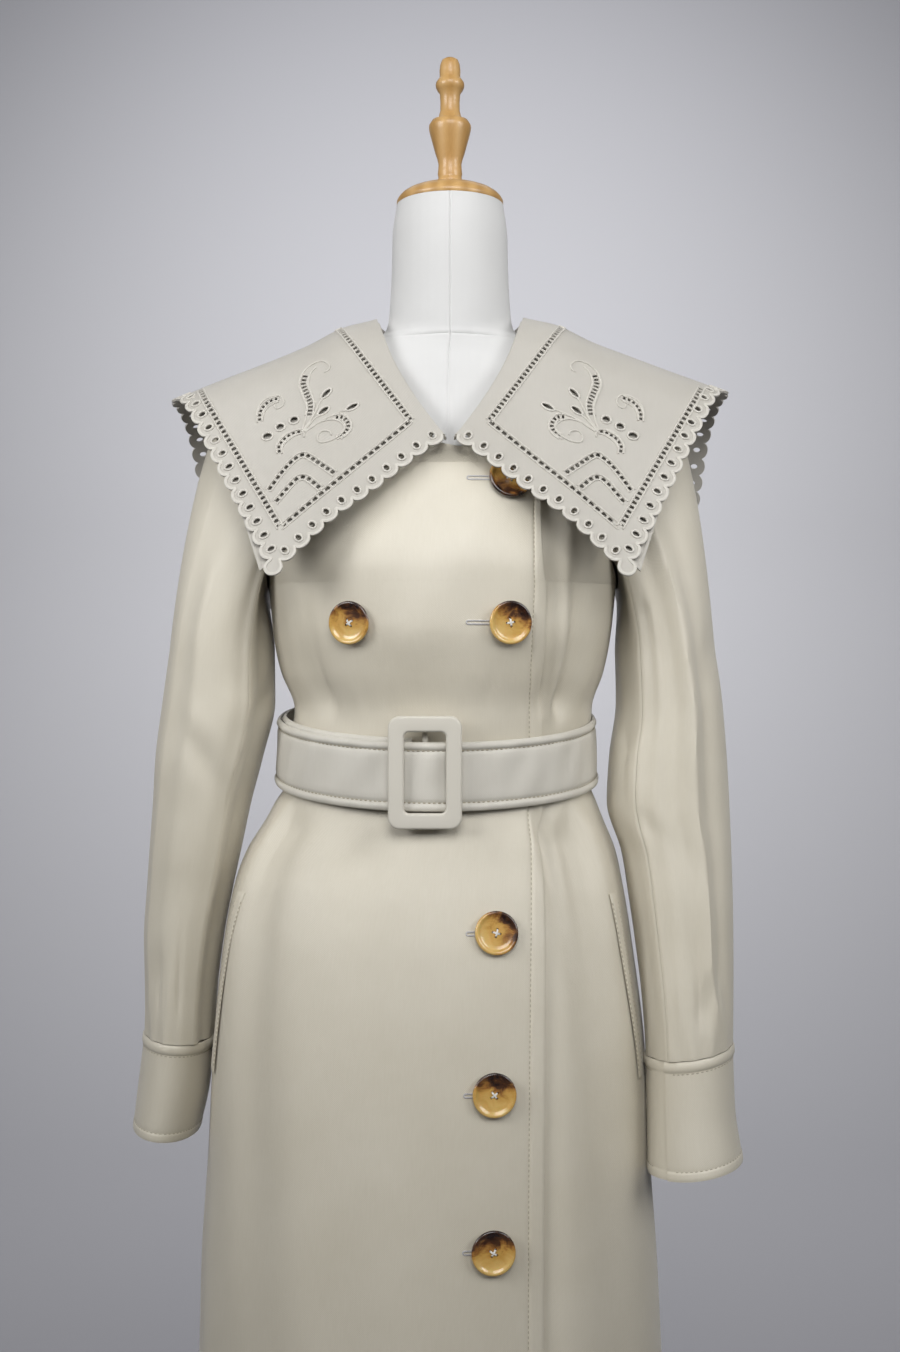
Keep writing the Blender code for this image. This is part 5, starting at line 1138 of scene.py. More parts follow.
def panel_grid(panel):
    """Points and outward directions of one panel of the body."""
    z = body_levels()
    angle, distance = arc_angles(panel.start(z), panel.end(z), z)
    angle = open_armhole(angle, z[:, None])
    level = neck_dip(angle, np.broadcast_to(z[:, None], angle.shape))
    lift = drape(angle, level) + hem_relief(level) + panel.lift(angle, level, distance)
    points, normals = lifted(coat_surface, angle, level, lift)
    return points, relief_normals(points, normals)


def below_collar(z):
    """One below the collar, fading to nothing above the lap's upper corner."""
    return fade_out(z, LAP_CORNER_Z - 0.004, 0.004)


def lap_lift(_angle, z, distance):
    """The stitched edge of the lap."""
    return stitched_edge(distance) * below_collar(z)


def underlap_lift(angle, z, distance):
    """The under front runs below the lap and eases out beside it, as far as its side seam."""
    edge_x = linear_lookup(LAP_EDGE, "z", np.minimum(z, LAP_CORNER_Z), "x")
    beside = ring_point(COAT_ROWS, angle, z)[..., 0] - edge_x
    sunk = UNDERLAP_DEPTH * fade_out(beside, 0.0, 0.020) * fade_out(z, UNDERLAP_TOP_Z, 0.045)
    return side_seam_lift(angle, z, distance) - sunk


def side_seam_lift(_angle, _z, distance):
    """A panel's edge is drawn in at its side seam."""
    return -SEAM_GROOVE * fade_out(distance, 0.0, 0.0030)


def dress(points, normals, node):
    """A hanging cloth piece over a CAD node."""
    piece = cloth_shell(f"{node}_cloth", points, normals, CLOTH, COAT_CLOTH)
    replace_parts(piece, node)


# A panel's columns run anticlockwise from start to end, which are functions of the height. lift is
# its own relief, and cut the share of its flat rectangle that the cloth fills.
Panel = namedtuple("Panel", "node start end lift flat cut")

PANELS = [
    Panel("front_right", lambda z: pi + SIDE_START + 0.0 * z,
          lambda z: front_angle(linear_lookup(LAP_EDGE, "z", z, "x"), z), lap_lift, (0.345, 1.12), 0.86),
    Panel("front_left", lambda z: front_angle(linear_lookup(UNDERLAP_EDGE, "z", z, "x"), z),
          lambda z: 2.0 * pi - SIDE_START + 0.0 * z, underlap_lift, (0.335, 1.12), 0.84),
    Panel("back", lambda z: SIDE_START + 0.0 * z, lambda z: pi - SIDE_START + 0.0 * z,
          side_seam_lift, (0.560, 1.12), 0.80),
]


def make_body():
    """The two fronts and the back; returns the paths of their stitching."""
    levels = body_levels()
    corner = int(np.searchsorted(levels, LAP_CORNER_Z - 0.008))
    hem_row = int(np.searchsorted(levels, COAT_ROWS[0].z + HEM_STITCH_HEIGHT))
    edges, hems = [], []
    for panel in PANELS:
        points, normals = panel_grid(panel)
        dress(points, normals, panel.node)
        hems.append((points[hem_row], normals[hem_row]))
        if panel.lift is lap_lift:
            column = points.shape[1] - 1 - LAP_STITCH
            edges.append((points[:corner, column], normals[:corner, column]))
    return edges + hems


# ================================================================ sleeves and cuffs
def sleeve_levels(side):
    """Values of v of a sleeve's rows, from just above the cuff to the armhole."""
    bottom = CUFF_ENDS[side].top_z + 2.0 * SEAM
    straight = np.arange(bottom + 0.008, SLEEVE_JOIN_Z - 0.003, 0.0050)
    cap = SLEEVE_JOIN_Z + SLEEVE_CAP_SPAN * np.linspace(0.0, 1.0, 40)
    return np.concatenate([[bottom, bottom + 0.0015, bottom + 0.0040], straight, cap])


SLEEVE_CREASES = {
    RIGHT: table(Fold,
        (300, 306, 1.270, 0.900, -0.0020, 7.0), (322, 300, 1.060, 0.960, -0.0014, 5.0),
        (352, 330, 1.120, 1.040, -0.0020, 7.0), (20, 40, 1.100, 1.020, -0.0018, 7.0),
        (250, 262, 1.200, 0.930, 0.0014, 8.0), (284, 277, 0.820, 0.930, -0.0022, 4.5),
        (250, 246, 0.820, 0.900, -0.0018, 4.5), (266, 268, 0.820, 0.880, 0.0012, 4.0)),
    LEFT: table(Fold,
        (243, 240, 1.200, 0.830, -0.0034, 7.0), (205, 225, 1.070, 0.960, -0.0014, 5.0),
        (180, 200, 1.120, 1.040, -0.0020, 7.0), (150, 130, 1.100, 1.020, -0.0018, 7.0),
        (272, 276, 0.820, 0.920, -0.0024, 4.5), (300, 304, 0.820, 0.900, -0.0016, 4.5),
        (248, 252, 0.820, 0.890, 0.0014, 4.0)),
}

# A pressed crease down the sleeve: its angle at each height.
CreaseRow = namedtuple("CreaseRow", "z angle")

PRESSED_CREASE = {
    RIGHT: table(CreaseRow,
        (0.820, 228.0), (0.950, 222.0), (1.120, 224.0), (1.320, 230.0)),
    LEFT: table(CreaseRow,
        (0.825, 303.0), (0.872, 290.0), (0.940, 289.0), (1.060, 285.0), (1.120, 281.0), (1.320, 276.0)),
}
PRESSED_HEIGHT = {RIGHT: 0.0008, LEFT: 0.0036}
SEAM_RIDGE = {RIGHT: 0.0032, LEFT: 0.0018}    # height of the cloth that stands up along a sleeve's seams

# A soft dent across the sleeve, as at the elbow; slope is how far it climbs in metres a degree.
Dent = namedtuple("Dent", "angle z slope width height depth")

DENTS = {
    RIGHT: table(Dent,
        (282.0, 1.028, -0.00085, 26.0, 0.016, -0.0030),
        (262.0, 1.062, -0.00060, 20.0, 0.014, 0.0016),
        (330.0, 1.075, 0.00060, 18.0, 0.012, -0.0020),
        (245.0, 0.865, 0.00050, 18.0, 0.016, -0.0016)),
    LEFT: table(Dent,
        (286.0, 0.848, 0.00070, 16.0, 0.020, -0.0026),
        (215.0, 1.045, 0.00080, 20.0, 0.013, -0.0024),
        (238.0, 0.985, -0.00060, 18.0, 0.012, -0.0016),
        (320.0, 1.120, 0.00040, 20.0, 0.018, -0.0018)),
}


def dent_height(dents, angle, z):
    """How far the dents push the cloth out at angles and heights."""
    total = np.zeros(angle.shape)
    for dent in dents:
        apart = angle_apart(angle, dent.angle)
        total += dent.depth * bump(apart, dent.width) * bump(z - dent.z - dent.slope * apart, dent.height)
    return total


PRESSED_START, PRESSED_GROWTH = 0.820, 0.030    # height where the crease begins, and over what length
PRESSED_END, PRESSED_FADE = 1.220, 0.080        # and where it fades out


def pressed_height(side, angle, v):
    """A sharp crease with slightly hollow cloth on both sides of it."""
    apart = np.abs(angle_apart(angle, linear_lookup(PRESSED_CREASE[side], "z", v, "angle")))
    shown = smoothstep((v - PRESSED_START) / PRESSED_GROWTH) * fade_out(v, PRESSED_END, PRESSED_FADE)
    return PRESSED_HEIGHT[side] * (np.exp(-apart / 6.0) - 0.55 * bump(apart - 17.0, 9.0)) * shown


SLEEVE_RADIUS = 0.05              # rough radius of a sleeve, which turns angles into lengths
# Number of columns of each part of a sleeve.
PART_COLUMNS = {"top": 130, "under": 52}


def make_sleeve(side, name):
    """The top and the under part of a sleeve, with their edges turned in at the two seams."""
    inner = pi if side == LEFT else 0.0
    reach = UNDER_SLEEVE_TURN + SEAM / 2.0 / SLEEVE_RADIUS
    under_reach = UNDER_SLEEVE_TURN - SEAM / 2.0 / SLEEVE_RADIUS
    ends = {"top": (inner + reach, inner + 2.0 * pi - reach),
            "under": (inner - under_reach, inner + under_reach)}
    for part, (start, end) in ends.items():
        angle, v = np.meshgrid(np.linspace(start, end, PART_COLUMNS[part]), sleeve_levels(side))
        across = np.minimum(angle - start, end - angle) * SLEEVE_RADIUS
        seam = SEAM_RIDGE[side] * np.exp(-across / 0.006) - 0.0010 * fade_out(across, 0.0, 0.0022)
        hollow = -SEAM_RIDGE[side] * bump(across - 0.018, 0.010) if part == "under" else 0.0
        lift = (seam + hollow + fold_height(SLEEVE_CREASES[side], angle, v)
                + dent_height(DENTS[side], angle, v) + pressed_height(side, angle, v))
        points, normals = lifted(sleeve_surface(side), angle, v, lift)
        dress(points, relief_normals(points, normals), f"{name}_{part}")


# Heights of a cuff's rows above its lower edge, and of its last rows from the lower edge of its band.
CUFF_HEM_STEPS = (0.0, 0.0006, 0.0015, 0.003, 0.0050, 0.0062, CUFF_HEM, 0.0078, 0.009)
CUFF_BAND_STEPS = (-0.0022, -0.0008, 0.0, 0.0008, 0.0022, 0.0042, 0.0062, 0.0075)
CUFF_END_SHARES = np.array([0.0, 0.004, 0.010, 0.02])


TUCK_START, TUCK_SPAN = 0.86, 0.09    # shares of the way round: where the lower end dips, and over how much
TUCK_SPACE = 0.0009               # between the two ends of a cuff where they overlap
CUFF_HEM_HEIGHT, CUFF_SWELL = 0.0004, 0.0006    # heights of the hem's ridge and of the soft swells


def cuff_lift(end, angle, rise, share):
    """Relief of a cuff: its raised band, its hem, soft swells, and the end tucked below the outer one."""
    tuck = smoothstep((share - TUCK_START) / TUCK_SPAN)
    band = rise - (end.top_z - end.bottom_z - CUFF_BAND)
    sloped = 1.0 - 0.7 * smoothstep((band - CUFF_BAND + 0.0020) / 0.0018)
    raised = CUFF_BAND_RAISE * smoothstep(band / 0.0018) * sloped
    hem = CUFF_HEM_HEIGHT * smoothstep(rise / 0.0015) * fade_out(rise, CUFF_HEM - 0.001, 0.0015)
    hem -= CUFF_HEM_HEIGHT * bump(rise - CUFF_HEM, 0.0009)
    swell = CUFF_SWELL * np.sin(6.0 * angle + 30.0 * (end.bottom_z + rise))
    soft = swell * smoothstep(rise / 0.02) * (1.0 - smoothstep(band / -0.02 + 1.0))
    return (raised + hem + soft) * (1.0 - 0.8 * tuck) - (CLOTH + TUCK_SPACE) * tuck


def make_cuff(side, name):
    """A cuff whose outer end laps over the inner one; returns the paths of its stitching."""
    end = CUFF_ENDS[side]
    height = end.top_z - end.bottom_z
    turn = end.turn * (2.0 * pi + CUFF_OVERLAP)
    share = np.concatenate([CUFF_END_SHARES, np.linspace(0.03, 0.97, 96), 1.0 - CUFF_END_SHARES[::-1]])
    up = np.concatenate([CUFF_HEM_STEPS, np.arange(0.012, height - CUFF_BAND - 0.003, 0.004),
                         height - CUFF_BAND + np.array(CUFF_BAND_STEPS), [height - 0.0004, height]])
    share_grid, rise = np.meshgrid(share, up)
    angle = radians(end.slit_angle) + turn * share_grid
    lift = cuff_lift(end, angle, rise, share_grid)
    points, normals = lifted(cuff_surface(side), angle, end.bottom_z + rise, lift)
    normals = relief_normals(points, normals)
    if end.turn < 0:
        points, normals = points[:, ::-1], normals[:, ::-1]
    dress(points, normals, name)
    shown = slice(4, -12) if end.turn > 0 else slice(12, -4)
    rows = [int(np.argmin(np.abs(up - level))) for level in (CUFF_HEM, height - CUFF_BAND - 0.0008)]
    return [(points[row, shown], normals[row, shown]) for row in rows]


# ================================================================ collar
SCALLOP_STEPS = 10
LOBE_STEPS, LOBE_REACH = 26, 112.0  # a corner's lobe goes this many degrees round to each side
EYELET_SIDES = 16
SLOT_SIDES = 8
CHART_STEPS = 120                 # places along a line of the collar
CURVE_STEPS = 14                  # places between two points of a soft curve
NECK_FRONT_STEPS, NECK_BACK_STEPS = 26, 44
COLLAR_FILL, UNDER_COLLAR_FILL = 0.0052, 0.0065   # spacing of the points inside the two outlines
SATIN_WIDTH, EYELET_SATIN_WIDTH, SATIN_HEIGHT = 0.0013, 0.0009, 0.00075
SATIN_INSET, SATIN_GROWTH = 0.0010, 0.0006    # middle of the satin: inside the outline, outside an eyelet
LADDER_CORD_SPACE = 0.0008        # from the end of a ladder's slots to the cord beside them
ROLLED_INSET = 0.0016             # from the under collar's outline to the middle of its rolled edge
CORD_WIDTH, CORD_HEIGHT = 0.00070, 0.00075
CORD_SPACING = 0.0016
ROLLED_WIDTH, ROLLED_HEIGHT, ROLLED_SPACING = 0.0012, 0.0004, 0.002


def dot(first, second):
    """Products of two arrays of vectors."""
    return np.sum(first * second, axis=-1)


def collar_length(x, z, face):
    """Length along the cloth at which the collar is at a given x and height."""
    radius, lean = COLLAR_SIDES[face]
    drop = np.maximum(ridge_height(x) - z, 0.0)
    curve_drop = radius * (1.0 - sin(lean))
    curved = radius * np.arccos(1.0 - np.minimum(drop, curve_drop) / radius)
    straight = radius * (pi / 2.0 - lean) + (drop - curve_drop) / cos(lean)
    length = np.where(drop <= curve_drop, curved, straight)
    return -length if face == "front" else length


# Length along the cloth from the ridge down to the collar's front edge at the neck.
FRONT_LENGTH = float(collar_length(-NECK_FRONT_X, COLLAR_FRONT_EDGE.z, "front"))


def chart_places(points, face, side):
    """Chart points of a line given by x and height in the view along the body."""
    x, z = np.array(points, float).T
    return np.stack([side * x, collar_length(side * x, z, face)], axis=-1)


def chart_corner(corner, side):
    """Chart point of a corner on one side."""
    return chart_places([(corner.x, corner.z)], corner.face, side)[0]


COLLAR_WAVE = 0.0007              # half the height of the collar's soft waves
COLLAR_WAVE_START, COLLAR_WAVE_GROWTH = 0.085, 0.10    # how far out they begin, and over what length


def collar_drape(x, length):
    """Soft waves of the collar's cloth, nothing at the roll line."""
    away = smoothstep((np.hypot(x, 0.8 * length) - COLLAR_WAVE_START) / COLLAR_WAVE_GROWTH)
    waves = 1.0 + np.sin(38.0 * x + 24.0 * length) * np.cos(21.0 * x - 33.0 * length + 0.7)
    return away * COLLAR_WAVE * waves


def draped_collar(x, length):
    """The collar's surface with the waves of its cloth."""
    normals = normals_of(collar_surface, x, length)
    return collar_surface(x, length) + normals * collar_drape(x, length)[..., None]


def on_collar(places, lift=0.0):
    """Points and outward directions at chart points of the collar."""
    x, length = places[..., 0], places[..., 1]
    return lifted(draped_collar, x, length, lift)


def chart_step(places, moves):
    """Chart points reached from others by small moves in space."""
    x, length = places[..., 0], places[..., 1]
    along_x = (collar_surface(x + STEP, length) - collar_surface(x - STEP, length)) / (2.0 * STEP)
    along_s = (collar_surface(x, length + STEP) - collar_surface(x, length - STEP)) / (2.0 * STEP)
    xx, xs, ss = dot(along_x, along_x), dot(along_x, along_s), dot(along_s, along_s)
    right_x, right_s = dot(along_x, moves), dot(along_s, moves)
    scale = xx * ss - xs * xs
    step = np.stack([(right_x * ss - right_s * xs) / scale, (right_s * xx - right_x * xs) / scale], axis=-1)
    return places + step


def chart_loop(centre, moves):
    """Chart points reached from one place by several moves."""
    return chart_step(np.repeat(centre[None], len(moves), axis=0), moves)


def chart_frame(start, end, place):
    """Directions along a chart line, and out of the cloth, at one place."""
    move = (end - start) / np.linalg.norm(end - start) * STEP
    along = unit(collar_surface(*(place + move)) - collar_surface(*place))
    return along, normals_of(collar_surface, *place)


def line_lengths(places):
    """Length along a chart line at each of its points."""
    return running_lengths(collar_surface(places[:, 0], places[:, 1]))


def sample_chart(places, targets):
    """Chart points at given lengths along a chart line."""
    return sample_line(places, line_lengths(places), targets)


def spaced_chart(places, spacing, fewest=2):
    """A chart line with its points about a spacing apart."""
    whole = line_lengths(places)[-1]
    return sample_chart(places, np.linspace(0.0, whole, max(fewest, round(whole / spacing))))


def straight_chart(start, end):
    """A straight chart line."""
    return start + (end - start) * np.linspace(0.0, 1.0, CHART_STEPS)[:, None]


def neck_front(part):
    """Distance from the middle of the neck opening's edge at parts of its way from the front to the ridge."""
    return NECK_FRONT_X + (NECK_SIDE_X - NECK_FRONT_X) * np.sin(part * pi / 2.0) ** 0.9


def neck_opening():
    """Chart points round the neck opening, from the right front edge round the back to the left."""
    part = np.linspace(0.0, 1.0, NECK_FRONT_STEPS)
    right = np.stack([-neck_front(part), FRONT_LENGTH * (1.0 - part)], axis=-1)
    turn = pi * np.arange(1, NECK_BACK_STEPS) / NECK_BACK_STEPS
    back = np.stack([-NECK_SIDE_X * np.cos(turn), NECK_BACK_REACH * np.sin(turn)], axis=-1)
    return np.concatenate([right, back, right[::-1] * (-1.0, 1.0)])


def level_chart(start, end, count=CHART_STEPS):
    """A level line across the back from one corner to the other."""
    across = np.linspace(start[0], end[0], count)
    level = float(collar_surface(*start)[2])
    return np.stack([across, collar_length(across, level, "back")], axis=-1)


def edge_line(places, trim_start, trim_end):
    """Base line of one scalloped edge, as chart points about one pitch apart."""
    whole = line_lengths(places)[-1]
    count = max(1, round((whole - trim_start - trim_end) / SCALLOP_PITCH))
    return sample_chart(places, np.linspace(trim_start, whole - trim_end, count + 1))


def scallop_points(start, end):
    """Chart points of one scallop from valley to valley, without its last valley."""
    middle = (start + end) / 2.0
    along, normal = chart_frame(start, end, middle)
    width = np.linalg.norm(collar_surface(*end) - collar_surface(*start))
    turn = pi * np.arange(1, SCALLOP_STEPS) / SCALLOP_STEPS
    across, depth = -0.5 * np.cos(turn) * width, np.sin(turn) ** 0.9 * SCALLOP_DEPTH
    moves = along * across[:, None] + np.cross(along, normal) * depth[:, None]
    return np.concatenate([start[None], chart_loop(middle, moves)])


def lobe_points(corner, before, after):
    """Chart points of the larger round lobe at a corner of the edge."""
    arriving, normal = chart_frame(before, corner, corner)
    leaving, _ = chart_frame(corner, after, corner)
    outward = unit(np.cross(arriving, normal) + np.cross(leaving, normal))
    turn = np.radians(np.linspace(-LOBE_REACH, LOBE_REACH, LOBE_STEPS))[:, None]
    moves = (outward * (0.25 + np.cos(turn)) + np.cross(normal, outward) * np.sin(turn)) * CORNER_LOBE_RADIUS
    return chart_loop(corner, moves)


def collar_corners(side):
    """Base corners of the scalloped edge on one side, from the front edge to the back corner."""
    return [chart_corner(COLLAR_FRONT_EDGE, side), chart_corner(COLLAR_POINT, side),
            np.array((side * COLLAR_SHOULDER_X, 0.0)), chart_corner(COLLAR_BACK_CORNER, side)]


def eyelet_loop(centre, long_way, short_way, length, width):
    """Chart points round an oval hole."""
    turn = turns(EYELET_SIDES)[:, None]
    moves = long_way * (np.cos(turn) * length / 2.0) + short_way * (np.sin(turn) * width / 2.0)
    return chart_loop(centre, moves)


def edge_eyelet(start, end):
    """Chart points round the hole inside one scallop."""
    middle = (start + end) / 2.0
    along, normal = chart_frame(start, end, middle)
    inward = np.cross(normal, along)
    return eyelet_loop(chart_step(middle, inward * EYELET_INSET), inward, along, EYELET_LENGTH, EYELET_WIDTH)


BACK_EDGE = 3                     # place of the edge across the back among the edges of the collar
LOBED_CORNERS = {1, 3, 4, 6}      # the collar's points and back corners; the shoulders run on


def scalloped_edge():
    """Outline and eyelets of the scalloped edge, from the left front edge to the right one."""
    corners = collar_corners(LEFT) + collar_corners(RIGHT)[::-1]
    outline, eyelets = [], []
    for index, (start, end) in enumerate(zip(corners, corners[1:])):
        places = level_chart(start, end) if index == BACK_EDGE else straight_chart(start, end)
        trims = [CORNER_TRIM if corner in LOBED_CORNERS else 0.0 for corner in (index, index + 1)]
        line = edge_line(places, *trims)
        for first, second in zip(line, line[1:]):
            outline.append(scallop_points(first, second))
            eyelets.append(edge_eyelet(first, second))
        if index + 1 in LOBED_CORNERS:
            outline += [line[-1][None], lobe_points(end, start, corners[index + 2])]
    outline.append(corners[-1][None])
    return np.concatenate(outline), eyelets


def motif_eyelets(side):
    """Chart points round the holes of the scroll work on one side."""
    loops = []
    for row in MOTIF_EYELETS:
        centre = chart_places([(row.x, row.z)], "front", side)[0]
        normal = normals_of(collar_surface, *centre)
        upward = unit(UP - normal * dot(normal, UP))
        lean = radians(row.lean) * side
        long_way = upward * cos(lean) + np.cross(upward, normal) * sin(lean)
        loops.append(eyelet_loop(centre, long_way, np.cross(long_way, normal), row.length, row.width))
    return loops


def smooth_curve(points):
    """A soft curve through a few points."""
    points = np.asarray(points, float)
    if len(points) == 2:
        return points[0] + (points[1] - points[0]) * np.linspace(0.0, 1.0, 40)[:, None]
    padded = np.concatenate([[2 * points[0] - points[1]], points, [2 * points[-1] - points[-2]]])
    part = np.arange(CURVE_STEPS)[:, None] / CURVE_STEPS
    pieces = [0.5 * (2 * b + (c - a) * part + (2 * a - 5 * b + 4 * c - d) * part ** 2
                     + (3 * b - a - 3 * c + d) * part ** 3)
              for a, b, c, d in zip(padded, padded[1:], padded[2:], padded[3:])]
    return np.concatenate(pieces + [points[-1:]])


def ladder_slots(row, side):
    """Loops of one ladder's slots."""
    line = chart_places(smooth_curve(row.points), row.face, side)
    whole = line_lengths(line)[-1]
    count = max(1, round(whole / row.pitch))
    targets = (np.arange(count) + 0.5) * whole / count
    corner_x, corner_y = (signed_power(way(turns(SLOT_SIDES, 0.5)), 0.6)[:, None] for way in (np.cos, np.sin))
    loops = []
    for centre, after in zip(sample_chart(line, targets), sample_chart(line, targets + 0.0004)):
        along, normal = chart_frame(centre, after, centre)
        across = np.cross(along, normal)
        moves = along * (corner_x * row.slot / 2.0) + across * (corner_y * row.width / 2.0)
        loops.append(chart_loop(centre, moves))
    return loops


def beside_line(line, distance):
    """A chart line moved sideways by a distance."""
    spots, normals = on_collar(line)
    ahead = unit(np.gradient(spots, axis=0))
    return chart_step(line, np.cross(ahead, normals) * distance)


def collar_cord(line, half_width, height, closed=False, sides=6):
    """A raised cord along a chart line."""
    if not closed:
        line = spaced_chart(line, CORD_SPACING, 3)
    path, normals = on_collar(line, height * 0.35)
    return cord_mesh(path, normals, half_width, height, closed, sides)


def grown_loop(loop, distance):
    """A closed chart loop moved outward from its middle."""
    spots = collar_surface(loop[:, 0], loop[:, 1])
    away = unit(spots - spots.mean(axis=0))
    return chart_step(loop, away * distance)


def inside(points, loop):
    """Which chart points lie inside a closed loop."""
    hit = np.zeros(len(points), bool)
    for first, second in zip(loop, np.roll(loop, -1, axis=0)):
        spans = (first[1] > points[:, 1]) != (second[1] > points[:, 1])
        rise = second[1] - first[1] if second[1] != first[1] else 1.0
        cross_x = first[0] + (points[:, 1] - first[1]) * (second[0] - first[0]) / rise
        hit ^= spans & (points[:, 0] < cross_x)
    return hit


def filling_points(outline, loops, spacing, clearance):
    """Points spread evenly inside an outline, clear of all its edges."""
    low, high = outline.min(axis=0), outline.max(axis=0)
    columns = np.arange(low[0], high[0], spacing)
    grid = np.array([(x + spacing / 2.0 * (row % 2), y)
                     for row, y in enumerate(np.arange(low[1], high[1], spacing * 0.866)) for x in columns])
    grid = grid[inside(grid, outline)]
    for loop in [outline] + loops:
        grid = grid[np.linalg.norm(grid[:, None] - loop[None], axis=-1).min(axis=1) > clearance]
    return grid


def chart_triangles(outline, holes, fill):
    """Chart points and triangles inside an outline, without those in its holes."""
    loops = [outline] + holes
    coordinates = np.concatenate(loops + [fill])
    owner = np.full(len(coordinates), -1)
    edges, first = [], 0
    for number, loop in enumerate(loops):
        edges += [(first + index, first + (index + 1) % len(loop)) for index in range(len(loop))]
        owner[first:first + len(loop)] = number
        first += len(loop)
    places = [Vector(place) for place in coordinates]
    flat, _, triangles, sources, _, _ = delaunay_2d_cdt(places, edges, [], 1, 1e-9)
    label = np.array([owner[source[0]] if source else -1 for source in sources])
    triangles = np.array([tuple(triangle) for triangle in triangles])
    marks = label[triangles]
    in_hole = (marks[:, 0] > 0) & (marks == marks[:, :1]).all(axis=1)
    return np.array([tuple(place) for place in flat]), triangles[~in_hole]


def chart_sheet(name, outline, holes, spacing, lift, thickness):
    """A cloth wall on the collar's surface inside an outline, with holes cut through."""
    fill = filling_points(outline, holes, spacing, spacing * 0.45)
    flat, triangles = chart_triangles(outline, holes, fill)
    outer, normals = on_collar(flat, lift(flat))
    inner = outer - normals * thickness
    count = len(flat)
    sides = {(int(a), int(b)) for triangle in triangles for a, b in zip(triangle, np.roll(triangle, -1))}
    faces = [tuple(triangle) for triangle in triangles.tolist()]
    faces += [tuple(index + count for index in face[::-1]) for face in faces]
    faces += [(b, a, a + count, b + count) for a, b in sorted(sides) if (b, a) not in sides]
    vertices = np.concatenate([outer, inner])
    used = np.unique(np.concatenate([triangles.ravel(), triangles.ravel() + count]))
    place = np.full(len(vertices), -1)
    place[used] = np.arange(len(used))
    faces = [tuple(int(place[index]) for index in face) for face in faces]
    uv = np.concatenate([flat, flat])
    return add_mesh(name, vertices[used], faces, COLLAR_CLOTH, uv[used])


def roll_distance(places):
    """Rough distance from chart points to the roll line round the neck."""
    x, length = np.abs(places[..., 0]), places[..., 1]
    front = x - neck_front(np.clip(1.0 - length / FRONT_LENGTH, 0.0, 1.0))
    back = (np.hypot(x / NECK_SIDE_X, length / NECK_BACK_REACH) - 1.0) * NECK_SIDE_X
    return np.maximum(np.where(length < 0.0, front, back), 0.0)


def under_collar_lift(places):
    """How far the under collar lies below the upper one, as a lift."""
    air = SEAM + (COLLAR_AIR - SEAM) * smoothstep(roll_distance(places) / 0.020)
    return -(CUTWORK_WALL + air)


def under_edge(side):
    """Plain edge of the under collar on one side, from the front edge to the back corner."""
    front = [chart_corner(corner, side) for corner in (UNDER_FRONT_EDGE, UNDER_NOTCH, UNDER_POINT)]
    corners = front + [np.array((side * UNDER_SHOULDER_X, 0.0)), chart_corner(UNDER_BACK_CORNER, side)]
    line = []
    for start, end in zip(corners, corners[1:]):
        pieces = max(1, round(np.linalg.norm(end - start) / 0.005))
        line += [start + (end - start) * step / pieces for step in range(pieces)]
    return np.array(line + [corners[-1]])


def collar_cut(edge):
    """Width along the shoulders and length from front to back of the cloth inside an edge."""
    reach = np.abs(edge[:, 0]).max()
    shoulders = straight_chart(np.array((-reach, 0.0)), np.array((reach, 0.0)))
    return float(line_lengths(shoulders)[-1]), float(np.ptp(edge[:, 1]))


def make_embroidery(edge, loops):
    """Satin edging along the scallops and round the eyelets, and the cords of the ladders and scrolls."""
    cords = [collar_cord(beside_line(edge, -SATIN_INSET), SATIN_WIDTH, SATIN_HEIGHT, sides=8)]
    for loop in loops:
        grown = grown_loop(loop, SATIN_GROWTH)
        cords.append(collar_cord(grown, EYELET_SATIN_WIDTH, SATIN_HEIGHT, closed=True, sides=8))
    for side in (RIGHT, LEFT):
        lines = []
        for row in LADDERS:
            line = chart_places(smooth_curve(row.points), row.face, side)
            lines += [beside_line(line, sign * (row.width / 2.0 + LADDER_CORD_SPACE)) for sign in (-1.0, 1.0)]
        lines += [chart_places(smooth_curve(row.points), "front", side) for row in SCROLL_LINES]
        cords += [collar_cord(line, CORD_WIDTH, CORD_HEIGHT) for line in lines]
    return add_joined("collar_embroidery", cords, COLLAR_THREAD)


def make_collar():
    """Cutwork collar, its embroidery, the plain collar below it and the band inside the neck."""
    edge, eyelets = scalloped_edge()
    neck = neck_opening()
    motif = motif_eyelets(RIGHT) + motif_eyelets(LEFT)
    slots = [loop for side in (RIGHT, LEFT) for row in LADDERS for loop in ladder_slots(row, side)]
    cutwork = chart_sheet("collar_cutwork_cloth", np.concatenate([edge, neck]), eyelets + motif + slots,
                          COLLAR_FILL, lambda places: np.zeros(len(places)), CUTWORK_WALL)
    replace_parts(cutwork, "collar_cutwork")
    embroidery = make_embroidery(edge, eyelets + motif)
    collar_cut(edge)
    under, rolled, plain_edge = make_under_collar(neck)
    band = make_collar_stand(neck)
    collar_cut(plain_edge)


def make_under_collar(neck):
    """The plain collar and its rolled edge, with the outline that it was cut by."""
    left, right = under_edge(LEFT), under_edge(RIGHT)
    edge = np.concatenate([left, level_chart(left[-1], right[-1], 90)[1:-1], right[::-1]])
    under = chart_sheet("collar_under_cloth", np.concatenate([edge, neck]), [], UNDER_COLLAR_FILL,
                        under_collar_lift, UNDER_COLLAR_WALL)
    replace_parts(under, "collar_under")
    cords = [lowered_cord(beside_line(line, -ROLLED_INSET)) for line in (left, right[::-1])]
    rolled = add_joined("collar_under_edge", cords, COLLAR_CLOTH)
    return under, rolled, edge


def lowered_cord(line):
    """The rolled edge of the under collar."""
    line = spaced_chart(line, ROLLED_SPACING)
    path, normals = on_collar(line, under_collar_lift(line))
    return cord_mesh(path, normals, ROLLED_WIDTH, ROLLED_HEIGHT, sides=8)


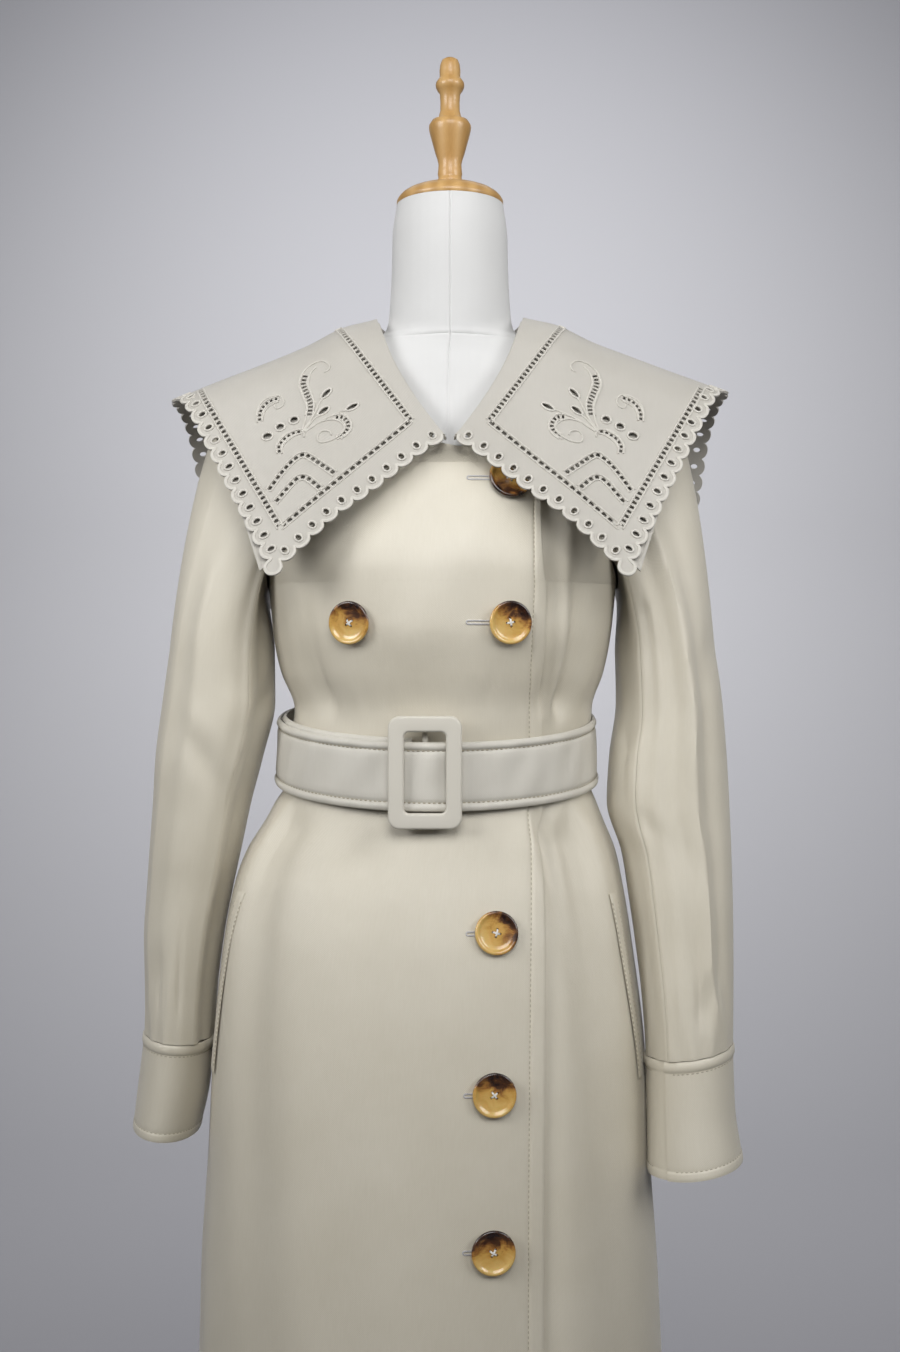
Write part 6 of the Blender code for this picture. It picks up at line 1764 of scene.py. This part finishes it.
def make_collar_stand(opening):
    """A band that goes down inside the neck opening from just under the roll line."""
    spots = collar_surface(opening[:, 0], opening[:, 1])
    normals = normals_of(collar_surface, opening[:, 0], opening[:, 1])
    facing = smoothstep((-opening[:, 1] - 0.055) / 0.050)[:, None]
    downward = unit(-UP * (1.0 - facing) - normals * facing)
    away = unit(np.cross(unit(np.gradient(spots, axis=0)), downward))
    start = spots - normals * (CUTWORK_WALL + SEAM + UNDER_COLLAR_WALL + SEAM)
    points = np.stack([start + downward * (SEAM + drop) for drop in np.linspace(STAND_DROP, 0.0, 4)])
    band = cloth_shell("collar_stand_cloth", points[:, ::-1], np.stack([away] * 4)[:, ::-1], STAND_WALL,
                       COLLAR_CLOTH)
    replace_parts(band, "collar_stand")
    return band


# ================================================================ belt and buckle
BELT_COLUMNS = 420
# Places up the belt, from 0 at an edge to 1 at the middle, and from the stitching, in the same measure.
BELT_EDGE_STEPS = (0.0, 0.010, 0.028, 0.06, 0.11, 0.17)
BELT_GROOVE_STEPS = (-0.035, -0.012, 0.0, 0.012, 0.035)
TAIL_RADIUS = 0.12                # turns the tail's angle into a length


BELT_PUFF, BELT_GROOVE, BELT_RIPPLE = 0.0009, 0.0012, 0.0007   # heights of padding, stitching and swells
BELT_ROUNDING, BELT_ROUNDED = 0.0011, 0.0012    # how far the edge turns in, and over what width


def belt_lift(turn, height):
    """Relief of the belt: its padded and stitched edges, and the soft swells between them."""
    from_edge = (1.0 - np.abs(height)) * BELT_HALF_HEIGHT
    tail = (radians(BELT_TRAVEL) - turn) * TAIL_RADIUS
    from_edge = np.minimum(from_edge, np.where(turn > pi, tail, 1.0))
    puff = BELT_PUFF * smoothstep(from_edge / 0.003) * fade_out(from_edge, BELT_BAND - 0.003, 0.004)
    groove = -BELT_GROOVE * bump(from_edge - BELT_BAND, 0.0010)
    over_edge = 1.0 - np.clip(from_edge / BELT_ROUNDED, 0.0, 1.0)
    rounding = -BELT_ROUNDING * (1.0 - np.sqrt(np.clip(1.0 - over_edge ** 2, 0.0, 1.0)))
    ripple = BELT_RIPPLE * np.sin(23.0 * turn + 2.6 * height) * np.sin(7.0 * turn - 0.8 * height)
    return puff + groove + rounding + ripple * (1.0 - height ** 4)


def make_belt():
    """The belt from the buckle's bar once round, with its tail over the start."""
    travel = np.radians(np.linspace(0.0, BELT_TRAVEL, BELT_COLUMNS))
    band = BELT_BAND / BELT_HALF_HEIGHT
    up = np.concatenate([BELT_EDGE_STEPS, band + np.array(BELT_GROOVE_STEPS)])
    v = np.concatenate([-1.0 + up, np.linspace(-0.62, 0.62, 9), (1.0 - up)[::-1]])
    turn, height = np.meshgrid(travel, v)
    lift = belt_lift(turn, height)
    outward = belt_outward(turn)
    points = belt_surface(turn, height) + outward * (BELT_WALL + lift)[..., None]
    # travel runs clockwise, so the columns are turned round to keep the outer side outward
    points, outward, lift = points[:, ::-1], outward[:, ::-1], lift[:, ::-1]
    belt = cloth_shell("belt_cloth", points, outward, BELT_WALL + lift, BELT_CLOTH)
    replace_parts(belt, "belt")
    rows = []
    shown = travel[8:-8]
    for sign in (-1.0, 1.0):
        level = np.full(shown.shape, sign * (1.0 - band))
        path = belt_surface(shown, level) + belt_outward(shown) * (BELT_WALL - 0.0006)
        rows.append((path, belt_outward(shown)))
    add_stitches("belt_stitches", rows, BELT_THREAD)


def rounded_rectangle(width, height, radius):
    """Points round a rectangle with rounded corners, anticlockwise in x and z."""
    corners = ((1, 1, 0), (-1, 1, 90), (-1, -1, 180), (1, -1, 270))
    angle = np.radians(90.0 * np.arange(CORNER_STEPS + 1) / CORNER_STEPS)
    return np.concatenate([
        np.stack([x_sign * (width / 2 - radius) + radius * np.cos(angle + radians(start)),
                  z_sign * (height / 2 - radius) + radius * np.sin(angle + radians(start))], axis=-1)
        for x_sign, z_sign, start in corners])


def buckle_rings():
    """Rings of points round the frame's section, from its outer back edge to its inner one."""
    turn = np.radians(90.0 * np.arange(7) / 6)
    side = BUCKLE_THICKNESS - BUCKLE_ROUNDING
    inset = np.concatenate([[0.0005, 0.0], BUCKLE_ROUNDING * (1.0 - np.cos(turn))])
    depth = np.concatenate([[0.0, 0.0005], side + BUCKLE_ROUNDING * np.sin(turn)])
    sections = [(BUCKLE_WIDTH - 2 * move, BUCKLE_HEIGHT - 2 * move, BUCKLE_RADIUS - move * 0.9, out)
                for move, out in zip(inset, depth)]
    sections += [(WINDOW_WIDTH + 2 * move, WINDOW_HEIGHT + 2 * move, WINDOW_RADIUS + move * 0.9, out)
                 for move, out in zip(inset[::-1], depth[::-1])]
    rings = []
    for width, height, corner, out in sections:
        x, z = rounded_rectangle(width, height, corner).T
        rings.append(points_of(BUCKLE_X + x, BUCKLE_BACK_Y - out, BUCKLE_Z + z))
    return np.stack(rings)


def make_buckle():
    """A flat frame with well rounded front edges, and the bar the belt is sewn round."""
    rings = buckle_rings()
    index = np.arange(rings.shape[0] * rings.shape[1]).reshape(rings.shape[:2])
    index = np.pad(index, ((0, 1), (0, 1)), mode="wrap")
    faces = np.stack([index[1:, 1:], index[1:, :-1], index[:-1, :-1], index[:-1, 1:]], axis=-1).reshape(-1, 4)
    bar_ends = [(BUCKLE_X, BAR_Y, BUCKLE_Z + sign * BAR_REACH) for sign in (-1.0, 1.0)]
    bar_path = np.linspace(*bar_ends, 12)
    parts = [(rings.reshape(-1, 3), faces),
             cord_mesh(bar_path, np.tile((0.0, -1.0, 0.0), (12, 1)), 0.0024, 0.0011, sides=12)]
    for sign in (-1.0, 1.0):
        z = BUCKLE_Z + sign * POST_REACH
        path = np.linspace((BUCKLE_X, POST_Y, z), (BUCKLE_X, BUCKLE_BACK_Y - 0.0010, z), 4)
        parts.append(cord_mesh(path, np.tile(UP, (4, 1)), 0.0021, 0.0017, sides=12))
    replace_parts(add_joined("buckle_frame", parts, BUCKLE_CLOTH), "buckle")


# ================================================================ pockets
WELT_SHARES = (0.0, 0.004, 0.012, 0.025, *np.linspace(0.04, 0.96, 44), 0.975, 0.988, 0.996, 1.0)
WELT_COLUMNS = (-1.0, -0.96, -0.88, -0.76, -0.60, -0.40, -0.15, 0.15, 0.40, 0.60, 0.76, 0.88, 0.96, 1.0)
WELT_MIDDLE, WELT_STITCHES = 7, (2, -3)   # columns of the welt's middle and of its stitching


def make_pocket(side, name):
    """A slanted welt near the side seam; returns its stitching."""
    line = POCKET_LINES[side]
    share, sideways = np.meshgrid(WELT_SHARES, WELT_COLUMNS, indexing="ij")
    z = line.bottom_z + share * (line.top_z - line.bottom_z)
    half = POCKET_WIDTH / 2.0 / lookup(COAT_ROWS, "z", z, "half_width")
    angle = np.radians(line.bottom_angle + share * (line.top_angle - line.bottom_angle)) + sideways * half
    from_end = np.minimum(share, 1.0 - share) * (line.top_z - line.bottom_z)
    from_edge = np.minimum((1.0 - np.abs(sideways)) * POCKET_WIDTH / 2.0, from_end)
    rounding = 0.0006 * smoothstep(from_edge / 0.0030)
    lift = SEAM + 0.0003 + rounding + 0.0002 * bump(from_edge - 0.0040, 0.0025)
    points, normals = lifted(coat_surface, angle, z, lift)
    welt = cloth_shell(f"{name}_cloth", points, normals, lift - SEAM, COAT_CLOTH)
    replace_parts(welt, name)
    return [(points[4:-4, column], normals[4:-4, column]) for column in WELT_STITCHES]


# ================================================================ buttons
def button_spot(place):
    """Middle of a button's back, and its outward, sideways and upward directions."""
    angle = front_angle(place.x, place.z)
    normal = normals_of(coat_surface, angle, place.z)
    across = unit(np.cross(UP, normal))
    return coat_surface(angle, place.z) + normal * BUTTON_AIR, normal, across, np.cross(normal, across)


def circle(radius, sides):
    """Flat points round a circle."""
    return np.stack([np.cos(turns(sides)), np.sin(turns(sides))], axis=-1) * radius


def at_height(flat, height):
    """Flat points brought to a height, which is one value or one for each."""
    return np.concatenate([flat, np.broadcast_to(height, len(flat))[:, None]], axis=1)


def button_mesh():
    """A turned button with a raised rim and four holes, facing along Z."""
    top = BUTTON_PROFILE[-1]
    vertices, faces = turned_shell(BUTTON_PROFILE, BUTTON_SIDES)
    holes = [circle(BUTTON_HOLE_RADIUS, BUTTON_HOLE_SIDES) + BUTTON_HOLE_SPACING * np.array(way)
             for way in ((1, 1), (-1, 1), (-1, -1), (1, -1))]
    flat, triangles = chart_triangles(circle(top.radius, BUTTON_SIDES), holes, np.zeros((1, 2)))
    parts = [(vertices, faces[:-1]), (at_height(flat, top.height), triangles)]
    count = BUTTON_HOLE_SIDES
    wall = [(index, count + index, count + (index + 1) % count, (index + 1) % count)
            for index in range(count)]
    for hole in holes:
        tube = np.concatenate([at_height(hole, BUTTON_HOLE_FLOOR), at_height(hole, top.height)])
        parts.append((tube, wall + [tuple(range(count))]))
    return join_meshes(parts)


def thread_mesh():
    """A cross of three threads each way through the four holes."""
    threads = []
    part = np.linspace(-0.06, 1.06, 9)
    for order, (first, second) in enumerate((((-1, -1), (1, 1)), ((-1, 1), (1, -1)))):
        level = BUTTON_PROFILE[-1].height + 0.0004 + 0.0005 * order
        for shift in (-THREAD_SHIFT, 0.0, THREAD_SHIFT):
            slide = np.array((-first[1], first[0])) / np.hypot(*first) * shift
            start, end = (np.array(way) * BUTTON_HOLE_SPACING + slide for way in (first, second))
            height = level - 0.0014 * np.abs(2.0 * part - 1.0) ** 6
            path = at_height(start + (end - start) * part[:, None], height)
            threads.append(cord_mesh(path, np.tile(UP, (9, 1)), THREAD_WIDTH, THREAD_HEIGHT))
    return join_meshes(threads)


def make_button(place):
    """One button and its thread, turned into place on the coat."""
    spot, normal, across, upward = button_spot(place)
    turn = radians(place.turn)
    axes = np.stack([across * cos(turn) + upward * sin(turn),
                     upward * cos(turn) - across * sin(turn), normal])
    vertices, faces = button_mesh()
    face = vertices[:, :2] / BUTTON_RADIUS * 0.5 + 0.5
    button = add_mesh(f"{place.name}_disc", vertices @ axes + spot, faces, HORN, face)
    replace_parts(button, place.name)
    vertices, faces = thread_mesh()
    add_mesh(f"{place.name}_thread", vertices @ axes + spot, faces, WHITE_THREAD)


def make_buttonholes():
    """Corded loops on the right front, partly below the buttons of the column beside its edge."""
    cords = []
    turn = np.linspace(-pi / 2.0, pi / 2.0, 9)
    for place in BUTTONS:
        if not place.hole_reach:
            continue
        start = place.x - place.hole_reach
        run = np.linspace(start + 0.0020, place.x - 0.0060, 26)
        x = np.concatenate([run[::-1], start + BUTTONHOLE_HALF * (1.0 - np.cos(turn)), run])
        rise = np.concatenate([np.ones(26), -np.sin(turn), -np.ones(26)])
        z = place.z + BUTTONHOLE_HALF * rise
        angle = front_angle(x, z)
        path, normals = lifted(coat_surface, angle, z, 0.0003 + drape(angle, z))
        cords.append(cord_mesh(path, normals, BUTTONHOLE_CORD_WIDTH, BUTTONHOLE_CORD_HEIGHT))
    add_joined("buttonholes", cords, HOLE_THREAD)


# ================================================================ form and stand
NECK_SEAM_Z = 1.3712              # the seam between the form's neck and its body


# Heights of the form's rows: start, end and pitch of each stretch. They are closest at the neck's seam.
FORM_STRETCHES = ((FORM_ROWS[0].z, 1.330, 0.012), (1.330, 1.366, 0.004), (1.366, 1.377, 0.0009),
                  (1.378, FORM_ROWS[-1].z, 0.005))
FORM_RADIUS = 0.06                # rough radius of the form's neck, which turns angles into lengths
FRONT_SEAM = 270.0                # angle of the seam down the form's front, in degrees
FRONT_SEAM_STEPS = (-1.4, -0.6, -0.2, 0.0, 0.2, 0.6, 1.4)


def make_form():
    """The padded form, with the seams of its cover."""
    z = np.concatenate([np.arange(*stretch) for stretch in FORM_STRETCHES] + [[FORM_ROWS[-1].z]])
    seam_angles = np.radians(FRONT_SEAM + np.array(FRONT_SEAM_STEPS))
    turn = np.unique(np.concatenate([np.linspace(0.0, 2.0 * pi, 120, endpoint=False), seam_angles]))
    angle, level = np.meshgrid(turn, z)
    from_seam = np.abs(np.degrees(angle) - FRONT_SEAM) * radians(1.0) * FORM_RADIUS
    above_seam = level - NECK_SEAM_Z
    lift = -0.0006 * bump(from_seam, 0.0006) + 0.0003 * bump(from_seam - 0.0016, 0.0011)
    lift = lift - 0.0007 * bump(above_seam, 0.0007) + 0.0003 * bump(above_seam - 0.0025, 0.0018)
    points, _ = lifted(form_surface, angle, level, lift)
    faces = [tuple(face) for face in grid_faces(*level.shape, closed=True)] + end_faces(*level.shape)
    form = add_mesh("dress_form_cover", points.reshape(-1, 3), faces, FORM_COVER)
    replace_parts(form, "dress_form")


def make_turned(name, node, profile, sides, base_z, material):
    """A turned piece of the stand, in place of its node."""
    vertices, faces = turned_shell(profile, sides)
    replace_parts(add_mesh(name, vertices + (0.0, 0.0, base_z), faces, material), node)


def make_stand():
    """Base and pole below the form, and the cap and finial on its neck."""
    pole_z = BASE_PROFILE[-1].height + SEAM
    cap_z = FORM_ROWS[-1].z + SEAM
    finial_z = cap_z + CAP_PROFILE[-1].height + SEAM
    make_turned("stand_base_disc", "stand_base", BASE_PROFILE, 96, 0.0, STAND_WOOD)
    make_turned("stand_pole_tube", "stand_pole", POLE_PROFILE, 40, pole_z, STAND_METAL)
    make_turned("neck_cap_disc", "neck_cap", CAP_PROFILE, 80, cap_z, STAND_WOOD)
    make_turned("finial_knob", "finial", FINIAL_PROFILE, 64, finial_z, STAND_WOOD)


# ================================================================ light and view
# Soft square lights: size in metres, power in watts, and how widely each spreads, in degrees.
StudioLight = namedtuple("StudioLight", "name place target size power spread colour")

STUDIO_LIGHTS = [
    StudioLight("key_light", (0.12, -1.7, 2.30), (0.0, 0.0, 1.40), 1.2, 7.1, 88.0, (1.0, 1.0, 1.0)),
    StudioLight("left_light", (-1.6, -1.2, 1.95), (-0.1, 0.0, 1.42), 1.0, 6.0, 85.0, (1.0, 1.0, 1.0)),
    StudioLight("right_light", (1.7, -1.2, 1.95), (0.1, 0.0, 1.42), 1.0, 4.7, 85.0, (1.0, 1.0, 1.0)),
    StudioLight("paper_light", (0.0, 1.6, 3.4), (0.1, 3.9, 1.3), 2.2, 95.0, 180.0, (0.97, 0.98, 1.0)),
]


def add_object(name, data):
    """An object in the scene, as for a light or the camera."""
    item = bpy.data.objects.new(name, data)
    bpy.context.scene.collection.objects.link(item)
    return item


def area_light(lamp):
    """One soft light that faces its target."""
    light = bpy.data.lights.new(lamp.name, "AREA")
    light.shape = "SQUARE"
    light.size = lamp.size
    light.energy = lamp.power
    light.spread = radians(lamp.spread)
    light.color = lamp.colour
    item = add_object(lamp.name, light)
    item.location = lamp.place
    item.rotation_euler = (Vector(lamp.target) - Vector(lamp.place)).to_track_quat("-Z", "Y").to_euler()


STAGE_HALF, STAGE_FRONT, STAGE_TOP = 4.5, -5.0, 4.5
AIR_COLOUR, AIR_STRENGTH = (0.86, 0.87, 0.92, 1.0), 0.115
CAMERA_PLACE = (0.0, -1.312, 1.10)
FILM_HEIGHT, FOCAL_LENGTH = 36.0, 42.6    # in millimetres


def make_backdrop():
    """A pale floor that turns up into the wall behind."""
    turn = np.linspace(0.0, pi / 2.0, 25)
    y = [STAGE_FRONT, *(SWEEP_BACK - SWEEP_RADIUS * (1.0 - np.sin(turn))), SWEEP_BACK]
    z = [0.0, *(SWEEP_RADIUS * (1.0 - np.cos(turn))), STAGE_TOP]
    corners = [(x, *place) for place in zip(y, z) for x in (-STAGE_HALF, STAGE_HALF)]
    mesh = bpy.data.meshes.new("backdrop")
    mesh.from_pydata(corners, [], [tuple(face) for face in grid_faces(len(y), 2).tolist()])
    mesh.materials.append(backdrop_material())
    mesh.shade_smooth()
    add_object("backdrop", mesh)


def make_stage():
    """Seamless paper, soft lights and the camera."""
    scene = bpy.context.scene
    make_backdrop()
    for lamp in STUDIO_LIGHTS:
        area_light(lamp)
    world = bpy.data.worlds.new("studio_air")
    world.use_nodes = True
    air = world.node_tree.nodes["Background"].inputs
    air["Color"].default_value = AIR_COLOUR
    air["Strength"].default_value = AIR_STRENGTH
    scene.world = world
    scene.view_settings.view_transform = "Standard"
    camera_data = bpy.data.cameras.new("camera")
    camera_data.sensor_fit = "VERTICAL"
    camera_data.sensor_height = FILM_HEIGHT
    camera_data.lens = FOCAL_LENGTH
    camera = add_object("camera", camera_data)
    camera.location = CAMERA_PLACE
    camera.rotation_euler = (pi / 2.0, 0.0, 0.0)
    scene.camera = camera


# ================================================================ the whole object
def make_coat():
    """The coat with its belt, buckle, buttons and stitches."""
    stitched = make_body()
    for side, word in ((RIGHT, "right"), (LEFT, "left")):
        make_sleeve(side, f"sleeve_{word}")
        stitched += make_cuff(side, f"cuff_{word}")
        stitched += make_pocket(side, f"pocket_welt_{word}")
    make_collar()
    make_belt()
    make_buckle()
    for place in BUTTONS:
        make_button(place)
    make_buttonholes()
    add_stitches("coat_stitches", stitched, COAT_THREAD)


make_coat()
make_form()
make_stand()
make_stage()
